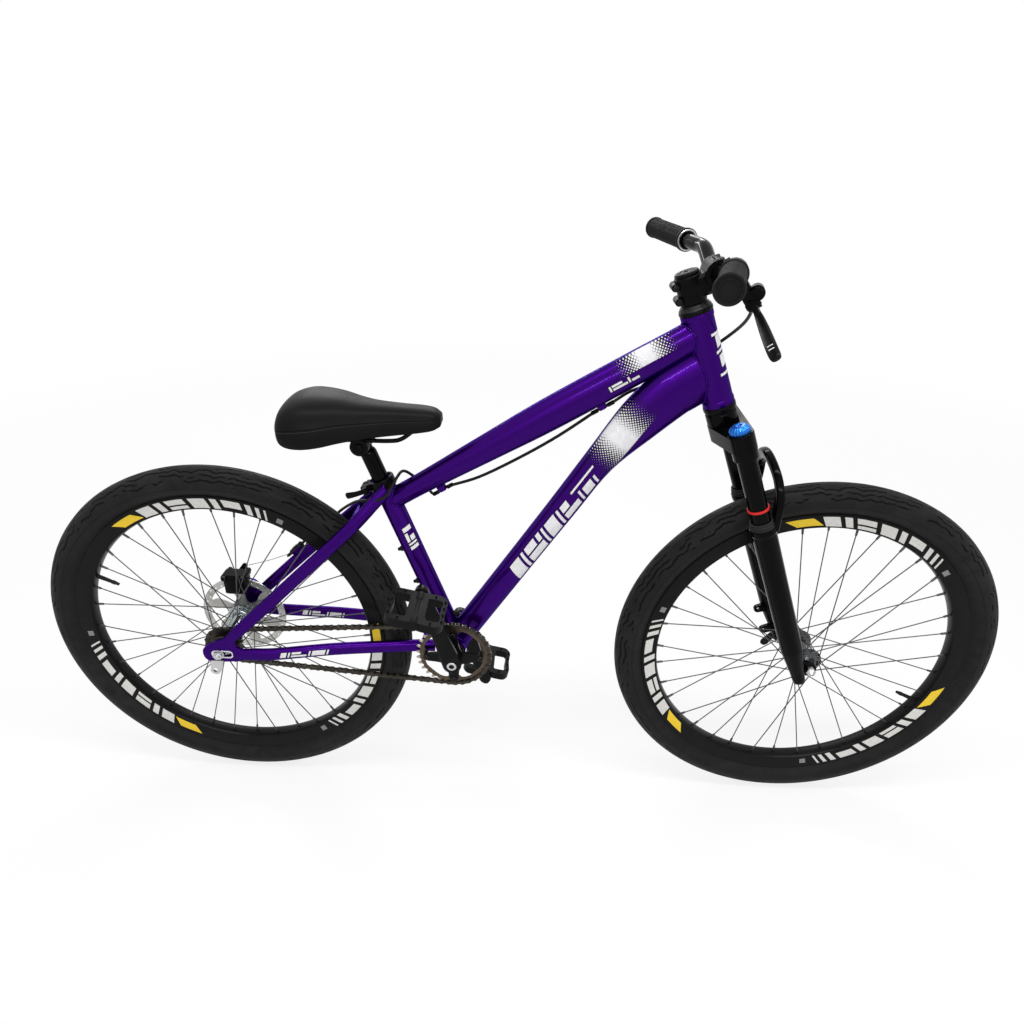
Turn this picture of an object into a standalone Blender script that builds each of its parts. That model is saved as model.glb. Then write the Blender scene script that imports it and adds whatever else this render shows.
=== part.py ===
"""Freeride bicycle with a hardtail frame, a suspension fork, one gear and one rear disc brake.

Metres, +Z up, +X ahead and +Y to the rider's left. The origin is on the ground halfway
between the two axles. Most places on the frame are given by at(x, z, y), with x measured
ahead of the rear axle and z above it, and places on the fork by steer(s, n, y), with s
measured up the steering axis from the foot of the front axle and n ahead of that axis.
"""

import math

import bmesh
import bpy
import numpy as np
from mathutils import Matrix, Vector

for old in list(bpy.data.objects):
    bpy.data.objects.remove(old, do_unlink=True)

# Driving dimensions of the whole bicycle
WHEELBASE = 1.045
TYRE_RADIUS = 0.335
AXLE_Z = TYRE_RADIUS
HEAD_ANGLE = math.radians(69.2)
FORK_OFFSET = 0.034
BB_DROP = 0.005
SEAT_ANGLE = math.radians(70.35)
CHAIN_PITCH = 0.0127
RING_TEETH = 32
FREEWHEEL_TEETH = 16
CHAIN_LINE = -0.045
STAY_ROOM = 0.080
FORK_TRAVEL = 0.10
GAP = 0.0003
MERGE = 0.00002

# Facets around the round pieces, multiples of four so that a shaft's stand over its bore's
ROUND = 20
SMALL_ROUND = 16
TINY_ROUND = 12
OVAL = 16

# Facets of the wheels, with a flat one at the ground and the radii held at the facets' middles
WHEEL_STEPS = 36
FACET = 1 / math.cos(math.pi / WHEEL_STEPS)
HALF_STEP = math.pi / WHEEL_STEPS

UP = Vector((-math.cos(HEAD_ANGLE), 0, math.sin(HEAD_ANGLE)))
AHEAD = Vector((math.sin(HEAD_ANGLE), 0, math.cos(HEAD_ANGLE)))
LEFT = Vector((0, 1, 0))
RIGHT = Vector((0, -1, 0))
FORWARD = Vector((1, 0, 0))


def at(x, z, y=0.0):
    """A place x ahead of the rear axle, z above the line of the axles and y to the left."""
    return Vector((x - WHEELBASE / 2, y, AXLE_Z + z))


FOOT = at(WHEELBASE, 0) - FORK_OFFSET * AHEAD


def steer(s, n=0.0, y=0.0):
    """A place s up the steering axis from the axle's foot on it, n ahead and y left of it."""
    return FOOT + s * UP + n * AHEAD + y * LEFT


REAR_AXLE = at(0, 0)
FRONT_AXLE = at(WHEELBASE, 0)

# Chain geometry: the fewest links that leave the tyre its room, then the exact chainstay length
RING_RADIUS = CHAIN_PITCH / 2 / math.sin(math.pi / RING_TEETH)
FREEWHEEL_RADIUS = CHAIN_PITCH / 2 / math.sin(math.pi / FREEWHEEL_TEETH)


def chain_spans(centres):
    """(lean angle, straight run in pitches, pitches on the ring, pitches on the freewheel)."""
    lean = math.asin((RING_RADIUS - FREEWHEEL_RADIUS) / centres)
    run = centres * math.cos(lean) / CHAIN_PITCH
    ring = (math.pi + 2 * lean) * RING_TEETH / (2 * math.pi)
    small = (math.pi - 2 * lean) * FREEWHEEL_TEETH / (2 * math.pi)
    return lean, run, ring, small


def chain_length(centres):
    """The chain's length in pitches for a distance between the sprocket centres."""
    lean, run, ring, small = chain_spans(centres)
    return 2 * run + ring + small


CHAIN_LINKS = 2 * math.ceil(chain_length(TYRE_RADIUS + STAY_ROOM) / 2)


def chain_centres():
    """The distance between the sprocket centres that takes the whole number of links."""
    low = TYRE_RADIUS + STAY_ROOM
    high = low + 2 * CHAIN_PITCH
    for _ in range(50):
        middle = (low + high) / 2
        if chain_length(middle) < CHAIN_LINKS:
            low = middle
        else:
            high = middle
    return (low + high) / 2


CENTRES = chain_centres()
BB_X = math.sqrt(CENTRES**2 - BB_DROP**2)
BB = at(BB_X, -BB_DROP)
SEAT_UP = Vector((-math.cos(SEAT_ANGLE), 0, math.sin(SEAT_ANGLE)))
SEAT_BACK = Vector((-math.sin(SEAT_ANGLE), 0, -math.cos(SEAT_ANGLE)))


def seat(s, back=0.0, y=0.0):
    """A place s up the seat tube from the bottom bracket, back behind it and y left of it."""
    return BB + s * SEAT_UP + back * SEAT_BACK + y * LEFT


# Collections: the bicycle's own parts, and the cutters that shape them
bike = bpy.data.collections.new("freeride_bike")
helpers = bpy.data.collections.new("cutters")
bpy.context.scene.collection.children.link(bike)
bpy.context.scene.collection.children.link(helpers)
helpers.hide_render = True


def material(name, colour, roughness, metallic):
    """A Principled material of one colour."""
    made = bpy.data.materials.new(name)
    made.use_nodes = True
    shader = made.node_tree.nodes["Principled BSDF"]
    shader.inputs["Base Color"].default_value = (*colour, 1.0)
    shader.inputs["Roughness"].default_value = roughness
    shader.inputs["Metallic"].default_value = metallic
    return made


PAINT = material("violet_paint", (0.085, 0.012, 0.26), 0.22, 0.45)
BLACK = material("gloss_black", (0.012, 0.012, 0.014), 0.22, 0.1)
SATIN = material("satin_black", (0.020, 0.020, 0.022), 0.45, 0.1)
GREY = material("dark_grey", (0.060, 0.060, 0.065), 0.40, 0.6)
SPOKE = material("spoke_steel", (0.16, 0.16, 0.17), 0.35, 1.0)
SILVER = material("silver_alloy", (0.55, 0.55, 0.56), 0.30, 1.0)
CHROME = material("chromed_hub", (0.42, 0.45, 0.46), 0.15, 1.0)
STEEL = material("brushed_steel", (0.50, 0.50, 0.50), 0.30, 1.0)
BRONZE = material("bronze_black", (0.070, 0.055, 0.045), 0.35, 0.9)
RUBBER = material("rubber", (0.022, 0.022, 0.022), 0.80, 0.0)
BLUE = material("blue_anodised", (0.02, 0.10, 0.45), 0.30, 0.9)
RED = material("red_rubber", (0.45, 0.02, 0.02), 0.60, 0.0)
CUSHION = material("black_saddle_cover", (0.025, 0.025, 0.026), 0.60, 0.0)
PLASTIC = material("black_plastic", (0.025, 0.025, 0.026), 0.50, 0.0)


def placed(origin, z_axis, x_axis=FORWARD):
    """A matrix at origin whose local Z is z_axis and whose local X is as near x_axis as it can be."""
    z = Vector(z_axis).normalized()
    x = Vector(x_axis)
    x = (x - x.dot(z) * z).normalized()
    matrix = Matrix((x, z.cross(x), z)).transposed().to_4x4()
    matrix.translation = origin
    return matrix


def add(name, data, look, where=None):
    """An object of the bicycle, or a hidden cutter when it has no look."""
    made = bpy.data.objects.new(name, data)
    if look is None:
        helpers.objects.link(made)
        made.hide_render = True
        made.display_type = "WIRE"
    else:
        bike.objects.link(made)
        data.materials.append(look)
    if where is not None:
        made.matrix_world = where
    return made


def turned(name, profile, where, steps, look=None, phase=0.0, loop=True):
    """A profile of (radius, height) points turned about local Z; an open one closes on the axis."""
    points = [Vector((r, 0, h)) for r, h in profile]
    area = 0.0
    for a, b in zip(points, points[1:] + points[:1]):
        area += a.x * b.z - b.x * a.z
    if area > 0:
        points.reverse()
    edges = [(i, i + 1) for i in range(len(points) - 1)]
    if loop:
        edges.append((len(points) - 1, 0))
    mesh = bpy.data.meshes.new(name)
    mesh.from_pydata(points, edges, [])
    made = add(name, mesh, look, where @ Matrix.Rotation(phase, 4, "Z"))
    screw = made.modifiers.new("turn", "SCREW")
    screw.steps = steps
    screw.render_steps = steps
    screw.use_merge_vertices = True
    screw.merge_threshold = MERGE
    return made


def mesh_of(name, work, look, where=None):
    """An object from a bmesh, shaded smooth except at its sharp edges."""
    mesh = bpy.data.meshes.new(name)
    work.to_mesh(mesh)
    work.free()
    mesh.shade_smooth()
    mesh.set_sharp_from_angle(angle=math.radians(32))
    return add(name, mesh, look, where)


def rods(name, ends, radius, look=None, sides=ROUND, across=FORWARD):
    """Separate cylinders between pairs of places, in one mesh."""
    work = bmesh.new()
    for start, end in ends:
        along = end - start
        bmesh.ops.create_cone(
            work,
            cap_ends=True,
            segments=sides,
            radius1=radius,
            radius2=radius,
            depth=along.length,
            matrix=placed((start + end) / 2, along, across),
        )
    return mesh_of(name, work, look)


def rod(name, start, end, radius, look=None, sides=ROUND, across=FORWARD):
    """A cylinder from start to end."""
    if abs((end - start).normalized().dot(across)) > 0.9:
        across = LEFT
    return rods(name, [(start, end)], radius, look, sides, across)


def box(name, size, where, look=None, bevel=0.0):
    """A box of a size about the middle of a matrix, with its edges rounded by bevel."""
    work = bmesh.new()
    bmesh.ops.create_cube(work, size=1.0, matrix=Matrix.Diagonal((*size, 1.0)))
    made = mesh_of(name, work, look, where)
    if bevel:
        round_edges(made, bevel)
    return made


def round_edges(made, width, segments=1):
    edge = made.modifiers.new("round", "BEVEL")
    edge.width = width
    edge.segments = segments
    edge.limit_method = "ANGLE"
    edge.angle_limit = math.radians(50)
    edge.offset_type = "WIDTH"


def as_mesh(curve, look):
    """The curve object as a mesh object of the same name, with its caps welded."""
    bpy.context.view_layer.update()
    graph = bpy.context.evaluated_depsgraph_get()
    mesh = bpy.data.meshes.new_from_object(curve.evaluated_get(graph))
    name = curve.name
    where = curve.matrix_world.copy()
    bpy.data.objects.remove(curve, do_unlink=True)
    work = bmesh.new()
    work.from_mesh(mesh)
    bmesh.ops.remove_doubles(work, verts=work.verts, dist=MERGE)
    bmesh.ops.recalc_face_normals(work, faces=work.faces)
    return mesh_of(name, work, look, where)


def plate(name, outlines, thickness, where, look=None, bevel=0.0):
    """A flat plate: the first closed outline less the others, thick about the local XY plane."""
    curve = bpy.data.curves.new(name, "CURVE")
    curve.dimensions = "2D"
    curve.fill_mode = "BOTH"
    curve.extrude = thickness / 2
    for outline in outlines:
        spline = curve.splines.new("POLY")
        spline.points.add(len(outline) - 1)
        for point, (x, y) in zip(spline.points, outline):
            point.co = (x, y, 0, 1)
        spline.use_cyclic_u = True
    made = as_mesh(add(name, curve, None, where), look)
    if bevel:
        round_edges(made, bevel)
    return made


def tube(name, path, radius, look=None, sides=8, factors=None):
    """A round tube with closed ends along a path of places."""
    curve = bpy.data.curves.new(name, "CURVE")
    curve.dimensions = "3D"
    curve.fill_mode = "FULL"
    curve.bevel_depth = radius
    curve.bevel_resolution = sides // 2 - 2
    curve.use_fill_caps = True
    spline = curve.splines.new("POLY")
    spline.points.add(len(path) - 1)
    for i, place in enumerate(path):
        spline.points[i].co = (*place, 1)
        spline.points[i].radius = factors[i] if factors else 1.0
    return as_mesh(add(name, curve, None), look)


def loft(name, rings, look=None, closed=False):
    """A skin over rings of equally many places, with flat ends or closed into a loop."""
    work = bmesh.new()
    rows = []
    for ring in rings:
        rows.append([work.verts.new(place) for place in ring])
    count = len(rows[0])
    spans = list(zip(rows, rows[1:]))
    if closed:
        spans.append((rows[-1], rows[0]))
    else:
        work.faces.new(rows[0][::-1])
        work.faces.new(rows[-1])
    for a, b in spans:
        for i in range(count):
            j = (i + 1) % count
            work.faces.new((a[i], a[j], b[j], b[i]))
    bmesh.ops.recalc_face_normals(work, faces=work.faces)
    return mesh_of(name, work, look)


def oval_tube(name, path, heights, widths, look=None, sides=TINY_ROUND, across=LEFT, grow=0.0):
    """A tube of oval section: half widths along across, and half heights square to it."""
    rings = []
    for i, place in enumerate(path):
        along = (path[min(i + 1, len(path) - 1)] - path[max(i - 1, 0)]).normalized()
        wide = (across - across.dot(along) * along).normalized()
        high = along.cross(wide)
        ring = []
        for k in range(sides):
            turn = 2 * math.pi * (k + 0.5) / sides
            ring.append(
                place
                + (widths[i] + grow) * math.cos(turn) * wide
                + (heights[i] + grow) * math.sin(turn) * high
            )
        rings.append(ring)
    return loft(name, rings, look)


def boolean(made, other, operation):
    if made.users_collection[0] == bike and other.users_collection[0] == bike:
        raise ValueError(f"{other.name} is a part, not a cutter")
    step = made.modifiers.new(f"{operation.lower()} {other.name}", "BOOLEAN")
    step.operation = operation
    step.object = other
    step.solver = "EXACT"


def cut(made, *cutters):
    """Takes the cutters away from made."""
    for cutter in cutters:
        boolean(made, cutter, "DIFFERENCE")


def join(made, *others):
    """Joins the hidden solids to made, as one body."""
    for other in others:
        boolean(made, other, "UNION")


def through(points, per_span):
    """A smooth run (a Catmull-Rom curve) of rows through the given rows of numbers."""
    rows = np.array(points, float)
    rows = np.vstack([2 * rows[0] - rows[1], rows, 2 * rows[-1] - rows[-2]])
    out = []
    for i in range(1, len(rows) - 2):
        a, b, c, d = rows[i - 1 : i + 3]
        for k in range(per_span):
            t = k / per_span
            out.append(
                0.5
                * (
                    2 * b
                    + (c - a) * t
                    + (2 * a - 5 * b + 4 * c - d) * t * t
                    + (3 * b - a - 3 * c + d) * t * t * t
                )
            )
    out.append(rows[-2])
    return out


def circle(radius, count, centre=(0.0, 0.0), start=0.0):
    """The points of a circle in a plate's plane."""
    points = []
    for k in range(count):
        turn = start + 2 * math.pi * k / count
        points.append((centre[0] + radius * math.cos(turn), centre[1] + radius * math.sin(turn)))
    return points


def hull(points):
    """The convex outline around points in a plane, anticlockwise."""
    ordered = sorted(set(points))

    def half(run):
        chain = []
        for p in run:
            while len(chain) > 1:
                (ax, ay), (bx, by) = chain[-2:]
                if (bx - ax) * (p[1] - ay) - (by - ay) * (p[0] - ax) > 1e-12:
                    break
                chain.pop()
            chain.append(p)
        return chain[:-1]

    return half(ordered) + half(ordered[::-1])


def side_plane(origin, ahead=FORWARD):
    """The plane of a plate that stands along the bicycle: local X ahead and local Y up."""
    return placed(origin, RIGHT, ahead)


def axle_line(origin):
    """A matrix whose local Z runs to the left, for pieces turned about an axle."""
    return placed(origin, LEFT, FORWARD)


def joint(name, place, carrier=None):
    """An empty on a joint's axis, which carries the pieces that move with it."""
    empty = bpy.data.objects.new(name, None)
    bike.objects.link(empty)
    empty.empty_display_size = 0.03
    empty.matrix_world = Matrix.Translation(place)
    if carrier is not None:
        carry(carrier, empty)
    return empty


def carry(empty, *pieces):
    """Parents pieces to an empty without moving them."""
    bpy.context.view_layer.update()
    for piece in pieces:
        piece.parent = empty
        piece.matrix_parent_inverse = empty.matrix_world.inverted()


# The wheels: rims, tyres, hubs and spokes
RIM_HALF = 0.0150
RIM_WALL = 0.0020
TYRE_HIGH = 0.0492
RIM_TOP = TYRE_RADIUS - TYRE_HIGH
RIM_BED = RIM_TOP - 0.0068
RIM_INNER = RIM_TOP - 0.0273
RIM_CROWN_HALF = 0.0110
TYRE_HALF = 0.0262
SHOULDER_HALF = 0.0212
TREAD_HALF = 0.0060
VALVE_RADIUS = 0.0040
VALVE_END = RIM_INNER - 0.0355
SPOKE_RADIUS = 0.0012
SPOKE_HUB_RADIUS = 0.0225
SPOKE_RIM_RADIUS = RIM_INNER - 2 * GAP
SPOKE_RIM_Y = 0.0030
SPOKE_STAND = 0.0036
SPOKE_CROSSING = 0.0019
SPOKE_STEP = math.radians(20)
SPOKE_LEAN = math.radians(60)
FLANGE_RADIUS = 0.0275
FLANGE_HALF = 0.0012
HUB_STEPS = 14


def make_rim(name, axle, valve_turn, look):
    bed_half = RIM_HALF - RIM_WALL
    side = [(RIM_HALF, RIM_TOP), (RIM_CROWN_HALF, RIM_INNER)]
    outside = [(r, y) for y, r in side] + [(r, -y) for y, r in side[::-1]]
    inside = [(RIM_TOP, -bed_half), (RIM_BED, -bed_half), (RIM_BED, bed_half), (RIM_TOP, bed_half)]
    profile = [(r * FACET, y) for r, y in outside + inside]
    rim = turned(name, profile, axle_line(axle), WHEEL_STEPS, look, HALF_STEP)
    out = Vector((math.cos(valve_turn), 0, math.sin(valve_turn)))
    valve = rod(
        name + "_valve_stem",
        axle + VALVE_END * out,
        axle + (RIM_INNER + 0.004) * out,
        VALVE_RADIUS,
        sides=8,
        across=LEFT,
    )
    join(rim, valve)
    return rim


def make_tyre(name, axle):
    """The tyre as it stands blown up: its solid section takes in the inner tube."""
    bead_half = RIM_HALF - RIM_WALL - GAP
    half = [
        (bead_half, RIM_BED + GAP),
        (bead_half, RIM_TOP + 2 * GAP),
        (TYRE_HALF, RIM_TOP + 0.37 * TYRE_HIGH),
        (SHOULDER_HALF, RIM_TOP + 0.797 * TYRE_HIGH),
        (TREAD_HALF, TYRE_RADIUS),
    ]
    profile = [(r * FACET, y) for y, r in half] + [(r * FACET, -y) for y, r in half[::-1]]
    return turned(name, profile, axle_line(axle), WHEEL_STEPS, RUBBER, HALF_STEP)


def make_spokes(name, axle, flange_y, first):
    """Nine leading and nine trailing spokes of one side, woven into one net where they cross."""
    side = 1 if flange_y > 0 else -1
    nets = []
    for lean, offset in ((-1, SPOKE_CROSSING), (1, 0.0)):
        ends = []
        for k in range(9):
            hub_turn = first + SPOKE_STEP * (2 * k + (lean > 0))
            rim_turn = hub_turn + lean * SPOKE_LEAN
            hub_y = flange_y + side * (SPOKE_STAND + offset)
            rim_y = side * SPOKE_RIM_Y
            start = axle + hub_y * LEFT
            start += SPOKE_HUB_RADIUS * Vector((math.cos(hub_turn), 0, math.sin(hub_turn)))
            end = axle + rim_y * LEFT
            end += SPOKE_RIM_RADIUS * Vector((math.cos(rim_turn), 0, math.sin(rim_turn)))
            ends.append((start, end))
        look = SPOKE if lean < 0 else None
        tag = "" if lean < 0 else "_trailing"
        nets.append(rods(name + tag, ends, SPOKE_RADIUS, look, sides=3, across=LEFT))
    join(nets[0], nets[1])
    return nets[0]


def flange(y):
    """The two outer corners of a spoke flange, from its left side to its right side."""
    return [(FLANGE_RADIUS, y + FLANGE_HALF), (FLANGE_RADIUS, y - FLANGE_HALF)]


# Front wheel
FRONT_FLANGE_RIGHT = -0.0330
FRONT_FLANGE_LEFT = 0.0210
FRONT_BARREL = 0.0140
FRONT_HUB_END = 0.0430
DISC_MOUNT_RADIUS = 0.0210
AXLE_RADIUS = 0.0048
HUB_BORE = AXLE_RADIUS + GAP

front_rim = make_rim("front_rim", FRONT_AXLE, math.radians(-25), BLACK)
front_tyre = make_tyre("front_tyre", FRONT_AXLE)
front_spokes_right = make_spokes("front_spokes_right", FRONT_AXLE, FRONT_FLANGE_RIGHT, 0.0)
front_spokes_left = make_spokes(
    "front_spokes_left", FRONT_AXLE, FRONT_FLANGE_LEFT, SPOKE_STEP / 2
)
front_hub_profile = [
    (0.0110, FRONT_HUB_END),
    (0.0130, 0.0395),
    (DISC_MOUNT_RADIUS, 0.0395),
    (DISC_MOUNT_RADIUS, 0.0345),
    (FRONT_BARREL, FRONT_FLANGE_LEFT + 0.0030),
    *flange(FRONT_FLANGE_LEFT),
    (FRONT_BARREL, FRONT_FLANGE_LEFT - 0.0040),
    (FRONT_BARREL, FRONT_FLANGE_RIGHT + 0.0040),
    *flange(FRONT_FLANGE_RIGHT),
    (FRONT_BARREL, FRONT_FLANGE_RIGHT - 0.0030),
    (0.0110, -FRONT_HUB_END),
    (HUB_BORE, -FRONT_HUB_END),
    (HUB_BORE, FRONT_HUB_END),
]
front_hub_shell = turned(
    "front_hub_shell", front_hub_profile, axle_line(FRONT_AXLE), HUB_STEPS, CHROME
)

# Rear wheel
REAR_FLANGE_RIGHT = -0.0300
REAR_FLANGE_LEFT = 0.0345
REAR_BARREL = 0.0160
FREEWHEEL_SEAT = 0.0172
FREEWHEEL_END = -0.0540
ROTOR_FACE = 0.0502
ROTOR_THICK = 0.0018
ROTOR_RADIUS = 0.0800
ROTOR_BAND = 0.0140
ROTOR_HUB = 0.0270

rear_rim = make_rim("rear_rim", REAR_AXLE, math.radians(155), BLACK)
rear_tyre = make_tyre("rear_tyre", REAR_AXLE)
rear_spokes_right = make_spokes("rear_spokes_right", REAR_AXLE, REAR_FLANGE_RIGHT, 0.0)
rear_spokes_left = make_spokes("rear_spokes_left", REAR_AXLE, REAR_FLANGE_LEFT, SPOKE_STEP / 2)
rear_hub_profile = [
    (FREEWHEEL_SEAT, ROTOR_FACE + 0.0026),
    (FREEWHEEL_SEAT, ROTOR_FACE),
    (DISC_MOUNT_RADIUS, ROTOR_FACE),
    (DISC_MOUNT_RADIUS, ROTOR_FACE - 0.0050),
    (REAR_BARREL, ROTOR_FACE - 0.0070),
    (REAR_BARREL, REAR_FLANGE_LEFT + 0.0030),
    *flange(REAR_FLANGE_LEFT),
    (REAR_BARREL, REAR_FLANGE_LEFT - 0.0040),
    (REAR_BARREL, REAR_FLANGE_RIGHT + 0.0040),
    *flange(REAR_FLANGE_RIGHT),
    (FREEWHEEL_SEAT, REAR_FLANGE_RIGHT - 0.0030),
    (FREEWHEEL_SEAT, FREEWHEEL_END),
    (HUB_BORE, FREEWHEEL_END),
    (HUB_BORE, ROTOR_FACE + 0.0026),
]
rear_hub_shell = turned(
    "rear_hub_shell", rear_hub_profile, axle_line(REAR_AXLE), HUB_STEPS, CHROME
)

# Brake rotor: a band on six arms around a central ring
rotor_windows = []
for k in range(6):
    turn = 2 * math.pi * k / 6
    window = []
    for radius, swing, lag in (
        (ROTOR_RADIUS - ROTOR_BAND, 0.42, 0.20),
        (ROTOR_RADIUS - ROTOR_BAND, 0.0, 0.20),
        (ROTOR_RADIUS - ROTOR_BAND, -0.42, 0.20),
        (0.0460, -0.34, 0.05),
        (ROTOR_HUB, -0.26, 0.0),
        (ROTOR_HUB, 0.26, 0.0),
        (0.0460, 0.34, 0.05),
    ):
        angle = turn + swing + lag
        window.append((radius * math.cos(angle), radius * math.sin(angle)))
    rotor_windows.append(window)
brake_rotor = plate(
    "brake_rotor",
    [circle(ROTOR_RADIUS, 36), circle(FREEWHEEL_SEAT + GAP, 20), *rotor_windows],
    ROTOR_THICK,
    side_plane(REAR_AXLE + (ROTOR_FACE + GAP + ROTOR_THICK / 2) * LEFT),
    STEEL,
)

# Sprockets and chain, in a plane one chain line from the middle
SPROCKET_THICK = 0.0020
ROLLER_RADIUS = 0.0036
PLATE_INNER = 0.0016
PLATE_OUTER = 0.0038
PLATE_HIGH = 0.0041
TOOTH_ROOT = [(-0.0042, -0.0012), (0.0, -0.0049), (0.0042, -0.0012)]
TOOTH_TIP = 0.0034


def chain_place(u):
    """The chain's centre u pitches along from where it leaves the freewheel's top, and its normal."""
    lean, run, ring, small = chain_spans(CENTRES)
    axis = Vector((BB_X, -BB_DROP)) / CENTRES
    tilt = math.atan2(axis.y, axis.x)
    u = u % CHAIN_LINKS
    top = math.pi / 2 + lean + tilt
    bottom = -math.pi / 2 - lean + tilt
    if u < run:
        normal = Vector((math.cos(top), math.sin(top)))
        start = FREEWHEEL_RADIUS * normal
        end = axis * CENTRES + RING_RADIUS * normal
        return start.lerp(end, u / run), normal
    if u < run + ring:
        turn = top - (u - run) * 2 * math.pi / RING_TEETH
        normal = Vector((math.cos(turn), math.sin(turn)))
        return axis * CENTRES + RING_RADIUS * normal, normal
    if u < 2 * run + ring:
        normal = Vector((math.cos(bottom), math.sin(bottom)))
        start = axis * CENTRES + RING_RADIUS * normal
        end = FREEWHEEL_RADIUS * normal
        return start.lerp(end, (u - run - ring) / run), normal
    turn = bottom - (u - 2 * run - ring) * 2 * math.pi / FREEWHEEL_TEETH
    normal = Vector((math.cos(turn), math.sin(turn)))
    return FREEWHEEL_RADIUS * normal, normal


def sprocket_outline(radius, teeth, gap_turn):
    """The toothed outline whose gaps stand where the chain's rollers stand."""
    outline = []
    for k in range(teeth):
        turn = gap_turn + 2 * math.pi * k / teeth
        out = Vector((math.cos(turn), math.sin(turn)))
        side = Vector((-out.y, out.x))
        for along, rise in TOOTH_ROOT:
            outline.append(tuple((radius + rise) * out + along * side))
        outline.append(tuple((radius + TOOTH_TIP) * out + CHAIN_PITCH / 2 * side))
    return outline


lean, chain_run, on_ring, on_small = chain_spans(CENTRES)
ring_roller = chain_place(math.ceil(chain_run) + 2)[1]
small_roller = chain_place(math.ceil(2 * chain_run + on_ring) + 2)[1]
chain_plane = side_plane(REAR_AXLE + CHAIN_LINE * LEFT)
plate_middle = (PLATE_OUTER + PLATE_INNER) / 2


def chain_band(name, near, far, look=None):
    """One side of the chain: its plates as a closed band between two distances from the chain plane."""
    rings = []
    for link in range(CHAIN_LINKS):
        if (chain_place(link - 0.5)[1] - chain_place(link + 1.5)[1]).length < MERGE:
            continue
        place, normal = chain_place(link + 0.5)
        ring = []
        for reach, side in ((1, near), (1, far), (-1, far), (-1, near)):
            flat = place + reach * PLATE_HIGH * normal
            ring.append(chain_plane @ Vector((flat.x, flat.y, side)))
        rings.append(ring)
    return loft(name, rings, look, closed=True)


# The rollers stand one by one around the sprockets; each straight run has one bar for its rollers
CLEAR_LINKS = 3
run_spans = [
    (CLEAR_LINKS, chain_run - CLEAR_LINKS),
    (chain_run + on_ring + CLEAR_LINKS, 2 * chain_run + on_ring - CLEAR_LINKS),
]
chain = chain_band("chain", PLATE_INNER, PLATE_OUTER, GREY)
far_band = chain_band("chain_far_plates", -PLATE_OUTER, -PLATE_INNER)
rollers = bmesh.new()
for link in range(CHAIN_LINKS):
    if any(low < link < high for low, high in run_spans):
        continue
    place, normal = chain_place(link)
    bmesh.ops.create_cone(
        rollers,
        cap_ends=True,
        segments=3,
        radius1=ROLLER_RADIUS,
        radius2=ROLLER_RADIUS,
        depth=2 * plate_middle,
        matrix=placed(chain_plane @ Vector((*place, 0)), LEFT, Vector((normal.x, 0, normal.y))),
    )
join(chain, mesh_of("chain_rollers", rollers, None), far_band)
for k, (low, high) in enumerate(run_spans):
    start = chain_plane @ Vector((*chain_place(low)[0], 0))
    end = chain_plane @ Vector((*chain_place(high)[0], 0))
    bar_size = (2 * plate_middle, 2 * PLATE_INNER, (end - start).length)
    join(chain, box(f"chain_run_{k}", bar_size, placed((start + end) / 2, end - start, LEFT)))

FREEWHEEL_BODY = 0.0220
freewheel_turn = math.atan2(small_roller.y, small_roller.x)
freewheel = plate(
    "freewheel",
    [sprocket_outline(FREEWHEEL_RADIUS, FREEWHEEL_TEETH, freewheel_turn), circle(0.0200, 12)],
    SPROCKET_THICK,
    chain_plane,
    GREY,
)
freewheel_body = [
    (FREEWHEEL_BODY, -0.0360),
    (FREEWHEEL_BODY, -0.0520),
    (FREEWHEEL_SEAT + GAP, -0.0520),
    (FREEWHEEL_SEAT + GAP, -0.0360),
]
join(freewheel, turned("freewheel_body", freewheel_body, axle_line(REAR_AXLE), ROUND))

# Chainring: a toothed band with four ears on the crank's spider
RING_BAND = 0.0520
EAR_RADIUS = 0.0475
ring_turn = math.atan2(ring_roller.y, ring_roller.x)
ear_opening = []
for k in range(4):
    for swing, radius in (
        (-0.62, RING_BAND),
        (-0.44, RING_BAND),
        (-0.27, RING_BAND),
        (-0.15, EAR_RADIUS),
        (0.15, EAR_RADIUS),
        (0.27, RING_BAND),
        (0.44, RING_BAND),
        (0.62, RING_BAND),
    ):
        angle = k * math.pi / 2 + swing
        ear_opening.append((radius * math.cos(angle), radius * math.sin(angle)))
chainring = plate(
    "chainring",
    [sprocket_outline(RING_RADIUS, RING_TEETH, ring_turn), ear_opening],
    SPROCKET_THICK,
    side_plane(BB + CHAIN_LINE * LEFT),
    BRONZE,
)

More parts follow.
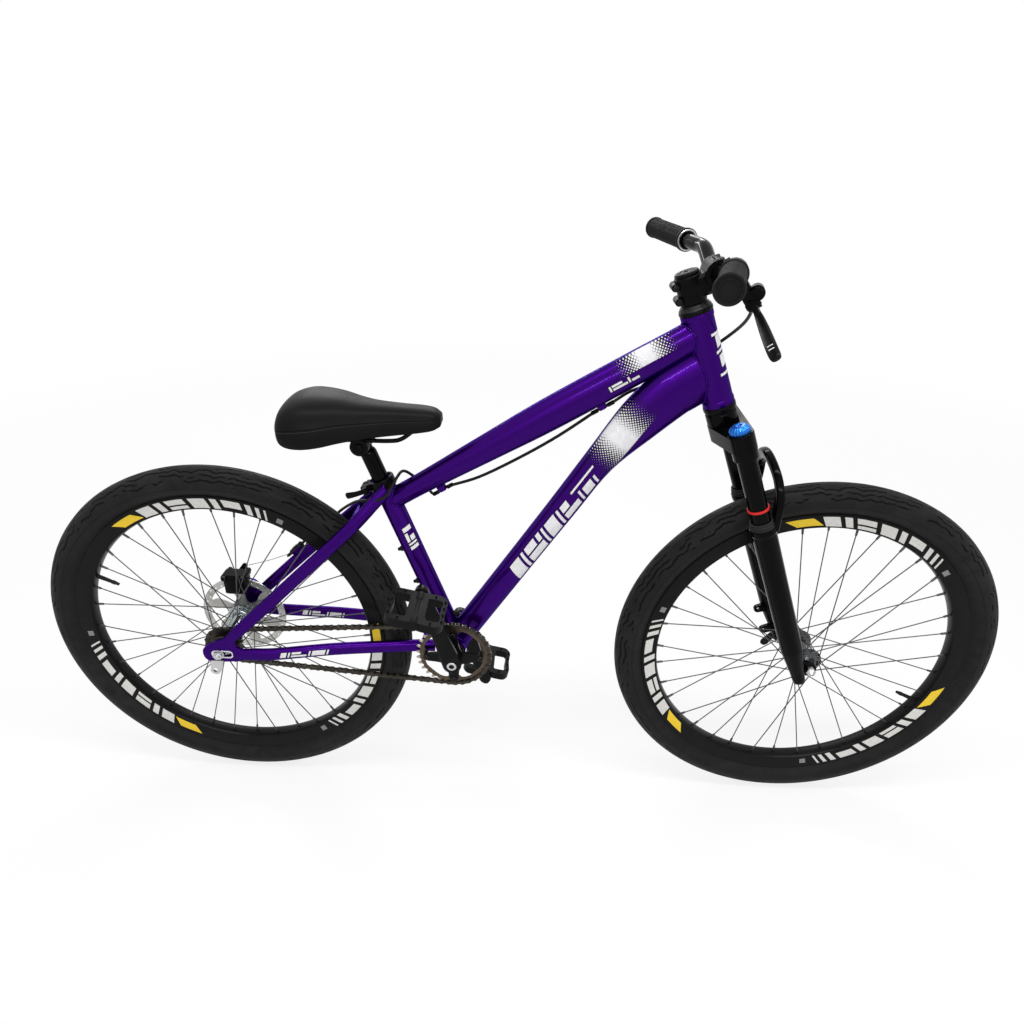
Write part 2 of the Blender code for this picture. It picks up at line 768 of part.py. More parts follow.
# Rear axle with its inner locknuts and outer nuts
OLD_HALF = 0.0675
DROPOUT_THICK = 0.0060
DROPOUT_INNER = OLD_HALF + GAP
DROPOUT_OUTER = DROPOUT_INNER + DROPOUT_THICK
NUT_THICK = 0.0075
NUT_RADIUS = 0.0085
LOCKNUT_RADIUS = 0.0095
REAR_AXLE_END = 0.0840
rear_left_locknut = ROTOR_FACE + 0.0026 + 2 * GAP
rear_axle_profile = [
    (0.0, REAR_AXLE_END),
    (AXLE_RADIUS, REAR_AXLE_END),
    (AXLE_RADIUS, DROPOUT_OUTER + GAP + NUT_THICK),
    (NUT_RADIUS, DROPOUT_OUTER + GAP + NUT_THICK),
    (NUT_RADIUS, DROPOUT_OUTER + GAP),
    (AXLE_RADIUS, DROPOUT_OUTER + GAP),
    (AXLE_RADIUS, OLD_HALF - GAP),
    (LOCKNUT_RADIUS, OLD_HALF - GAP),
    (LOCKNUT_RADIUS, rear_left_locknut),
    (AXLE_RADIUS, rear_left_locknut),
    (AXLE_RADIUS, FREEWHEEL_END - 2 * GAP),
    (LOCKNUT_RADIUS, FREEWHEEL_END - 2 * GAP),
    (LOCKNUT_RADIUS, GAP - OLD_HALF),
    (AXLE_RADIUS, GAP - OLD_HALF),
    (AXLE_RADIUS, -DROPOUT_OUTER - GAP),
    (NUT_RADIUS, -DROPOUT_OUTER - GAP),
    (NUT_RADIUS, -DROPOUT_OUTER - GAP - NUT_THICK),
    (AXLE_RADIUS, -DROPOUT_OUTER - GAP - NUT_THICK),
    (AXLE_RADIUS, -REAR_AXLE_END),
    (0.0, -REAR_AXLE_END),
]
rear_axle = turned(
    "rear_axle", rear_axle_profile, axle_line(REAR_AXLE), TINY_ROUND, SILVER, loop=False
)

# Dropouts: plates with a long axle slot; the left one also carries the brake caliper
SLOT_HALF = 0.0053
slot = hull(circle(SLOT_HALF, 12, (-0.0047, 0.0)) + circle(SLOT_HALF, 12, (0.0187, 0.0)))
dropout_low = [(0.020, -0.016), (0.048, -0.012), (0.048, 0.008)]
dropout_back = [(-0.016, 0.020), (-0.028, 0.010), (-0.028, -0.008), (-0.018, -0.018)]
dropout_outlines = {
    "right": dropout_back + dropout_low + [(0.045, 0.045), (0.030, 0.050)],
    "left": dropout_back
    + dropout_low
    + [(0.045, 0.045), (0.030, 0.052), (0.022, 0.066), (0.004, 0.066), (-0.002, 0.026)],
}
dropouts = {}
dropout_cutters = {}
for side, sign in (("right", -1), ("left", 1)):
    middle = REAR_AXLE + sign * (DROPOUT_INNER + DROPOUT_THICK / 2) * LEFT
    outline = dropout_outlines[side]
    dropouts[side] = plate(
        f"dropout_{side}", [outline, slot], DROPOUT_THICK, side_plane(middle), PAINT
    )
    dropout_cutters[side] = plate(
        f"dropout_{side}_cutter",
        [hull(outline[:7] + outline[7:9])],
        DROPOUT_THICK + 2 * GAP,
        side_plane(middle),
    )

# Derailleur hanger: a silver eye below the right axle nut
HANGER_THICK = 0.0040
HANGER_EYE = (-0.010, -0.033)
hanger_outline = hull(circle(0.0095, 14, HANGER_EYE) + [(-0.014, -0.0115), (0.008, -0.0115)])
derailleur_hanger = plate(
    "derailleur_hanger",
    [hanger_outline, circle(0.0045, 12, HANGER_EYE)],
    HANGER_THICK,
    side_plane(REAR_AXLE - (DROPOUT_OUTER + GAP + HANGER_THICK / 2) * LEFT),
    SILVER,
)

# Frame: head tube, seat tube and bottom bracket shell
HEAD_BOTTOM = 0.5093
HEAD_TOP = 0.6545
HEAD_RADIUS = 0.0230
HEAD_BORE = 0.0185
SEAT_TUBE_RADIUS = 0.0175
SEAT_TUBE_TOP = 0.345
SEAT_BORE = 0.0139
SEAT_BORE_BOTTOM = 0.100
BB_RADIUS = 0.0200
BB_HALF = 0.0340
BB_CUP_RADIUS = 0.0175
BB_CUP_HALF = 0.0370
BB_BORE = 0.0155
SPINDLE_RADIUS = 0.0085

head_profile = [
    (HEAD_RADIUS + 0.0010, HEAD_TOP),
    (HEAD_RADIUS + 0.0010, HEAD_TOP - 0.008),
    (HEAD_RADIUS, HEAD_TOP - 0.010),
    (HEAD_RADIUS, HEAD_BOTTOM + 0.010),
    (HEAD_RADIUS + 0.0010, HEAD_BOTTOM + 0.008),
    (HEAD_RADIUS + 0.0010, HEAD_BOTTOM),
    (HEAD_BORE, HEAD_BOTTOM),
    (HEAD_BORE, HEAD_TOP),
]
steering_line = placed(FOOT, UP, AHEAD)
head_tube = turned("head_tube", head_profile, steering_line, ROUND, PAINT)
head_cutter = rod("head_cutter", steer(0.45), steer(0.70), HEAD_RADIUS + 0.0010 + GAP, sides=ROUND)
bb_cutter = rod(
    "bb_cutter", BB - 0.05 * LEFT, BB + 0.05 * LEFT, BB_RADIUS + GAP, sides=ROUND, across=FORWARD
)
seat_cutter = rod("seat_cutter", seat(-0.01), seat(0.40), SEAT_TUBE_RADIUS + GAP, sides=ROUND)

seat_tube = rod("seat_tube", seat(0.0), seat(SEAT_TUBE_TOP), SEAT_TUBE_RADIUS, PAINT, sides=ROUND)
seat_bore = rod(
    "seat_bore", seat(SEAT_BORE_BOTTOM), seat(SEAT_TUBE_TOP + 0.02), SEAT_BORE, sides=ROUND
)
cut(seat_tube, bb_cutter, seat_bore)

bb_profile = [
    (BB_CUP_RADIUS, BB_CUP_HALF),
    (BB_CUP_RADIUS, BB_HALF),
    (BB_RADIUS, BB_HALF),
    (BB_RADIUS, -BB_HALF),
    (BB_CUP_RADIUS, -BB_HALF),
    (BB_CUP_RADIUS, -BB_CUP_HALF),
    (SPINDLE_RADIUS + GAP, -BB_CUP_HALF),
    (SPINDLE_RADIUS + GAP, -0.0280),
    (BB_BORE, -0.0280),
    (BB_BORE, 0.0280),
    (SPINDLE_RADIUS + GAP, 0.0280),
    (SPINDLE_RADIUS + GAP, BB_CUP_HALF),
]
bottom_bracket_shell = turned(
    "bottom_bracket_shell", bb_profile, axle_line(BB), SMALL_ROUND, PAINT
)

# Top tube: an oval that swells towards the head tube, with two cable guides below it
top_start = seat(0.3045)
top_end = steer(0.6235)
top_shape = [
    (0.0, 0.0170, 0.0165),
    (0.14, 0.0180, 0.0175),
    (0.35, 0.0225, 0.0195),
    (0.55, 0.0262, 0.0205),
    (0.80, 0.0255, 0.0205),
    (1.0, 0.0235, 0.0200),
]
top_rows = through(top_shape, 1)
top_path = [top_start.lerp(top_end, float(row[0])) for row in top_rows]
top_heights = [float(row[1]) for row in top_rows]
top_widths = [float(row[2]) for row in top_rows]
top_tube = oval_tube("top_tube", top_path, top_heights, top_widths, PAINT, sides=OVAL)
top_cutter = oval_tube("top_cutter", top_path, top_heights, top_widths, sides=OVAL, grow=GAP)
cut(top_tube, head_cutter, seat_cutter)

CABLE_RADIUS = 0.0025
CABLE_BORE = 0.0030
GUIDE_SIZE = (0.012, 0.0090, 0.0150)
GUIDE_LIFT = 0.0040
GUIDE_SPOTS = ((0.6826, 0.0316), (0.1566, 0.0269))
top_along = (top_end - top_start).normalized()
top_up = Vector((-top_along.z, 0, top_along.x))
GUIDES = [top_start.lerp(top_end, share) - below * top_up for share, below in GUIDE_SPOTS]
for k, guide in enumerate(GUIDES):
    block = box(f"guide_{k}", GUIDE_SIZE, placed(guide, RIGHT.cross(top_along), top_along))
    block.matrix_world.translation += GUIDE_LIFT * top_up
    join(top_tube, block)
for k, guide in enumerate(GUIDES):
    bore_end = 0.02 * top_along
    cut(top_tube, rod(f"guide_bore_{k}", guide - bore_end, guide + bore_end, CABLE_BORE, sides=8))

# Down tube: round below, swelling and flattening where it meets the head tube
bb_n = (BB - FOOT).dot(AHEAD)
bb_s = (BB - FOOT).dot(UP)
down_shape = [
    (bb_n, bb_s, 0.0227, 0.0225),
    (-0.3700, 0.3524, 0.0227, 0.0225),
    (-0.1980, 0.4780, 0.0245, 0.0225),
    (-0.1215, 0.5224, 0.0365, 0.0215),
    (-0.0657, 0.5485, 0.0405, 0.0205),
    (-0.0170, 0.5630, 0.0420, 0.0200),
    (0.0, 0.5690, 0.0420, 0.0200),
]
down_rows = through(down_shape, 1)
down_path = [steer(float(row[1]), float(row[0])) for row in down_rows]
down_tube = oval_tube(
    "down_tube",
    down_path,
    [float(row[2]) for row in down_rows],
    [float(row[3]) for row in down_rows],
    PAINT,
    sides=OVAL,
)
cut(down_tube, head_cutter, top_cutter, seat_cutter, bb_cutter)

# Seatstays and chainstays, slotted around the dropouts
BRIDGE_RADIUS = 0.0060
BRIDGE_ROOM = 0.0182
BRIDGE_TURN = math.radians(44.36)
bridge_reach = TYRE_RADIUS + BRIDGE_ROOM
bridge_x = bridge_reach * math.cos(BRIDGE_TURN)
bridge_z = bridge_reach * math.sin(BRIDGE_TURN)
SEATSTAY = [
    at(0.030, 0.037, 0.0690),
    at(0.1648, 0.1654, 0.0600),
    at(bridge_x, bridge_z, 0.0450),
    seat(0.3192, 0.0048, 0.008),
]
CHAINSTAY = [
    at(0.030, -0.002, 0.0685),
    at(0.100, -0.001, 0.0665),
    at(BB_X - 0.2162, 0.005, 0.0540),
    at(BB_X - 0.1178, 0.0055, 0.0415),
    at(BB_X - 0.0658, 0.002, 0.0310),
    at(BB_X - 0.0178, -0.002, 0.0240),
]
stays = {}
for side, sign in (("right", -1), ("left", 1)):
    upper = [Vector((place.x, sign * place.y, place.z)) for place in SEATSTAY]
    stays["seat", side] = oval_tube(
        f"seatstay_{side}", upper, [0.0110] * 4, [0.0080, 0.0080, 0.0085, 0.0085], PAINT
    )
    lower = [Vector((place.x, sign * place.y, place.z)) for place in CHAINSTAY]
    stays["chain", side] = oval_tube(
        f"chainstay_{side}", lower, [0.0115] * 6, [0.0085] * 6, PAINT
    )
for kind, x, z, reach, short in (
    ("seat", bridge_x, bridge_z, 0.0450, 0.0125),
    ("chain", BB_X - 0.0558, 0.0015, 0.0293, 0.0100),
):
    bridge = rod(f"{kind}stay_bridge", at(x, z, reach), at(x, z, short - reach), BRIDGE_RADIUS, sides=8)
    join(stays[kind, "left"], bridge)

# The housing ends in a barrel on the left seatstay
BARREL_RADIUS = 0.0060
BARREL_FRONT = at(0.1290, 0.1551, 0.0590)
BARREL_BACK = at(0.1080, 0.1352, 0.0605)
barrel = rod("cable_barrel", BARREL_FRONT, BARREL_BACK, BARREL_RADIUS, sides=8)
barrel_along = (BARREL_BACK - BARREL_FRONT).normalized()
barrel_up = LEFT.cross(barrel_along).normalized()
barrel_foot = box(
    "barrel_foot",
    (0.0260, 0.0100, 0.0160),
    placed((BARREL_FRONT + BARREL_BACK) / 2 - 0.0060 * barrel_up, barrel_up, barrel_along),
)
join(stays["seat", "left"], barrel_foot, barrel)
barrel_bore = rod(
    "barrel_bore",
    BARREL_FRONT - 0.01 * barrel_along,
    BARREL_BACK + 0.01 * barrel_along,
    CABLE_BORE,
    sides=8,
)
cut(stays["seat", "left"], barrel_bore)
for side in ("right", "left"):
    cut(stays["seat", side], seat_cutter, dropout_cutters[side])
    cut(stays["chain", side], bb_cutter, seat_cutter, dropout_cutters[side])

# Rear brake caliper, straddling the rotor, with the arm that the cable pulls
CALIPER_MIDDLE = (-0.003, 0.072)
CALIPER_SIZE = (0.050, 0.0312, 0.042)
CALIPER_INNER = 0.0360
CALIPER_PIVOT = at(-0.004, 0.075)
ARM_THICK = 0.0030
caliper_y = CALIPER_INNER + CALIPER_SIZE[1] / 2
caliper_outer = CALIPER_INNER + CALIPER_SIZE[1]
brake_caliper = box(
    "brake_caliper",
    CALIPER_SIZE,
    Matrix.Translation(at(*CALIPER_MIDDLE, caliper_y)),
    SATIN,
    bevel=0.006,
)
arm_inner = DROPOUT_OUTER + 2 * GAP
caliper_boss = rod(
    "caliper_boss",
    CALIPER_PIVOT + (caliper_outer - 0.004) * LEFT,
    CALIPER_PIVOT + (arm_inner + ARM_THICK + 0.0015) * LEFT,
    0.0045,
    sides=SMALL_ROUND,
)
rotor_middle = ROTOR_FACE + GAP + ROTOR_THICK / 2
rotor_slot = box(
    "rotor_slot",
    (0.080, ROTOR_THICK + 0.0014, 0.060),
    Matrix.Translation(at(-0.003, ROTOR_RADIUS + 0.0015 - 0.030, rotor_middle)),
)
join(brake_caliper, caliper_boss)
cut(brake_caliper, rotor_slot)
CALIPER_TIP = (0.010, 0.018)
caliper_arm = plate(
    "caliper_arm",
    [hull(circle(0.0085, 14) + circle(0.0050, 10, CALIPER_TIP)), circle(0.0045 + GAP, 16)],
    ARM_THICK,
    side_plane(CALIPER_PIVOT + (arm_inner + ARM_THICK / 2) * LEFT),
    GREY,
)

# Cranks, spindle and pedals
CRANK_INNER = 0.0640
CRANK_THICK = 0.0140
CRANK_OUTER = CRANK_INNER + CRANK_THICK
CRANK_LENGTH = 0.158
CRANK_BOSS = 0.0170
CRANK_TIP = 0.0120
CRANK_TURN = math.radians(90 + 17)
SPINDLE_END = 0.0635
SPIDER_INNER = 0.0497
SPIDER_THICK = 0.0050
PEDAL_AXLE_RADIUS = 0.0045
PEDAL_INNER = 0.0805
PEDAL_SIZE = (0.0950, 0.0850, 0.0220)
PEDAL_BORE = PEDAL_AXLE_RADIUS + GAP
PEDAL_TILT = math.radians(12)

crank_spindle = rod(
    "crank_spindle",
    BB - SPINDLE_END * LEFT,
    BB + SPINDLE_END * LEFT,
    SPINDLE_RADIUS,
    STEEL,
    sides=SMALL_ROUND,
)
crank_out = Vector((math.cos(CRANK_TURN), 0, math.sin(CRANK_TURN)))
cranks = {}
pedals = {}
pedal_places = {}
for side, sign in (("right", -1), ("left", 1)):
    reach = crank_out if side == "right" else -crank_out
    tip = (CRANK_LENGTH * reach.x, CRANK_LENGTH * reach.z)
    outline = hull(circle(CRANK_BOSS, 12) + circle(CRANK_TIP, 10, tip))
    middle = BB + sign * (CRANK_INNER + CRANK_THICK / 2) * LEFT
    crank = plate(f"crank_{side}", [outline], CRANK_THICK, side_plane(middle), SATIN, bevel=0.0022)
    boss_inner = SPIDER_INNER if side == "right" else 0.0560
    boss = rod(
        f"crank_boss_{side}",
        BB + sign * boss_inner * LEFT,
        BB + sign * (CRANK_INNER + 0.003) * LEFT,
        0.0150,
        sides=SMALL_ROUND,
    )
    pedal_place = BB + CRANK_LENGTH * reach
    pedal_axle = rod(
        f"pedal_axle_{side}",
        pedal_place + sign * (CRANK_OUTER - 0.004) * LEFT,
        pedal_place + sign * (PEDAL_INNER + PEDAL_SIZE[1] - 0.006) * LEFT,
        PEDAL_AXLE_RADIUS,
        sides=SMALL_ROUND,
    )
    socket = rod(
        f"spindle_socket_{side}",
        BB + sign * (boss_inner - 0.01) * LEFT,
        BB + sign * (SPINDLE_END + GAP) * LEFT,
        SPINDLE_RADIUS + GAP,
        sides=ROUND,
    )
    join(crank, boss, pedal_axle)
    if side == "right":
        star = []
        for k in range(4):
            for swing, radius in ((-0.13, 0.0505), (0.13, 0.0505), (0.42, 0.0230), (1.15, 0.0230)):
                angle = k * math.pi / 2 + swing
                star.append((radius * math.cos(angle), radius * math.sin(angle)))
        spider_middle = BB - (SPIDER_INNER + SPIDER_THICK / 2) * LEFT
        spider = plate("spider", [star], SPIDER_THICK, side_plane(spider_middle))
        bolts = []
        for k in range(4):
            turn = k * math.pi / 2
            bolt = BB + EAR_RADIUS * 1.03 * Vector((math.cos(turn), 0, math.sin(turn)))
            ring_face = -CHAIN_LINE + SPROCKET_THICK / 2 + GAP
            bolts.append((bolt - ring_face * LEFT, bolt - (SPIDER_INNER + 0.002) * LEFT))
        join(crank, spider, rods("ring_bolts", bolts, 0.0036, sides=8))
    cut(crank, socket)
    cranks[side] = crank
    pedal_places[side] = pedal_place
    pedal_middle = pedal_place + sign * (PEDAL_INNER + PEDAL_SIZE[1] / 2) * LEFT
    tilt = Matrix.Rotation(PEDAL_TILT, 4, "Y")
    pedal = box(
        f"pedal_{side}", PEDAL_SIZE, Matrix.Translation(pedal_middle) @ tilt, SATIN, bevel=0.005
    )
    for k, offset in enumerate((-0.0275, 0.0275)):
        window = box(
            f"pedal_window_{side}_{k}",
            (0.0220, 0.0560, 0.0400),
            Matrix.Translation(pedal_middle) @ tilt @ Matrix.Translation((offset, 0, 0)),
        )
        cut(pedal, window)
    bore = rod(
        f"pedal_bore_{side}",
        pedal_place + sign * (PEDAL_INNER - 0.01) * LEFT,
        pedal_place + sign * (PEDAL_INNER + PEDAL_SIZE[1] + 0.01) * LEFT,
        PEDAL_BORE,
        sides=SMALL_ROUND,
    )
    cut(pedal, bore)
    pedals[side] = pedal

# Seatpost: a tube in the seat tube, a neck and a cross head for the saddle clamp
POST_RADIUS = 0.0136
POST_BOTTOM = 0.160
POST_SHOULDER = 0.395
HEAD_S = 0.416
POST_HEAD_RADIUS = 0.0125
POST_HEAD_HALF = 0.0132
CLAMP_BOLT = 0.0040
SADDLE_AXIS = seat(HEAD_S)
post_profile = [
    (0.0, HEAD_S),
    (0.0105, HEAD_S),
    (0.0105, POST_SHOULDER + 0.006),
    (POST_RADIUS, POST_SHOULDER),
    (POST_RADIUS, POST_BOTTOM),
    (0.0, POST_BOTTOM),
]
seatpost = turned("seatpost", post_profile, placed(BB, SEAT_UP), ROUND, BLACK, loop=False)
post_head = rod(
    "post_head",
    SADDLE_AXIS - POST_HEAD_HALF * LEFT,
    SADDLE_AXIS + POST_HEAD_HALF * LEFT,
    POST_HEAD_RADIUS,
    sides=SMALL_ROUND,
)
head_bore = rod(
    "head_bore",
    SADDLE_AXIS - 0.03 * LEFT,
    SADDLE_AXIS + 0.03 * LEFT,
    CLAMP_BOLT + GAP,
    sides=SMALL_ROUND,
)
join(seatpost, post_head)
cut(seatpost, head_bore)

# Saddle clamp: a cross bolt with a serrated disc at each end that holds the rails
RAIL_RADIUS = 0.0035
RAIL_HALF_GAUGE = 0.0220
RAIL_RISE = 0.0100
DISC_INNER = POST_HEAD_HALF + GAP
DISC_OUTER = 0.0305
saddle_clamp = rod(
    "saddle_clamp",
    SADDLE_AXIS - 0.0320 * LEFT,
    SADDLE_AXIS + 0.0320 * LEFT,
    CLAMP_BOLT,
    SATIN,
    sides=SMALL_ROUND,
)
for side, sign in (("right", -1), ("left", 1)):
    disc = rod(
        f"clamp_disc_{side}",
        SADDLE_AXIS + sign * DISC_INNER * LEFT,
        SADDLE_AXIS + sign * DISC_OUTER * LEFT,
        0.0150,
        sides=TINY_ROUND,
    )
    join(saddle_clamp, disc)
    rail_line = SADDLE_AXIS + sign * RAIL_HALF_GAUGE * LEFT + RAIL_RISE * Vector((0, 0, 1))
    groove = rod(
        f"rail_groove_{side}",
        rail_line - 0.03 * FORWARD,
        rail_line + 0.03 * FORWARD,
        RAIL_RADIUS + GAP,
        sides=8,
    )
    cut(saddle_clamp, groove)

# Saddle: a padded cover over a hard base, with the wire rails moulded into the base
SADDLE = [
    # x, top z, skirt z and half width, from the saddle's axis
    (-0.1234, 0.0542, 0.0302, 0.046),
    (-0.1159, 0.0662, 0.0182, 0.062),
    (-0.0999, 0.0752, 0.0122, 0.073),
    (-0.0779, 0.0802, 0.0112, 0.0755),
    (-0.0529, 0.0792, 0.0132, 0.071),
    (-0.0279, 0.0762, 0.0162, 0.060),
    (0.0001, 0.0692, 0.0202, 0.046),
    (0.0271, 0.0642, 0.0232, 0.035),
    (0.0671, 0.0602, 0.0252, 0.0275),
    (0.0971, 0.0572, 0.0272, 0.0240),
    (0.1161, 0.0542, 0.0292, 0.0195),
    (0.1276, 0.0482, 0.0322, 0.0115),
]
SKIRT_THICK = 0.0075
RECESS = 0.0110
PLATE_UNDER = 0.0045


def on_saddle(x, z, y):
    """A place ahead of, above and to the left of the saddle's axis."""
    return SADDLE_AXIS + Vector((x, y, z))


def saddle_ring(x, top, skirt, half):
    """One section of the cover: its crown and drawn-in sides, and the hollow below it."""
    high = top - skirt
    inner = max(half - SKIRT_THICK, 0.004)
    right = [
        (0.0, top),
        (-0.42 * half, top - 0.04 * high),
        (-0.76 * half, top - 0.20 * high),
        (-0.96 * half, top - 0.48 * high),
        (-half, skirt + 0.22 * high),
        (-0.93 * half, skirt),
        (-inner * 0.93, skirt + 0.0005),
        (-inner * 0.88, skirt + RECESS),
    ]
    left = [(-y, z) for y, z in right[1:]]
    return [on_saddle(x, z, y) for y, z in right + left[::-1]]


def base_ring(x, top, skirt, half):
    inner = max(half - SKIRT_THICK, 0.004) * 0.88 - 0.0012
    high = skirt + RECESS - GAP
    low = high - PLATE_UNDER
    right = [on_saddle(x, high, -inner), on_saddle(x, low, -inner)]
    return right + [on_saddle(x, low, inner), on_saddle(x, high, inner)]


saddle_cover = loft("saddle_cover", [saddle_ring(*row) for row in SADDLE], CUSHION)
saddle_base = loft("saddle_base", [base_ring(*row) for row in SADDLE[1:-1]], PLASTIC)
RAIL_HALF = [
    (-0.1119, 0.0330, 0.0237),
    (-0.0979, 0.0310, 0.0177),
    (-0.0729, 0.0235, RAIL_RISE + 0.001),
    (-0.0559, RAIL_HALF_GAUGE, RAIL_RISE),
    (0.0471, RAIL_HALF_GAUGE, RAIL_RISE),
    (0.0671, 0.0190, RAIL_RISE + 0.003),
    (0.0871, 0.0110, 0.0262),
    (0.0961, 0.0070, 0.0342),
]
rail_right = [on_saddle(x, z, -y) for x, y, z in RAIL_HALF]
rail_left = [on_saddle(x, z, y) for x, y, z in RAIL_HALF]
join(
    saddle_base,
    tube("rail_right", rail_right, RAIL_RADIUS, sides=6),
    tube("rail_left", rail_left, RAIL_RADIUS, sides=6),
)

# Seat clamp: a split collar with ears behind, closed by a quick-release lever
COLLAR_INNER = SEAT_TUBE_RADIUS + GAP
COLLAR_OUTER = 0.0218
COLLAR_LOW = 0.3310
COLLAR_HIGH = 0.3475
EAR_HALF = 0.0120
CLAMP_SLIT = 0.0030
LEVER_BACK = 0.0270
LEVER_EYE = 0.0050
seat_collar_middle = (COLLAR_LOW + COLLAR_HIGH) / 2
collar_profile = [
    (COLLAR_OUTER, COLLAR_HIGH - 0.001),
    (COLLAR_OUTER, COLLAR_LOW),
    (COLLAR_INNER, COLLAR_LOW),
    (COLLAR_INNER, COLLAR_HIGH),
    (COLLAR_OUTER - 0.001, COLLAR_HIGH),
]
seat_clamp = turned("seat_clamp", collar_profile, placed(BB, SEAT_UP), ROUND, SATIN)
ears = box(
    "clamp_ears",
    (0.0180, 2 * EAR_HALF, 0.0120),
    placed(seat(seat_collar_middle, 0.0270), SEAT_UP, SEAT_BACK),
    bevel=0.002,
)
slit = box(
    "clamp_slit",
    (0.0400, CLAMP_SLIT, 0.0400),
    placed(seat(seat_collar_middle, 0.0310), SEAT_UP, SEAT_BACK),
)
join(seat_clamp, ears)
cut(seat_clamp, slit)
lever_y = -(EAR_HALF + GAP + LEVER_EYE)
LEVER_PIVOT = seat(seat_collar_middle, LEVER_BACK, lever_y)
seat_clamp_lever = rod(
    "seat_clamp_lever",
    LEVER_PIVOT - 0.006 * SEAT_UP,
    LEVER_PIVOT + 0.006 * SEAT_UP,
    LEVER_EYE,
    SATIN,
    sides=SMALL_ROUND,
)
lever_blade = oval_tube(
    "clamp_lever_blade",
    [
        LEVER_PIVOT,
        LEVER_PIVOT + 0.014 * SEAT_BACK - 0.001 * LEFT,
        LEVER_PIVOT + 0.035 * SEAT_BACK + 0.003 * LEFT,
    ],
    [0.0045, 0.0045, 0.0055],
    [0.0030, 0.0022, 0.0022],
    sides=8,
)
join(seat_clamp_lever, lever_blade)

# Fork: crown with steerer, stanchions, knob and the lower casting that slides on them
LEG_N = 0.0120
LEG_Y = 0.0625
STANCHION_RADIUS = 0.0150
LEG_BORE = STANCHION_RADIUS + GAP
STANCHION_BOTTOM = 0.165
BORE_FLOOR = 0.060
SEAL_TOP = 0.326
SLEEVE_LOW = 0.437
SLEEVE_HIGH = 0.480
SLEEVE_RADIUS = 0.0190
CAP_TOP = 0.4890
CROWN_LOW = 0.452
CROWN_HIGH = 0.478
CROWN_BOSS = 0.0240
CROWN_WEB = 0.0008
RACE_TOP = 0.5000
STEERER_RADIUS = 0.0143
STEERER_BORE = STEERER_RADIUS + GAP
STEERER_TOP = 0.7075

crown_outline = hull(
    circle(CROWN_BOSS + CROWN_WEB, 14)
    + circle(SLEEVE_RADIUS + CROWN_WEB, 14, (LEG_N, LEG_Y))
    + circle(SLEEVE_RADIUS + CROWN_WEB, 14, (LEG_N, -LEG_Y))
)
fork_crown = plate(
    "fork_crown",
    [crown_outline],
    CROWN_HIGH - CROWN_LOW,
    placed(steer((CROWN_HIGH + CROWN_LOW) / 2), UP, AHEAD),
    BLACK,
    bevel=0.004,
)
steerer_profile = [
    (0.0, STEERER_TOP),
    (STEERER_RADIUS, STEERER_TOP),
    (STEERER_RADIUS, RACE_TOP),
    (0.0220, RACE_TOP),
    (CROWN_BOSS, RACE_TOP - 0.004),
    (CROWN_BOSS, CROWN_HIGH - 0.010),
    (0.0, CROWN_HIGH - 0.010),
]
steerer = turned("steerer", steerer_profile, steering_line, SMALL_ROUND, loop=False)
join(fork_crown, steerer)
for side, sign in (("right", -1), ("left", 1)):
    sleeve = rod(
        f"sleeve_{side}",
        steer(SLEEVE_LOW, LEG_N, sign * LEG_Y),
        steer(SLEEVE_HIGH, LEG_N, sign * LEG_Y),
        SLEEVE_RADIUS,
        sides=SMALL_ROUND,
    )
    join(fork_crown, sleeve)
for side, sign in (("right", -1), ("left", 1)):
    leg_bore = rod(
        f"sleeve_bore_{side}",
        steer(0.40, LEG_N, sign * LEG_Y),
        steer(0.52, LEG_N, sign * LEG_Y),
        LEG_BORE,
        sides=SMALL_ROUND,
    )
    cut(fork_crown, leg_bore)

stanchion_right_profile = [
    (0.0, SLEEVE_HIGH - 0.001),
    (STANCHION_RADIUS, SLEEVE_HIGH - 0.001),
    (STANCHION_RADIUS, STANCHION_BOTTOM),
    (0.0, STANCHION_BOTTOM),
]
cap_profile = [
    (0.0, CAP_TOP),
    (0.0120, CAP_TOP),
    (0.0155, CAP_TOP - 0.003),
    (0.0155, SLEEVE_HIGH + GAP),
    (STANCHION_RADIUS, SLEEVE_HIGH + GAP),
    (STANCHION_RADIUS, STANCHION_BOTTOM),
    (0.0, STANCHION_BOTTOM),
]
right_leg = placed(steer(0, LEG_N, -LEG_Y), UP, AHEAD)
left_leg = placed(steer(0, LEG_N, LEG_Y), UP, AHEAD)
fork_stanchion_right = turned(
    "fork_stanchion_right", stanchion_right_profile, right_leg, SMALL_ROUND, BLACK, loop=False
)
fork_stanchion_left = turned(
    "fork_stanchion_left", cap_profile, left_leg, SMALL_ROUND, BLACK, loop=False
)
knob_profile = [
    (0.0, CAP_TOP + 0.003),
    (0.0100, CAP_TOP + 0.002),
    (0.0150, CAP_TOP - 0.002),
    (0.0155, SLEEVE_HIGH + GAP),
    (0.0, SLEEVE_HIGH + GAP),
]
fork_knob = turned("fork_knob", knob_profile, right_leg, SMALL_ROUND, BLUE, loop=False)

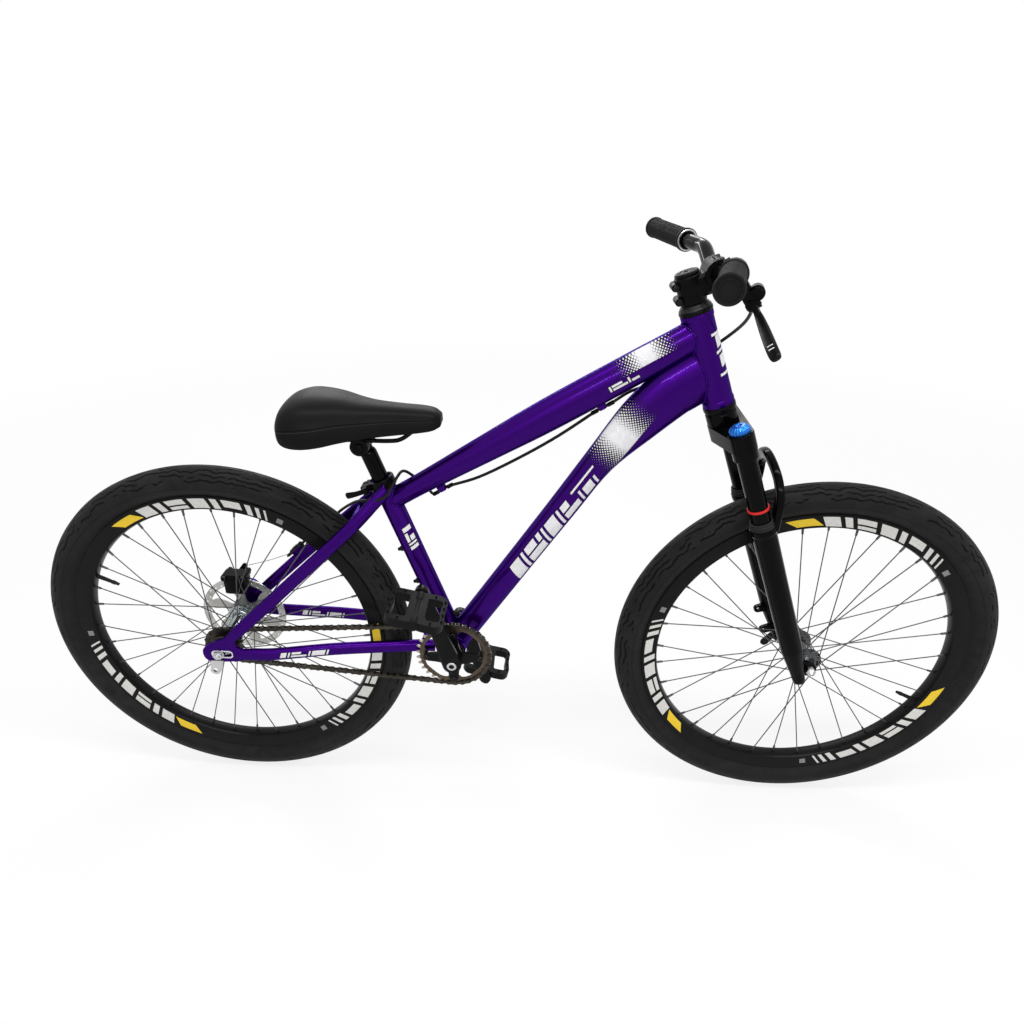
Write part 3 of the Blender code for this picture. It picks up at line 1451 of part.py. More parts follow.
leg_profile = [
    (0.0, SEAL_TOP),
    (0.0183, SEAL_TOP),
    (0.0183, SEAL_TOP - 0.010),
    (0.0205, SEAL_TOP - 0.012),
    (0.0182, BORE_FLOOR),
    (0.0123, 0.010),
    (0.0105, -0.014),
    (0.0, -0.014),
]
fork_lowers = turned("fork_lowers", leg_profile, right_leg, SMALL_ROUND, BLACK, loop=False)
join(fork_lowers, turned("lower_leg_left", leg_profile, left_leg, SMALL_ROUND, loop=False))
arch_half = [
    (0.305, 0.0280, 0.0625),
    (0.345, 0.0445, 0.0600),
    (0.385, 0.0530, 0.0420),
    (0.398, 0.0545, 0.0),
]
arch_full = arch_half + [(s, n, -y) for s, n, y in arch_half[-2::-1]]
arch_path = [steer(*row) for row in arch_full]
arch = oval_tube(
    "fork_arch",
    arch_path,
    [0.0110] * len(arch_path),
    [0.0070] * len(arch_path),
    across=AHEAD,
    sides=8,
)
join(fork_lowers, arch)
FORK_OLD_HALF = 0.0500
FORK_PLATE = 0.0065
AXLE_HOLE = AXLE_RADIUS + 0.0005
ear_outline = hull(
    circle(0.0120, 12, (FORK_OFFSET, 0.0))
    + circle(0.0095, 8, (0.0140, 0.020))
    + circle(0.0095, 8, (0.0130, -0.001))
)
for side, sign in (("right", -1), ("left", 1)):
    ear = plate(
        f"fork_ear_{side}",
        [ear_outline],
        FORK_PLATE,
        side_plane(steer(0, 0, sign * (FORK_OLD_HALF + FORK_PLATE / 2)), AHEAD),
    )
    join(fork_lowers, ear)
TAB_N = -0.0136
TAB_S = (0.0237, 0.0736)
TAB_Y = 0.0500
TAB_THICK = 0.0060
for k, s in enumerate(TAB_S):
    tab = plate(
        f"brake_tab_{k}",
        [hull(circle(0.0075, 10, (TAB_N, s)) + circle(0.0095, 8, (0.0110, s)))],
        TAB_THICK,
        side_plane(steer(0, 0, TAB_Y), AHEAD),
    )
    join(fork_lowers, tab)
for k, s in enumerate(TAB_S):
    hole = rod(
        f"tab_hole_{k}", steer(s, TAB_N, TAB_Y - 0.02), steer(s, TAB_N, TAB_Y + 0.02), 0.0031, sides=8
    )
    cut(fork_lowers, hole)
for side, sign in (("right", -1), ("left", 1)):
    bore = rod(
        f"lower_bore_{side}",
        steer(BORE_FLOOR, LEG_N, sign * LEG_Y),
        steer(SEAL_TOP + 0.06, LEG_N, sign * LEG_Y),
        LEG_BORE,
        sides=SMALL_ROUND,
    )
    cut(fork_lowers, bore)
axle_bore = rod(
    "fork_axle_bore",
    FRONT_AXLE - 0.0590 * LEFT,
    FRONT_AXLE + 0.0590 * LEFT,
    AXLE_HOLE,
    sides=SMALL_ROUND,
)
cut(fork_lowers, axle_bore)
ring_profile = [
    (0.0170, 0.3500),
    (0.0170, 0.3460),
    (STANCHION_RADIUS + GAP, 0.3460),
    (STANCHION_RADIUS + GAP, 0.3500),
]
fork_travel_ring = turned("fork_travel_ring", ring_profile, right_leg, SMALL_ROUND, RED)

# Front axle with its locknuts, the right nut and the left lever cap
FRONT_PLATE_OUTER = FORK_OLD_HALF + FORK_PLATE
LEVER_CAP = 0.0608
front_axle_profile = [
    (0.0, LEVER_CAP),
    (0.0090, LEVER_CAP),
    (0.0090, FRONT_PLATE_OUTER + GAP),
    (AXLE_RADIUS, FRONT_PLATE_OUTER + GAP),
    (AXLE_RADIUS, FORK_OLD_HALF - GAP),
    (0.0090, FORK_OLD_HALF - GAP),
    (0.0090, FRONT_HUB_END + GAP),
    (AXLE_RADIUS, FRONT_HUB_END + GAP),
    (AXLE_RADIUS, -FRONT_HUB_END - GAP),
    (0.0090, -FRONT_HUB_END - GAP),
    (0.0090, GAP - FORK_OLD_HALF),
    (AXLE_RADIUS, GAP - FORK_OLD_HALF),
    (AXLE_RADIUS, -FRONT_PLATE_OUTER - GAP),
    (0.0085, -FRONT_PLATE_OUTER - GAP),
    (0.0085, -0.0680),
    (0.0060, -0.0710),
    (0.0, -0.0710),
]
front_axle = turned(
    "front_axle", front_axle_profile, axle_line(FRONT_AXLE), TINY_ROUND, SILVER, loop=False
)
SKEWER_HEAD = 0.0075
skewer_along = Vector((-0.52, 0, -0.855)).normalized()
skewer_across = skewer_along.cross(LEFT)
SKEWER_PIVOT = FRONT_AXLE + (LEVER_CAP + GAP + SKEWER_HEAD) * LEFT
front_skewer_lever = rod(
    "front_skewer_lever",
    SKEWER_PIVOT - 0.006 * skewer_across,
    SKEWER_PIVOT + 0.006 * skewer_across,
    SKEWER_HEAD,
    SILVER,
    sides=SMALL_ROUND,
    across=LEFT,
)
skewer_path = []
for reach, rise in ((0.0, 0.0), (0.012, 0.008), (0.026, 0.0135), (0.068, 0.017)):
    skewer_path.append(SKEWER_PIVOT + reach * skewer_along + rise * LEFT)
skewer_blade = oval_tube(
    "skewer_blade",
    skewer_path,
    [0.0055, 0.0055, 0.0060, 0.0085],
    [0.0030, 0.0026, 0.0024, 0.0024],
    sides=10,
)
join(front_skewer_lever, skewer_blade)

# Headset, stem and handlebar
CUP_LOW = (RACE_TOP + GAP, HEAD_BOTTOM - GAP)
CUP_HIGH = (HEAD_TOP + GAP, 0.6600)
COVER = (0.6603, 0.6683)
STEM_LOW = 0.6686
STEM_HIGH = 0.7086
STEM_CLAMP = 0.0195
BAR_N = 0.0400
BAR_S = 0.6990
BAR_RADIUS = 0.0111
BAR_CENTRE_RADIUS = 0.0127
BAR_CLAMP_BORE = BAR_CENTRE_RADIUS + GAP
BAR_CLAMP_HALF = 0.0220


def collar(name, low, high, radius, look, chamfer=0.0008, top_radius=None):
    """A ring on the steerer between two heights."""
    upper = top_radius or radius
    profile = [
        (upper - chamfer, high),
        (upper, high - chamfer),
        (radius, low),
        (STEERER_BORE, low),
        (STEERER_BORE, high),
    ]
    return turned(name, profile, steering_line, ROUND, look)


headset_lower_cup = collar("headset_lower_cup", *CUP_LOW, 0.0248, BLACK)
headset_upper_cup = collar("headset_upper_cup", *CUP_HIGH, 0.0248, BLACK)
headset_cover = collar("headset_cover", *COVER, 0.0238, GREY, top_radius=0.0185)

bar_middle = steer(BAR_S, BAR_N)
stem = rod("stem", steer(STEM_LOW), steer(STEM_HIGH), STEM_CLAMP, BLACK, sides=ROUND)
extension = box(
    "stem_extension",
    (BAR_N, 0.0340, 0.0330),
    placed(steer((STEM_LOW + STEM_HIGH) / 2 + 0.002, BAR_N / 2), UP, AHEAD),
    bevel=0.004,
)
bar_clamp = rod(
    "bar_clamp",
    bar_middle - BAR_CLAMP_HALF * LEFT,
    bar_middle + BAR_CLAMP_HALF * LEFT,
    STEM_CLAMP,
    sides=ROUND,
)
join(stem, extension, bar_clamp)
for k, s in enumerate((STEM_LOW + 0.0095, STEM_HIGH - 0.0095)):
    boss = rod(
        f"stem_boss_{k}", steer(s, -0.0205, -0.013), steer(s, -0.0205, 0.013), 0.0058, sides=TINY_ROUND
    )
    join(stem, boss)
bar_bore = rod(
    "bar_bore", bar_middle - 0.03 * LEFT, bar_middle + 0.03 * LEFT, BAR_CLAMP_BORE, sides=ROUND
)
steerer_bore = rod("steerer_bore", steer(0.65), steer(0.73), STEERER_BORE, sides=ROUND)
HALF_BLOCK = (0.05, 0.08, 0.08)
half_reach = HALF_BLOCK[0] / 2 - GAP
front_half = box("front_half", HALF_BLOCK, placed(steer(BAR_S, BAR_N + half_reach), UP, AHEAD))
rear_half = box("rear_half", HALF_BLOCK, placed(steer(BAR_S, BAR_N - half_reach), UP, AHEAD))
cut(stem, bar_bore, steerer_bore, front_half)
stem_faceplate = rod(
    "stem_faceplate",
    bar_middle - BAR_CLAMP_HALF * LEFT,
    bar_middle + BAR_CLAMP_HALF * LEFT,
    STEM_CLAMP,
    BLACK,
    sides=ROUND,
)
cut(stem_faceplate, bar_bore, rear_half)
cap_low = STEM_HIGH + GAP
top_cap_profile = [
    (0.0, cap_low + 0.0052),
    (0.0150, cap_low + 0.0052),
    (0.0178, cap_low + 0.0035),
    (0.0178, cap_low),
    (0.0, cap_low),
]
stem_top_cap = turned("stem_top_cap", top_cap_profile, steering_line, ROUND, SATIN, loop=False)

# Handlebar: a riser bar, straight from 110 mm out to its ends
BAR_BEND = bar_middle + Vector((-0.0033, 0.110, 0.0203))
BAR_END = bar_middle + Vector((-0.0509, 0.285, 0.0273))
BAR_FLAT = 0.0350
bar_half = [
    (bar_middle.x, 0.0, bar_middle.z, 1.144),
    (bar_middle.x, 0.024, bar_middle.z, 1.144),
    (bar_middle.x, BAR_FLAT, bar_middle.z + 0.0003, 1.03),
    (bar_middle.x - 0.0005, 0.052, bar_middle.z + 0.0040, 1.0),
    (bar_middle.x - 0.0012, 0.088, bar_middle.z + 0.0170, 1.0),
    (BAR_BEND.x, BAR_BEND.y, BAR_BEND.z, 1.0),
]
bar_rows = [bar_half[0], bar_half[1]] + [tuple(row) for row in through(bar_half[2:], 2)]
bar_rows.append((BAR_END.x, BAR_END.y, BAR_END.z, 1.0))
bar_rows = [(x, -y, z, f) for x, y, z, f in bar_rows[:0:-1]] + bar_rows
handlebar = tube(
    "handlebar",
    [Vector(row[:3]) for row in bar_rows],
    BAR_RADIUS,
    BLACK,
    sides=TINY_ROUND,
    factors=[float(row[3]) for row in bar_rows],
)
GRIP_LENGTH = 0.1300
GRIP_RADIUS = 0.0160
GRIP_BORE = BAR_RADIUS + GAP
bar_ends = {}
grips = {}
for side, sign in (("right", -1), ("left", 1)):
    bend = Vector((BAR_BEND.x, sign * BAR_BEND.y, BAR_BEND.z))
    end = Vector((BAR_END.x, sign * BAR_END.y, BAR_END.z))
    out = (end - bend).normalized()
    bar_ends[side] = (bend, end, out)
    grip_profile = [
        (0.0, 0.0040),
        (0.0150, 0.0040),
        (0.0172, 0.0010),
        (GRIP_RADIUS, -0.0030),
        (GRIP_RADIUS, -GRIP_LENGTH + 0.0070),
        (0.0180, -GRIP_LENGTH + 0.0050),
        (0.0180, -GRIP_LENGTH),
        (GRIP_BORE, -GRIP_LENGTH),
        (GRIP_BORE, GAP),
        (0.0, GAP),
    ]
    grips[side] = turned(
        f"grip_{side}", grip_profile, placed(end, out), SMALL_ROUND, RUBBER, loop=False
    )

# Brake lever on the right side: a clamp, a short arm and the blade
LEVER_OUT = 0.140
LEVER_DROP = math.radians(51)
LEVER_PIVOT_E = 0.0450
LEVER_PIVOT_B = 0.0060
LEVER_ARM_THICK = 0.0160
bend, end, bar_out = bar_ends["right"]
lever_middle = bend + bar_out * ((LEVER_OUT - BAR_BEND.y) / abs(bar_out.y))
drop = Vector((math.cos(LEVER_DROP), 0, -math.sin(LEVER_DROP)))
drop = (drop - drop.dot(bar_out) * bar_out).normalized()
lever_thick = drop.cross(bar_out)


def lever_at(e, b, w=0.0):
    """A place e out from the bar, b along it and w across the brake lever."""
    return lever_middle + e * drop + b * bar_out + w * lever_thick


lever_plane = placed(lever_middle, lever_thick, drop)
brake_lever_body = rod(
    "brake_lever_body", lever_at(0, -0.011), lever_at(0, 0.011), 0.0165, SATIN, sides=SMALL_ROUND
)
lever_arm = plate(
    "lever_arm",
    [hull(circle(0.0080, 8, (0.012, 0.0)) + circle(0.0075, 10, (LEVER_PIVOT_E, LEVER_PIVOT_B)))],
    LEVER_ARM_THICK,
    lever_plane,
)
HOOD_E = 0.0350
HOOD_W = -0.0105
HOOD_BORE_END = -0.0040
hood = rod(
    "lever_hood",
    lever_at(HOOD_E, -0.016, HOOD_W),
    lever_at(HOOD_E, 0.010, HOOD_W),
    0.0090,
    sides=TINY_ROUND,
)
join(brake_lever_body, lever_arm, hood)
CLEVIS_HALF = 0.0041
clevis = plate(
    "lever_clevis",
    [hull(circle(0.0105, 14, (LEVER_PIVOT_E, LEVER_PIVOT_B)) + [(0.0620, 0.030), (0.0620, -0.010)])],
    2 * CLEVIS_HALF,
    lever_plane,
)
lever_pin = rod(
    "lever_pin",
    lever_at(LEVER_PIVOT_E, LEVER_PIVOT_B, -0.0070),
    lever_at(LEVER_PIVOT_E, LEVER_PIVOT_B, 0.0070),
    0.0022,
    sides=TINY_ROUND,
)
bar_hole = rod("lever_bar_hole", lever_at(0, -0.03), lever_at(0, 0.03), GRIP_BORE, sides=SMALL_ROUND)
hood_hole = rod(
    "lever_hood_hole",
    lever_at(HOOD_E, -0.03, HOOD_W),
    lever_at(HOOD_E, HOOD_BORE_END, HOOD_W),
    CABLE_BORE,
    sides=TINY_ROUND,
)
cut(brake_lever_body, clevis, bar_hole, hood_hole)
join(brake_lever_body, lever_pin)
blade_width = 0.0072
brake_lever_blade = plate(
    "brake_lever_blade",
    [
        hull(circle(0.0090, 14, (LEVER_PIVOT_E, LEVER_PIVOT_B)) + circle(0.0055, 8, (0.0560, 0.0200))),
    ],
    blade_width,
    lever_plane,
    SATIN,
)
BLADE_LINE = [
    (0.0510, 0.0125),
    (0.0600, 0.0270),
    (0.0700, 0.0500),
    (0.0800, 0.0750),
    (0.0885, 0.0950),
    (0.0980, 0.1070),
]
blade_path = [lever_at(e, b) for e, b in BLADE_LINE]
blade_bar = oval_tube(
    "blade_bar",
    blade_path,
    [0.0030, 0.0032, 0.0030, 0.0030, 0.0032, 0.0040],
    [0.0034, 0.0050, 0.0062, 0.0066, 0.0068, 0.0060],
    across=lever_thick,
    sides=10,
)
pin_hole = rod(
    "blade_pin_hole",
    lever_at(LEVER_PIVOT_E, LEVER_PIVOT_B, -0.02),
    lever_at(LEVER_PIVOT_E, LEVER_PIVOT_B, 0.02),
    0.0022 + GAP,
    sides=SMALL_ROUND,
)
join(brake_lever_blade, blade_bar)
cut(brake_lever_blade, pin_hole)

# Brake cable: the housing from the lever to its barrel, then the bare wire to the caliper arm
WIRE_SHARE = 0.34


def straight_through(middle, along):
    """Four points that keep the housing straight inside a guide."""
    return [tuple(middle + reach * along) for reach in (0.0140, 0.0060, -0.0060, -0.0140)]


hood_start = lever_at(HOOD_E, HOOD_BORE_END - 0.0020, HOOD_W)
hood_exit = lever_at(HOOD_E, -0.0300, HOOD_W)
housing_points = [
    tuple(hood_start),
    tuple(hood_start.lerp(hood_exit, 0.5)),
    tuple(hood_exit),
    *[
        tuple(at(x, z, y))
        for x, y, z in (
            (0.838, -0.080, 0.627),
            (0.845, -0.030, 0.595),
            (0.839, 0.020, 0.563),
            (0.815, 0.045, 0.533),
            (0.775, 0.048, 0.505),
            (0.730, 0.036, 0.48),
            (0.700, 0.031, 0.4685),
            (0.678, 0.013, 0.4605),
        )
    ],
    *straight_through(GUIDES[0], top_along),
    tuple(at(0.590, 0.4035)),
    tuple(at(0.530, 0.365)),
    tuple(at(0.465, 0.329)),
    *straight_through(GUIDES[1], top_along),
    *[
        tuple(at(x, z, y))
        for x, y, z in (
            (0.384, 0.010, 0.2915),
            (0.370, 0.025, 0.298),
            (0.352, 0.024, 0.315),
            (0.338, 0.010, 0.331),
            (0.331, -0.012, 0.329),
            (0.318, -0.032, 0.307),
            (0.298, -0.034, 0.297),
            (0.283, -0.027, 0.293),
            (0.267, -0.011, 0.284),
            (0.250, 0.007, 0.271),
            (0.220, 0.033, 0.243),
            (0.184, 0.050, 0.206),
        )
    ],
    tuple(BARREL_FRONT - 0.015 * barrel_along),
    tuple(BARREL_FRONT - 0.006 * barrel_along),
    tuple(BARREL_FRONT + 0.006 * barrel_along),
    tuple(BARREL_BACK - 0.004 * barrel_along),
]


def thinned(places, slack=0.00005):
    """The places without those that stand on the straight line between their neighbours."""
    kept = [places[0]]
    for place, following in zip(places[1:], places[2:]):
        along = (following - kept[-1]).normalized()
        offset = place - kept[-1]
        if (offset - offset.dot(along) * along).length > slack:
            kept.append(place)
    return kept + [places[-1]]


housing_run = thinned([Vector(row) for row in through(housing_points, 2)])
arm_tip = CALIPER_PIVOT + Vector((CALIPER_TIP[0], 0, CALIPER_TIP[1]))
wire_end = arm_tip + Vector((0.0080, arm_inner + ARM_THICK / 2, 0.0015))
wire_start = BARREL_BACK + 0.002 * barrel_along
wire_run = [wire_start, wire_start.lerp(wire_end, 0.5) + Vector((0, 0, -0.002)), wire_end]
brake_housing = tube(
    "brake_housing",
    housing_run + wire_run,
    CABLE_RADIUS,
    RUBBER,
    sides=6,
    factors=[1.0] * len(housing_run) + [WIRE_SHARE] * len(wire_run),
)

# Joints: each empty stands on the axis of the pieces that it carries
steering = joint("axis_steering", steer(0.55))
carry(
    steering,
    headset_cover,
    stem,
    stem_faceplate,
    stem_top_cap,
    handlebar,
    grips["right"],
    grips["left"],
    brake_lever_body,
    fork_crown,
    fork_stanchion_right,
    fork_stanchion_left,
)
carry(joint("axis_brake_lever", lever_at(LEVER_PIVOT_E, LEVER_PIVOT_B), steering), brake_lever_blade)
carry(joint("axis_fork_knob", steer(CAP_TOP, LEG_N, -LEG_Y), steering), fork_knob)
carry(joint("axis_travel_ring", steer(0.348, LEG_N, -LEG_Y), steering), fork_travel_ring)
lowers = joint("axis_fork_travel", steer(SEAL_TOP, LEG_N), steering)
carry(lowers, fork_lowers, front_axle)
carry(joint("axis_skewer_lever", SKEWER_PIVOT, lowers), front_skewer_lever)
front_wheel = joint("axis_front_wheel", FRONT_AXLE, lowers)
carry(
    front_wheel, front_hub_shell, front_rim, front_spokes_right, front_spokes_left, front_tyre
)
rear_wheel = joint("axis_rear_wheel", REAR_AXLE)
carry(
    rear_wheel,
    rear_hub_shell,
    rear_rim,
    rear_spokes_right,
    rear_spokes_left,
    rear_tyre,
    brake_rotor,
)
carry(joint("axis_freewheel", REAR_AXLE), freewheel)
crank_axis = joint("axis_crank", BB)
carry(crank_axis, crank_spindle, cranks["right"], cranks["left"], chainring)
for side in ("right", "left"):
    carry(joint(f"axis_pedal_{side}", pedal_places[side], crank_axis), pedals[side])
post_axis = joint("axis_seatpost", seat(SEAT_TUBE_TOP))
carry(post_axis, seatpost)
carry(joint("axis_saddle", SADDLE_AXIS, post_axis), saddle_clamp, saddle_base, saddle_cover)
carry(joint("axis_seat_clamp_lever", LEVER_PIVOT), seat_clamp_lever)
carry(joint("axis_caliper_arm", CALIPER_PIVOT), caliper_arm)
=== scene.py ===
"""Freeride bicycle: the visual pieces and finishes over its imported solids.

Metres, +Z up, +X ahead and +Y to the rider's left, as in the solids. Most surfaces are grids of
points worked out with numpy, and each stands where the solid that it replaces stands.
"""

import math

import bmesh
import bpy
import numpy as np
from mathutils import Matrix
from mathutils.geometry import convex_hull_2d


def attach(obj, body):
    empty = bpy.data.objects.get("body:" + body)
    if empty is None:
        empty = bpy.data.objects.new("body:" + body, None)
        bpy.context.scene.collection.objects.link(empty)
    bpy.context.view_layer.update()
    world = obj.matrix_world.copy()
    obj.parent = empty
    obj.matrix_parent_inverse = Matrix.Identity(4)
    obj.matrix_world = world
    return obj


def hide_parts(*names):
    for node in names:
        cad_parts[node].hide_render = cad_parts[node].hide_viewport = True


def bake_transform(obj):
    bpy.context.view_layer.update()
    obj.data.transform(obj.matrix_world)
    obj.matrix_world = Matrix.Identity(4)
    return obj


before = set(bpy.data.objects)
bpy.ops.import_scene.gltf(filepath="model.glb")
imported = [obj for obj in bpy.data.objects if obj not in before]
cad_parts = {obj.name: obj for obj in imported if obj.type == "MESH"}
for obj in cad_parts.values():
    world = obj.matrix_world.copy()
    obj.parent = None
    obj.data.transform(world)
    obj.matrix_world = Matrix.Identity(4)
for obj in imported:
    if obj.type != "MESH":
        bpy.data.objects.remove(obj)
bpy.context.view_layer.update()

# Studio: a pale floor under three long soft lamps, and a camera high on the bicycle's right side.
# The backdrop is white to the camera and in reflections, and the floor keeps the soft shadow.


class Wire:
    """One output of a node. Arithmetic between wires and numbers adds Math nodes."""

    def __init__(self, graph, socket):
        self.graph, self.socket = graph, socket

    def __add__(self, other):
        return self.graph.sum("ADD", self, other)

    def __sub__(self, other):
        return self.graph.sum("SUBTRACT", self, other)

    def __rsub__(self, other):
        return self.graph.sum("SUBTRACT", other, self)

    def __mul__(self, other):
        return self.graph.sum("MULTIPLY", self, other)

    def __truediv__(self, other):
        return self.graph.sum("DIVIDE", self, other)

    def __mod__(self, other):
        return self.graph.sum("FLOORED_MODULO", self, other)

    def __abs__(self):
        return self.graph.sum("ABSOLUTE", self)

    __radd__ = __add__
    __rmul__ = __mul__


class Graph:
    """A node tree written as expressions: each method adds nodes and gives an output of them."""

    def __init__(self, tree):
        self.tree = tree

    def node(self, kind, inputs, output=0, **settings):
        """A node of a kind: its settings first, then the values or wires of its inputs."""
        made = self.tree.nodes.new("ShaderNode" + kind)
        for key, value in settings.items():
            setattr(made, key, value)
        for key, value in inputs.items():
            if isinstance(value, Wire):
                self.tree.links.new(value.socket, made.inputs[key])
            else:
                made.inputs[key].default_value = value
        return Wire(self, made.outputs[output])

    def sum(self, operation, a, b=0.0):
        """One Math node on wires or numbers."""
        return self.node("Math", {0: a, 1: b}, operation=operation)

    def most(self, a, b):
        """The greater of two values."""
        return self.sum("MAXIMUM", a, b)

    def least(self, first, *others):
        """The least of several values."""
        for other in others:
            first = self.sum("MINIMUM", first, other)
        return first

    def rays(self):
        """1 for a ray from the camera, one through glass and a reflected one, as three wires."""
        outputs = self.tree.nodes.new("ShaderNodeLightPath").outputs
        kinds = ("Camera", "Transmission", "Glossy")
        return [Wire(self, outputs[f"Is {kind} Ray"]) for kind in kinds]


def shade(colour):
    """A grey level or a colour as red, green, blue and an alpha of 1."""
    return (*np.broadcast_to(colour, 3).tolist(), 1.0)


class Finish(Graph):
    """A material for one slot of the record: its uniform numbers are set, its wires are fed."""

    def __init__(self, name, colour, roughness, metallic=0.0, slot=None, **uniform):
        self.material = bpy.data.materials.new(name)
        self.material.use_nodes = True
        super().__init__(self.material.node_tree)
        self.slot = slot or name
        self.shader = self.tree.nodes["Principled BSDF"]
        self.place = self.node("TexCoord", {}, 3)
        start = {"Base_Color": shade(colour), "Roughness": roughness, "Metallic": metallic}
        for key, value in {**start, **uniform}.items():
            self.shader.inputs[key.replace("_", " ")].default_value = value

    def feed(self, **wires):
        """Links wires to the shader's sockets, their spaces written as underscores."""
        for key, wire in wires.items():
            self.tree.links.new(wire.socket, self.shader.inputs[key.replace("_", " ")])

    def mix(self, share, a, b):
        """Colour a where share is 0 and colour b where it is 1."""
        a, b = (colour if isinstance(colour, Wire) else shade(colour) for colour in (a, b))
        return self.node("Mix", {0: share, 6: a, 7: b}, 2, data_type="RGBA")

    def over(self, value, soft):
        """1 where value is above zero and 0 below, with a soft edge that wide on either side."""
        return self.node("MapRange", {0: value, 1: -soft, 2: soft})

    def noise(self, scale, detail=2.0, place=None, stretch=(1, 1, 1)):
        """Fractal noise from 0 to 1, scale lumps a metre, narrower along a stretched axis."""
        at = self.node("Mapping", {"Vector": place or self.place, "Scale": stretch})
        return self.node("TexNoise", {"Vector": at, "Scale": scale, "Detail": detail})

    def along(self, origin, axis):
        """The distance in metres along an axis from an origin, over the piece's own place."""
        axis = np.array(axis, float)
        reach = self.node(
            "VectorMath", {0: self.place, 1: tuple(axis)}, 1, operation="DOT_PRODUCT"
        )
        return reach - float(axis @ np.array(origin, float))

    def around(self, centre):
        """How far ahead of a wheel's or sprocket's centre, above it and away from it."""
        ahead, above = self.along(centre, (1, 0, 0)), self.along(centre, (0, 0, 1))
        return ahead, above, self.sum("SQRT", ahead * ahead + above * above)

    def bump(self, height, depth, strength=1.0, under=None):
        """Relief of a height from 0 to 1, depth metres deep, over the relief under it."""
        fed = {"Height": height, "Distance": depth, "Strength": strength}
        return self.node("Bump", {**fed, "Normal": under} if under else fed)


def placed(made, x, y, z, place):
    """Puts an object at a place with its own axes along x, y and z."""
    turn = np.eye(4)
    turn[:3] = np.stack([x, y, z, place], 1)
    made.matrix_world = Matrix(turn.tolist())
    bpy.context.scene.collection.objects.link(made)
    return made


def unit(vector):
    """A vector, or each row of an array, brought to a length of one."""
    return vector / np.linalg.norm(vector, axis=-1, keepdims=True)


for name, place, aim, wide, deep, power in (
    ("overhead_softbox", (0.2, -0.5, 2.6), (0, 0, 0.5), 2.6, 0.24, 38),
    ("right_softbox", (0.3, -2.6, 1.7), (0, 0, 0.6), 2.4, 0.16, 24),
    ("left_softbox", (-0.4, 2.4, 1.9), (0, 0, 0.5), 2.2, 0.20, 20),
):
    light = bpy.data.lights.new(name, "AREA")
    light.shape, light.size, light.size_y, light.energy = "RECTANGLE", wide, deep, power
    back = unit(np.array(place) - aim)
    across = unit(np.cross((0, 1, 0) if abs(back[1]) < 0.9 else (0, 0, 1), back))
    placed(bpy.data.objects.new(name, light), across, np.cross(back, across), back, place)

world = bpy.data.worlds.new("studio")
bpy.context.scene.world = world
world.use_nodes = True
sky = Graph(world.node_tree)
camera_ray, clear_ray, glossy_ray = sky.rays()
backdrop = sky.most(camera_ray, sky.most(clear_ray, glossy_ray))
background = sky.tree.nodes["Background"].inputs
level = sky.node("MapRange", {0: backdrop, 3: 0.7, 4: 1.0})
sky.tree.links.new(level.socket, background["Strength"])
background["Color"].default_value = (1, 1, 1, 1)

floor_mesh = bpy.data.meshes.new("studio_floor")
floor_mesh.from_pydata([(-9, -9, 0), (9, -9, 0), (9, 9, 0), (-9, 9, 0)], [], [(0, 1, 2, 3)])
floor = bpy.data.objects.new("studio_floor", floor_mesh)
bpy.context.scene.collection.objects.link(floor)
paper = Finish("studio_paper", 0.80, 0.9, Specular_IOR_Level=0.0)
camera_ray, clear_ray, glossy_ray = paper.rays()
glow = paper.node("Emission", {"Color": (1, 1, 1, 1), "Strength": 1.0})
reach = paper.node("VectorMath", {0: paper.place}, 1, operation="LENGTH")
far = paper.node("MapRange", {0: reach, 1: 1.3, 2: 3.6, 3: 0.80, 4: 1.0})
share = paper.most(paper.most(camera_ray, clear_ray) * far, glossy_ray * 0.45)
shown = paper.node("MixShader", {0: share, 1: Wire(paper, paper.shader.outputs[0]), 2: glow})
paper.tree.links.new(shown.socket, paper.tree.nodes["Material Output"].inputs[0])
floor_mesh.materials.append(paper.material)

CAMERA_PLACE = np.array((0.0387, -1.0419, 1.1532))
CAMERA_AIM = np.array((-0.0040, 0.0, 0.6003))
CAMERA_ROLL = 0.0099
camera_data = bpy.data.cameras.new("photo_camera")
camera_data.lens, camera_data.sensor_width, camera_data.clip_start = 24.785, 36.0, 0.01
forward = unit(CAMERA_AIM - CAMERA_PLACE)
level_right = unit(np.cross(forward, (0, 0, 1)))
level_down = np.cross(forward, level_right)
right = math.cos(CAMERA_ROLL) * level_right - math.sin(CAMERA_ROLL) * level_down
down = math.sin(CAMERA_ROLL) * level_right + math.cos(CAMERA_ROLL) * level_down
camera = bpy.data.objects.new("photo_camera", camera_data)
bpy.context.scene.camera = placed(camera, right, -down, -forward, CAMERA_PLACE)
bpy.context.scene.view_settings.view_transform = "Standard"

# Tyres: 26 inch black rubber, moulded, with a plain band beside the rim and, from the shoulders
# up, shallow wavy grooves that run round in long broken strokes. Each sits over its rim's walls.

TYRE_RADIUS = 0.335
AXLES = {
    "front": np.array((0.5225, 0.0, TYRE_RADIUS)),
    "rear": np.array((-0.5225, 0.0, TYRE_RADIUS)),
}
REAR_AXLE, FRONT_AXLE = AXLES["rear"], AXLES["front"]
AHEAD_X, LEFT, UP_Z = np.eye(3)


def mm(*rows):
    """Rows of numbers in millimetres, as an array in metres."""
    return np.array(rows, float) / 1000


def ring(*rows):
    """A closed profile: rows in millimetres, and the first one again at the end."""
    return mm(*rows, rows[0])


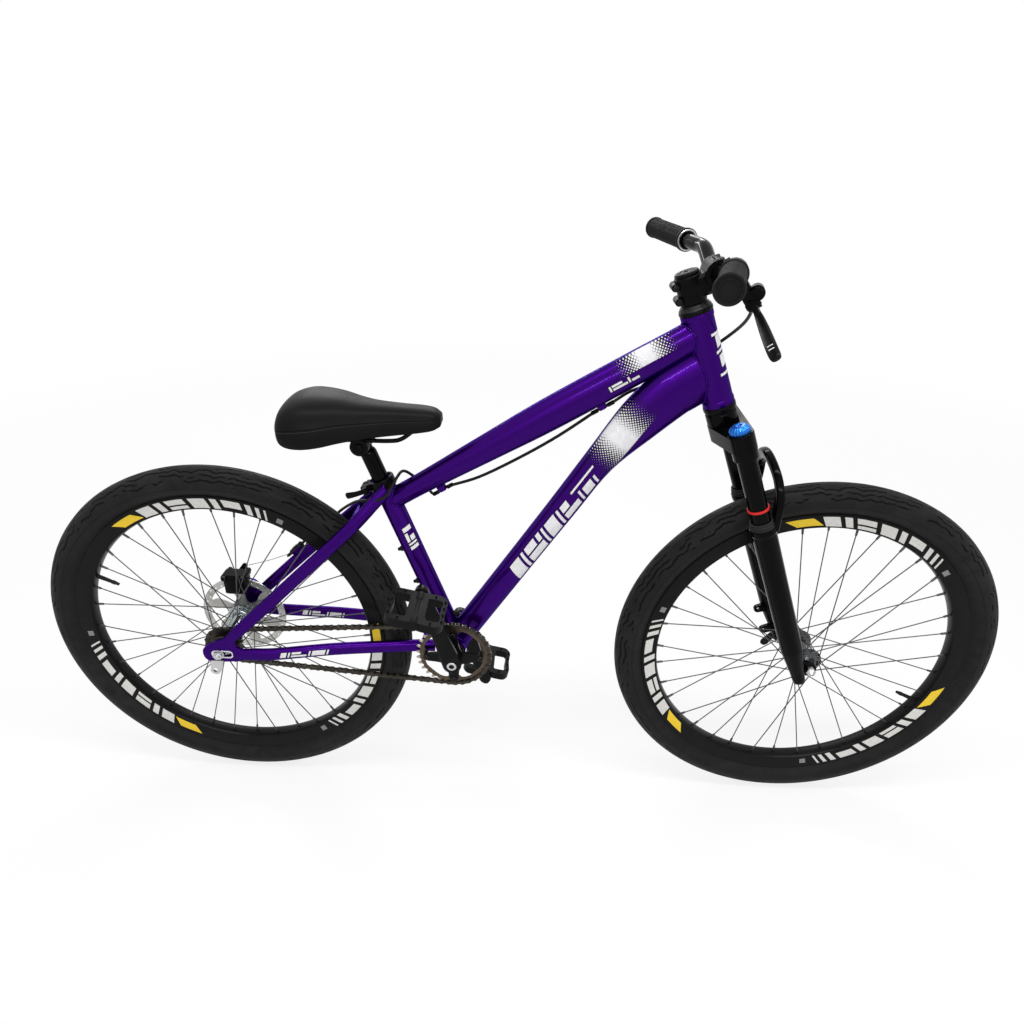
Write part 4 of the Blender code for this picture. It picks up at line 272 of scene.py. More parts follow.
def through(points, steps):
    """A Catmull-Rom curve: rows through the given rows, with steps rows for each span."""
    rows = np.array(points, float)
    rows = np.vstack([2 * rows[0] - rows[1], rows, 2 * rows[-1] - rows[-2]])
    t = (np.arange(steps) / steps)[None, :, None]
    a, b, c, d = (rows[k : len(rows) - 3 + k, None, :] for k in range(4))
    curve = 2 * b + (c - a) * t + (2 * a - 5 * b + 4 * c - d) * t**2
    curve = 0.5 * (curve + (3 * b - a - 3 * c + d) * t**3)
    return np.vstack([curve.reshape(-1, rows.shape[1]), rows[-2]])


def eased(profile, ease):
    """The profile with each inner corner cut back by ease and rounded with one point between."""
    p = np.array(profile, float)
    before, corner, after = p[:-2], p[1:-1], p[2:]
    cuts = []
    for side in (before - corner, after - corner):
        long = np.linalg.norm(side, axis=1, keepdims=True)
        cuts.append(corner + side * np.minimum(ease / long, 0.45))
    middle = (cuts[0] + 2 * corner + cuts[1]) / 4
    rounded_corners = np.stack([cuts[0], middle, cuts[1]], 1).reshape(-1, p.shape[1])
    return np.vstack([p[:1], rounded_corners, p[-1:]])


def round_turns(steps):
    """The angles of steps places round a circle."""
    return np.linspace(0, 2 * np.pi, steps, endpoint=False)


def turned(profile, origin, axis=LEFT, steps=64, ease=0.0, ahead=AHEAD_X):
    """A profile of (radius, height) carried round an axis: origin + h*axis + r*(cos u + sin v)."""
    z = np.array(axis, float) / np.linalg.norm(axis)
    x = unit(np.array(ahead, float) - np.dot(ahead, z) * z)
    turn = round_turns(steps)[:, None]
    spoke = np.cos(turn) * x + np.sin(turn) * np.cross(z, x)
    p = eased(profile, ease) if ease else np.array(profile, float)
    return np.array(origin) + p[:, None, 1:2] * z + p[:, None, 0:1] * spoke[None]


def wear(made, finish, body, *nodes, slot=None):
    """Gives a piece its finish and its body, and hides the solids that it stands for; its slot is
    not used.
    """
    made.data.materials.clear()
    made.data.materials.append(finish.material)
    if body:
        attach(made, body)
    if nodes:
        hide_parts(*nodes)
    return made


def settle(name, mesh, sharp):
    """Merges a mesh's doubled points, turns its faces outwards and shades it smooth."""
    work = bmesh.new()
    work.from_mesh(mesh)
    bmesh.ops.remove_doubles(work, verts=work.verts, dist=2e-6)
    bmesh.ops.recalc_face_normals(work, faces=work.faces)
    work.to_mesh(mesh)
    work.free()
    mesh.shade_smooth()
    mesh.set_sharp_from_angle(angle=math.radians(sharp))
    made = bpy.data.objects.new(name, mesh)
    bpy.context.scene.collection.objects.link(made)
    return made


def piece(name, grids, *worn, slot=None, sharp=30, rows_close=False, wrap=None):
    """A piece over grids of points (rows, columns, 3) whose columns close round, and what wear
    is told of it: its finish, its body and the solids that it stands for."""
    points, faces, start = [], [], 0
    for grid in grids:
        rows, columns = grid.shape[:2]
        r = np.arange(rows if rows_close else rows - 1)[:, None]
        c = np.arange(columns)[None, :]
        r_next, c_next = (r + 1) % rows, (c + 1) % columns
        corners = (r * columns + c, r * columns + c_next)
        corners += (r_next * columns + c_next, r_next * columns + c)
        faces.append(np.stack(np.broadcast_arrays(*corners), -1).reshape(-1, 4) + start)
        points.append(grid.reshape(-1, 3))
        start += rows * columns
    mesh = bpy.data.meshes.new(name)
    mesh.from_pydata(np.vstack(points), [], np.vstack(faces))
    if wrap is not None:
        lies = mesh.attributes.new("wrap", "FLOAT_VECTOR", "POINT")
        lies.data.foreach_set("vector", np.ascontiguousarray(wrap, np.float32).ravel())
    return wear(settle(name, mesh, sharp), *worn, slot=slot)


HALF_SECTION = [(279.5, 12.7), (286.6, 13.4), (294.5, 21.2), (305, 26), (317.5, 24.4), (327.5, 18)]
half_section = through(mm(*HALF_SECTION, (333, 9.5), (335, 0)), 5)
tyre_section = np.vstack([half_section, half_section[-2::-1] * (1, -1)])
tread = Finish("tyre_rubber", (0.012, 0.012, 0.013), 0.55, Specular_IOR_Level=0.09)
lies = tread.node("Attribute", {}, 1, attribute_name="wrap")
across_tyre = tread.node("SeparateXYZ", {0: lies}, 2)
wobble = tread.noise(1.0, 2.0, lies, (42, 42, 20)) - 0.5
rows = (across_tyre + wobble * 0.020) / 0.0088
stroke = tread.over(0.14 - abs(rows % 1.0 - 0.5), 0.05)
gaps = tread.over(tread.noise(1.0, 1.0, lies, (26, 26, 90)) - 0.455, 0.02)
grooves = stroke * gaps * tread.over(0.037 - abs(across_tyre), 0.0015)
ribs = tread.over(0.0006 - abs(abs(across_tyre) - 0.0445), 0.0004)
dust, worn, grain = tread.noise(60.0, 4.0), tread.noise(7.0, 3.0), tread.noise(900.0, 2.0)
rubber = tread.mix(dust * worn * 1.6, 0.005, (0.019, 0.018, 0.018))
skin = tread.bump(grain + dust, 0.00012, 0.6)
tread.feed(
    Base_Color=tread.mix(grooves, rubber, 0.0012),
    Roughness=0.40 + dust * 0.22 + grooves * 0.2,
    Normal=tread.bump(1.0 - grooves + ribs * 0.5, 0.0020, 1.0, skin),
)
step = np.linalg.norm(np.diff(tyre_section, axis=0), axis=1)
lay = np.concatenate([[0], np.cumsum(step)])
lay = (lay - lay[-1] / 2)[:, None] * np.ones((1, 360))
for wheel, axle in AXLES.items():
    grid = turned(tyre_section, axle, steps=360)
    out = unit(grid - axle) * TYRE_RADIUS
    wrap = np.stack([out[..., 0], out[..., 2], lay], -1)
    worn = (tread, f"{wheel}_wheel", f"{wheel}_tyre")
    piece(f"{wheel}_tyre_visual", [grid], *worn, sharp=38, rows_close=True, wrap=wrap)

# Rims: black anodised double-wall alloy hoops, extruded, rolled and pinned, with three groups of
# pale slanted bars, a yellow lozenge and a grey square printed round each side, and a valve stem.

RIM_WALL = mm((285.8, 15), (284.5, 15.2), (260, 12.2), (258.3, 9), (257.4, 4))
RIM_BED = mm((285.8, -13.1), (279.1, -12.9), (279.1, 12.9), (285.8, 13.1), (285.8, 15))
RIM_SECTION = np.vstack([RIM_WALL, RIM_WALL[::-1] * (1, -1), RIM_BED])
RIM_MARKS_START = {"front": 100.0, "rear": 121.0}
VALVE_TURN = {"front": -25.0, "rear": 155.0}
PRINT_LOW, PRINT_HIGH = 0.2625, 0.2815
# Bars of a printed group: start and end in degrees from the lozenge, low and high edge
RIM_BARS = [
    (6.5, 12.0, PRINT_LOW, PRINT_HIGH),
    (13.6, 16.2, PRINT_LOW, PRINT_HIGH),
    (17.8, 24.6, 0.2715, PRINT_HIGH),
    (17.8, 24.6, PRINT_LOW, 0.2685),
    (26.4, 32.4, PRINT_LOW, PRINT_HIGH),
    (34.0, 36.4, PRINT_LOW, PRINT_HIGH),
    (38.0, 44.5, 0.2680, PRINT_HIGH),
    (46.2, 48.2, PRINT_LOW, PRINT_HIGH),
    (49.8, 51.2, PRINT_LOW, PRINT_HIGH),
    (52.8, 53.6, PRINT_LOW, PRINT_HIGH),
]
DEGREE, EDGE = 0.0047, 0.00018  # A degree's length at the print, and the print's soft edge


def rim_finish(wheel):
    """Black anodising with the printed marks placed by angle and radius round the axle."""
    black = (0.008, 0.008, 0.009)
    made = Finish(f"rim_black_{wheel}", black, 0.3, 0.0, "gloss_black", Specular_IOR_Level=0.10)
    ahead, above, radius = made.around(AXLES[wheel])
    degrees = made.sum("ARCTAN2", above, ahead) * (180 / math.pi)
    back = (RIM_MARKS_START[wheel] - degrees) % 120.0
    slid = back + (radius - 0.272) * 0.5 * 180
    bars = 0.0
    for start, end, low, high in RIM_BARS:
        inside = made.least(slid - start, end - slid) * DEGREE
        bars = made.over(made.least(inside, radius - low, high - radius), EDGE) + bars
    lean_in = 4.6 - abs((back + 60.0) % 120.0 - 60.0 + (radius - 0.272) * 250)
    lozenge = made.over(made.least(radius - 0.2645, 0.2795 - radius, lean_in * DEGREE), EDGE)
    in_square = (1.15 - abs(back - 58.5)) * DEGREE
    square = made.over(made.least(radius - 0.2665, 0.2765 - radius, in_square), EDGE)
    cells = made.over(back * 2.2 % 1.0 - 0.45, 0.08) * made.over(radius * 420 % 1.0 - 0.5, 0.08)
    scuff, streaks = made.noise(260.0, 4.0), made.noise(38.0, 3.0)
    colour = made.mix(streaks * 0.6, 0.002, black)
    colour = made.mix(bars, colour, made.mix(scuff, (0.48, 0.47, 0.45), (0.68, 0.67, 0.64)))
    colour = made.mix(lozenge, colour, (0.72, 0.50, 0.035))
    printed = made.most(bars, lozenge)
    made.feed(
        Base_Color=made.mix(square * (0.35 + cells * 0.45), colour, 0.40),
        Roughness=0.24 + scuff * 0.14 + printed * 0.22,
        Normal=made.bump(scuff * 0.4 + printed, 0.00006, 0.5),
    )
    return made


def facing(turn_degrees):
    """The unit directions in the wheel's plane at angles in degrees."""
    turn = np.radians(np.atleast_1d(turn_degrees))
    return np.stack([np.cos(turn), 0 * turn, np.sin(turn)], -1)


VALVE = [(0, -3.5), (2.4, -3.3), (2.8, -1.5), (2.8, 3), (3.6, 3.6), (3.6, 9.5), (3, 10.5)]
VALVE = mm(*VALVE, (3.4, 16), (3.9, 35), (5.2, 37.2), (0, 37.2))
for wheel, axle in AXLES.items():
    hoop = turned(RIM_SECTION, axle, steps=240)
    piece(f"{wheel}_rim_visual", [hoop], rim_finish(wheel), f"{wheel}_wheel", f"{wheel}_rim")
    out = facing(VALVE_TURN[wheel])[0]
    stem = turned(VALVE, axle + 0.2215 * out, out, 24, 0.0004, LEFT)
    piece(f"{wheel}_valve", [stem], tread, f"{wheel}_wheel", slot="rubber", sharp=38)

# Spokes: 36 dark steel wires a wheel, laced three-cross. Each has its head in a hub flange, an
# elbow, a straight run and a nipple in the rim.

SPOKE_HUB_RADIUS, SPOKE_RIM_RADIUS = 0.0225, 0.2577
SPOKE_STAND, SPOKE_CROSSING = 0.0036, 0.0019
SPOKE_RADII = mm(1.7, 1.8, *[1] * 6, 1.9, 2.2, 2.2)  # From the head to the nipple's end
FLANGES = {"front": (-0.0330, 0.0210), "rear": (-0.0300, 0.0345)}


def swept(path, high, wide, across, sides=40, power=2.0):
    """A section carried along a path and closed: p + wide*c*across + high*s*up, where c and s are
    the cosine and sine raised to 2/power, so that a power above 2 squares the section."""
    path = np.array(path, float)
    along = unit(np.gradient(path, axis=0))
    side = np.broadcast_to(np.array(across, float), path.shape)
    side = unit(side - (side * along).sum(1, keepdims=True) * along)
    up = np.cross(along, side)
    turn = round_turns(sides)
    c, s = (np.sign(w) * np.abs(w) ** (2 / power) for w in (np.cos(turn), np.sin(turn)))
    wide, high = (np.broadcast_to(v, len(path))[:, None, None] for v in (wide, high))
    section = wide * c[None, :, None] * side[:, None] + high * s[None, :, None] * up[:, None]
    start, end = (np.broadcast_to(path[k], (1, sides, 3)) for k in (0, -1))
    return np.concatenate([start, path[:, None] + section, end])


spoke_steel = Finish("spoke_steel", (0.075, 0.075, 0.080), 0.34, 0.85)
draw_marks = spoke_steel.noise(700.0)
spoke_steel.feed(
    Base_Color=spoke_steel.mix(draw_marks, (0.050, 0.050, 0.054), (0.125, 0.125, 0.132)),
    Roughness=0.26 + draw_marks * 0.2,
    Normal=spoke_steel.bump(draw_marks, 0.00004, 0.5),
)
for wheel, axle in AXLES.items():
    for side, flange_y, tag in zip((-1, 1), FLANGES[wheel], ("right", "left")):
        grids = []
        for lean, offset in ((-1, SPOKE_CROSSING), (1, 0.0)):
            hub_degrees = (0 if side < 0 else 10) + 20 * (2 * np.arange(9) + (lean > 0))
            hub_out = axle + facing(hub_degrees) * SPOKE_HUB_RADIUS
            rim_out = axle + facing(hub_degrees + lean * 60) * SPOKE_RIM_RADIUS
            start = hub_out + (flange_y + side * (SPOKE_STAND + offset)) * LEFT
            end = rim_out + side * 0.0030 * LEFT
            head = hub_out + (flange_y - side * 0.0024) * LEFT
            run = unit(end - start)
            stations = [head + side * depth * LEFT for depth in (0.0, 0.0004, 0.0010)]
            stations += [start - side * 0.0014 * LEFT + run * 0.0004]
            stations += [start + run * reach for reach in (0.0030, 0.012, 0.10)]
            stations += [end + run * reach for reach in (-0.0120, -0.0118, -0.0020, 0.0)]
            for path, across in zip(np.stack(stations, 1), np.cross(run, LEFT)):
                grids.append(swept(path, SPOKE_RADII, SPOKE_RADII, across, 8))
        net = f"{wheel}_spokes_{tag}"
        piece(f"{net}_visual", grids, spoke_steel, f"{wheel}_wheel", net, sharp=60)

# Hubs: turned and polished alloy shells with two spoke flanges. The rear one carries the freewheel
# on a thread at the right and the rotor on six bolts at the left; the front one has a bare face.

HUBS = {
    "front": [(5.1, 43), (11, 43), (13, 39.5), (21, 39.5), (21, 34.5), (16, 32), (14.5, 24.5)],
    "rear": [(5.1, 52.6), (17.2, 52.6), (17.2, 50.2), (21, 50.2), (21, 45.2), (16.5, 43.2)],
}
HUBS["front"] += [(27.5, 22.2), (27.5, 19.8), (17, 18.5), (14, 14), (14, -27), (17, -30.5)]
HUBS["front"] += [(27.5, -31.8), (27.5, -34.2), (15, -36), (11.8, -40.5), (11, -43), (5.1, -43)]
HUBS["rear"] += [(16.5, 38), (27.5, 35.7), (27.5, 33.3), (18, 31.8), (16, 27), (16, -22)]
HUBS["rear"] += [(18.5, -27)]
HUBS["rear"] += [(27.5, -28.8), (27.5, -31.2), (18, -33), (17.2, -36), (17.2, -54), (5.1, -54)]


def polished(name, low, high, roughness, slot=None):
    """Turned metal: fine rings round the axle line, faint stains and small scratches."""
    made = Finish(name, high, roughness, 1.0, slot)
    lathe, stain = made.noise(1.0, 1.0, stretch=(30, 2600, 30)), made.noise(55.0, 3.0)
    made.feed(
        Base_Color=made.mix(stain, low, high),
        Roughness=roughness - 0.05 + stain * 0.16,
        Normal=made.bump(lathe, 0.00005, 0.35),
    )
    return made


def printed_on(finish):
    """What feeds a finish's base colour so far, to be printed over."""
    return Wire(finish, finish.shader.inputs["Base Color"].links[0].from_socket)


chrome = polished("hub_chrome", (0.24, 0.27, 0.28), (0.52, 0.56, 0.57), 0.16, "chromed_hub")
front_chrome = polished(
    "front_hub_chrome", (0.03, 0.03, 0.035), (0.13, 0.135, 0.14), 0.16, "chromed_hub"
)
label_y = 0.0115 - abs(front_chrome.along(FRONT_AXLE, LEFT) + 0.0115)
label_back = front_chrome.along(FRONT_AXLE, (-0.94, 0, 0.34)) - 0.0075
label = front_chrome.over(front_chrome.least(label_y, label_back), 0.0003)
label = label * front_chrome.over(0.0150 - label_back, 0.001)
yellow = front_chrome.mix(label, printed_on(front_chrome), (0.70, 0.52, 0.05))
front_chrome.feed(Base_Color=yellow, Metallic=1.0 - label)
for wheel, finish in (("front", front_chrome), ("rear", chrome)):
    shell = turned(ring(*HUBS[wheel]), AXLES[wheel], ease=0.0006)
    piece(f"{wheel}_hub_visual", [shell], finish, f"{wheel}_wheel", f"{wheel}_hub_shell")

# Axles and the front skewer: steel rods with locknuts inside the frame ends and hexagonal nuts
# outside; the front one is clamped by a pressed alloy lever on its cam at the left.

silver = polished("silver_alloy", (0.42, 0.42, 0.43), (0.66, 0.66, 0.67), 0.28)
dark_alloy = polished(
    "dark_alloy", (0.006, 0.006, 0.007), (0.022, 0.022, 0.024), 0.24, "satin_black"
)


def nut(place, out, across, thick, dome=0.0):
    """A hexagonal nut from a place outwards, with its corners chamfered, as six-sided grids."""
    profile = [(0.0, 0.0), (across, 0.0), (across, thick - 0.0012)]
    profile += [(across - 0.0014, thick), (0.0, thick + dome)]
    return turned(profile, place, out, 6, ahead=(0.4, 0.0, 1.0))


REAR_ROD = [(0, -84), (4, -84), (4.8, -83.2), (4.8, -67.2), (9.5, -67.2), (9.5, -54.6)]
REAR_ROD += [(4.8, -54.6), (4.8, 53.2), (9.5, 53.2), (9.5, 67.2), (4.8, 67.2), (4.8, 83.2), (4, 84)]
rear_parts = [turned(mm(*REAR_ROD, (0, 84)), REAR_AXLE, steps=32, ease=0.0004)]
WASHER = ring((4.8, 0), (10, 0), (10, 1.2), (4.8, 1.2))
for side in (-LEFT, LEFT):
    washer_place = REAR_AXLE + 0.0741 * side
    rear_parts.append(turned(WASHER, washer_place, side, 32))
    rear_parts.append(nut(washer_place + 0.0012 * side, side, 0.0085, 0.0062))
piece("rear_axle_visual", rear_parts, silver, "frame", "rear_axle", sharp=25)

FORK_ROD = [(0, -57.2), (4.8, -57), (4.8, -49.7), (9, -49.7), (9, -43.3), (4.8, -43.3), (4.8, 43.3)]
FORK_ROD += [(9, 43.3), (9, 49.7), (4.8, 49.7), (4.8, 56.8), (9, 56.8), (9.4, 58.5), (8.6, 60.8)]
front_parts = [turned(mm(*FORK_ROD, (0, 60.8)), FRONT_AXLE, steps=40, ease=0.0004)]
front_parts.append(nut(FRONT_AXLE - 0.0568 * LEFT, -LEFT, 0.0088, 0.0100, 0.0040))
piece("front_axle_visual", front_parts, silver, "fork_lower", "front_axle", sharp=25)

SKEWER_PIVOT = FRONT_AXLE + 0.0686 * LEFT
SKEWER_ALONG = np.array((-0.51963, 0.0, -0.85439))
SKEWER_ACROSS = np.array((0.85439, 0.0, -0.51963))
blade_line = through(mm((0, 0), (10, 7.2), (20, 12.2), (34, 14.5), (52, 16), (67, 16.8)), 5)
blade_path = SKEWER_PIVOT + blade_line[:, :1] * SKEWER_ALONG + blade_line[:, 1:] * LEFT
blade_wide = 0.0050 + 0.0040 * np.linspace(0, 1, len(blade_path)) ** 1.6
blade_wide[-3:] *= (0.95, 0.80, 0.50)
CAM = mm((0, -6.5), (7.5, -6.5), (7.5, 6.5), (0, 6.5))
skewer_parts = [swept(blade_path, 0.0024, blade_wide, SKEWER_ACROSS, 24, 2.6)]
skewer_parts.append(turned(CAM, SKEWER_PIVOT, SKEWER_ACROSS, 32, 0.001, LEFT))
worn = (dark_alloy, "skewer_lever", "front_skewer_lever")
piece("front_skewer_lever_visual", skewer_parts, *worn, sharp=38)

# Brake rotor: a stamped and ground stainless disc, 160 mm across, with six arms, vent holes in
# its band and six bolts.


def circle(radius, count, centre=(0.0, 0.0)):
    """The points of a circle in a plate's plane."""
    turn = round_turns(count)
    return np.stack([np.cos(turn), np.sin(turn)], -1) * radius + np.array(centre)


def polar(places, turn=0.0):
    """Points in a plate's plane from rows of radius and angle."""
    r, a = np.array(places, float).T
    return np.stack([r * np.cos(a + turn), r * np.sin(a + turn)], -1)


def looped(points, steps):
    """A smooth closed curve through points in a plane."""
    p = np.array(points, float)
    return through(np.vstack([p, p[:3]]), steps)[steps : steps * (len(p) + 1)]


def round_off(made, ease, segments=2, angle=35):
    """A bevel on a piece's sharp edges."""
    edge = made.modifiers.new("eased_edges", "BEVEL")
    edge.width, edge.segments, edge.limit_method = ease, segments, "ANGLE"
    edge.angle_limit = math.radians(angle)
    edge.harden_normals = True


def plate(name, outlines, thick, place, *worn, ease=0.0003, slot=None):
    """A flat plate about an origin, along two axes: the first outline less the others, its edges
    eased, and what wear is told of it."""
    origin, ahead, up = place
    curve = bpy.data.curves.new(name, "CURVE")
    curve.dimensions, curve.fill_mode, curve.extrude = "2D", "BOTH", thick / 2
    for outline in outlines:
        spline = curve.splines.new("POLY")
        spline.points.add(len(outline) - 1)
        flat = np.ones((len(outline), 4), np.float32)
        flat[:, :2], flat[:, 2] = outline, 0
        spline.points.foreach_set("co", flat.ravel())
        spline.use_cyclic_u = True
    holder = bpy.data.objects.new(name + "_outline", curve)
    bpy.context.scene.collection.objects.link(holder)
    graph = bpy.context.evaluated_depsgraph_get()
    mesh = bpy.data.meshes.new_from_object(holder.evaluated_get(graph))
    bpy.data.objects.remove(holder, do_unlink=True)
    turn = np.eye(4)
    turn[:3] = np.stack([ahead, up, np.cross(ahead, up), origin], 1)
    mesh.transform(Matrix(turn.tolist()))
    made = settle(name, mesh, 30)
    if ease:
        round_off(made, ease)
    return wear(made, *worn, slot=slot)


def beads(places, axes, profile, steps):
    """Many small turned pieces, each a profile on its own axis, as one list of grids."""
    lain = (0.3, 0.1, 0.9)
    return [turned(profile, place, axis, steps, ahead=lain) for place, axis in zip(places, axes)]


# One window between two arms: radius in metres and angle in radians
ROTOR_WINDOW = [(0.0665, 0.60), (0.0670, 0.22), (0.0665, -0.16), (0.0560, -0.16), (0.0400, -0.25)]
ROTOR_WINDOW += [(0.0290, -0.24), (0.0270, 0.00), (0.0290, 0.24), (0.0400, 0.33), (0.0560, 0.44)]
VENT_RADII = (0.0705, 0.0733, 0.0762) * 12
rotor_outlines = [circle(0.0800, 180), circle(0.0175, 48)]
rotor_outlines += [looped(polar(ROTOR_WINDOW, k * math.pi / 3), 3) for k in range(6)]
vents = polar(np.stack([VENT_RADII, round_turns(36)], 1))
rotor_outlines += [circle(0.0017, 8, vent) for vent in vents]
ground_steel = Finish("ground_steel", 0.50, 0.3, 1.0, "brushed_steel")
rotor_radius = ground_steel.around(REAR_AXLE)[2]
ring_lines = ground_steel.noise(2400.0, 2.0, ground_steel.node("CombineXYZ", {0: rotor_radius}))
stains = ground_steel.noise(48.0, 4.0)
swept_band = ground_steel.over(rotor_radius - 0.0675, 0.0008)
ground_steel.feed(
    Base_Color=ground_steel.mix(stains, (0.34, 0.33, 0.31), (0.62, 0.62, 0.60)),
    Roughness=0.44 - swept_band * 0.16 + stains * 0.1,
    Normal=ground_steel.bump(ring_lines, 0.00006, 0.5),
)
rotor_place = (REAR_AXLE + 0.0514 * LEFT, AHEAD_X, UP_Z)
worn = (ground_steel, "rear_wheel", "brake_rotor")
plate("brake_rotor_visual", rotor_outlines, 0.0018, rotor_place, *worn, ease=0)

SOCKET_BOLT = mm((0, 0), (3.6, 0), (3.6, 1.4), (3, 2.2), (1.9, 2.3), (1.8, 0.8), (0, 0.8))
bolt_places = REAR_AXLE + facing(np.arange(6) * 60 + 30) * 0.0222 + 0.0523 * LEFT
rotor_bolts = beads(bolt_places, [LEFT] * 6, SOCKET_BOLT, 12)
piece("rotor_bolts", rotor_bolts, chrome, "rear_wheel", sharp=25)

# Freewheel and chainring: a stamped steel sprocket on its ratchet body, and a bronze-black ring
# with 32 teeth, chamfered by its press, bolted at four ears.

PITCH, RING_TEETH, SMALL_TEETH = 0.0127, 32, 16
CHAIN_LINKS, CHAIN_Y = 90, -0.045
BB = np.array((-0.10468, 0.0, 0.330))
RING_RADIUS, SMALL_RADIUS = (
    PITCH / 2 / math.sin(math.pi / teeth) for teeth in (RING_TEETH, SMALL_TEETH)
)
CENTRES = float(np.linalg.norm(BB - REAR_AXLE))
LEAN = math.asin((RING_RADIUS - SMALL_RADIUS) / CENTRES)
TILT = math.atan2(BB[2] - REAR_AXLE[2], BB[0] - REAR_AXLE[0])
RUN = CENTRES * math.cos(LEAN) / PITCH
ON_RING = (math.pi + 2 * LEAN) * RING_TEETH / (2 * math.pi)


def chain_places(u):
    """The chain's centres and outward normals, u pitches on from the freewheel's top: two arcs
    about the sprockets, joined by the two straight runs that touch them."""
    u = np.atleast_1d(np.array(u, float)) % CHAIN_LINKS
    top, low = math.pi / 2 + LEAN + TILT, -math.pi / 2 - LEAN + TILT
    over_ring = np.clip(u - RUN, 0, ON_RING) * 2 * math.pi / RING_TEETH
    past = np.maximum(u - 2 * RUN - ON_RING, 0) * 2 * math.pi / SMALL_TEETH
    turn = np.where(u < 2 * RUN + ON_RING, top - over_ring, low - past)
    normal = np.stack([np.cos(turn), 0 * turn, np.sin(turn)], -1)
    forth = np.clip(u / RUN, 0, 1) - np.clip((u - RUN - ON_RING) / RUN, 0, 1)
    centre = REAR_AXLE + forth[:, None] * (BB - REAR_AXLE)
    radius = SMALL_RADIUS + forth * (RING_RADIUS - SMALL_RADIUS)
    return centre + radius[:, None] * normal + CHAIN_Y * LEFT, normal


def toothed(radius, teeth, from_pitch):
    """A sprocket's outline: a round root under each roller and a narrow rounded tooth between.
    The first root faces the roller that stands from_pitch pitches along the chain."""
    root = mm((-4.1, 0.4), (-3.6, -2), (-2, -3.6), (0, -4.1))
    tooth = np.vstack([root, root[2::-1] * (-1, 1), mm((5, 2.6), (6.35, 3.4), (7.7, 2.6))])
    normal = chain_places(from_pitch)[1][0]
    turn = math.atan2(normal[2], normal[0]) + 2 * np.pi * np.arange(teeth)[:, None] / teeth
    out = np.stack([np.cos(turn), np.sin(turn)], -1)
    side = np.stack([-np.sin(turn), np.cos(turn)], -1)
    return ((radius + tooth[:, 1:]) * out + tooth[:, :1] * side).reshape(-1, 2)


chain_steel = polished(
    "chain_steel", (0.018, 0.016, 0.014), (0.085, 0.075, 0.062), 0.36, "dark_grey"
)
small_outline = toothed(SMALL_RADIUS, SMALL_TEETH, math.ceil(2 * RUN + ON_RING) + 2)
sprocket_place = (REAR_AXLE + CHAIN_Y * LEFT, AHEAD_X, UP_Z)
worn = (chain_steel, "freewheel", "freewheel")
plate("freewheel_visual", [small_outline, circle(0.0200, 40)], 0.0020, sprocket_place, *worn)
RATCHET_BODY = ring((17.5, -36), (22, -36), (22, -52), (20.5, -53), (17.5, -52))
ratchet_body = turned(RATCHET_BODY, REAR_AXLE, ease=0.0005)
piece("freewheel_body", [ratchet_body], chain_steel, "freewheel", sharp=25)

bronze = Finish("bronze_black", (0.070, 0.055, 0.045), 0.35, 0.9, Coat_Weight=0.1)
rubbed, patches = bronze.noise(160.0, 4.0), bronze.noise(24.0, 3.0)
worn_teeth = bronze.over(bronze.around(BB)[2] - 0.0635 + rubbed * 0.003, 0.0008)
tarnish = bronze.mix(patches, (0.030, 0.022, 0.016), (0.13, 0.092, 0.060))
bronze.feed(
    Base_Color=bronze.mix(worn_teeth, tarnish, (0.42, 0.38, 0.33)),
    Roughness=0.26 + rubbed * 0.25,
    Normal=bronze.bump(rubbed, 0.00005, 0.5),
)
EAR = [(0.0540, -0.66), (0.0552, -0.46), (0.0535, -0.26), (0.0470, -0.15)]
EAR += [(r, -a) for r, a in EAR[::-1]]
opening = looped(np.vstack([polar(EAR, k * math.pi / 2) for k in range(4)]), 3)
ring_outlines = [toothed(RING_RADIUS, RING_TEETH, math.ceil(RUN) + 2), opening]
chainring_place = (BB + CHAIN_Y * LEFT, AHEAD_X, UP_Z)
worn = (bronze, "cranks", "chainring")
plate("chainring_visual", ring_outlines, 0.0022, chainring_place, *worn, ease=0.0004)

# Chain: 90 half-inch links of dark, oiled steel, pressed plates riveted over rollers, alternately
# inner and outer, in the one loop round both sprockets.


def prism(outline, low, high):
    """The points and faces of an outline (x, z) drawn out along y from low to high."""
    count = len(outline)
    flat = np.zeros((2, count, 3))
    flat[:, :, (0, 2)] = outline
    flat[0, :, 1], flat[1, :, 1] = low, high
    k = np.arange(count)
    sides = np.stack([k, (k + 1) % count, (k + 1) % count + count, k + count], -1).tolist()
    return flat.reshape(-1, 3), [*sides, k[::-1].tolist(), (k + count).tolist()]


def copies(points, faces, origins, ahead, up):
    """The same small shape at many places: origin + x*ahead + y*left + z*up."""
    turn = np.stack([ahead, np.cross(up, ahead), up], 1)
    many_points = origins[:, None] + np.einsum("pk,nkc->npc", points, turn)
    many = [[i + n * len(points) for i in face] for n in range(len(origins)) for face in faces]
    return many_points.reshape(-1, 3), many


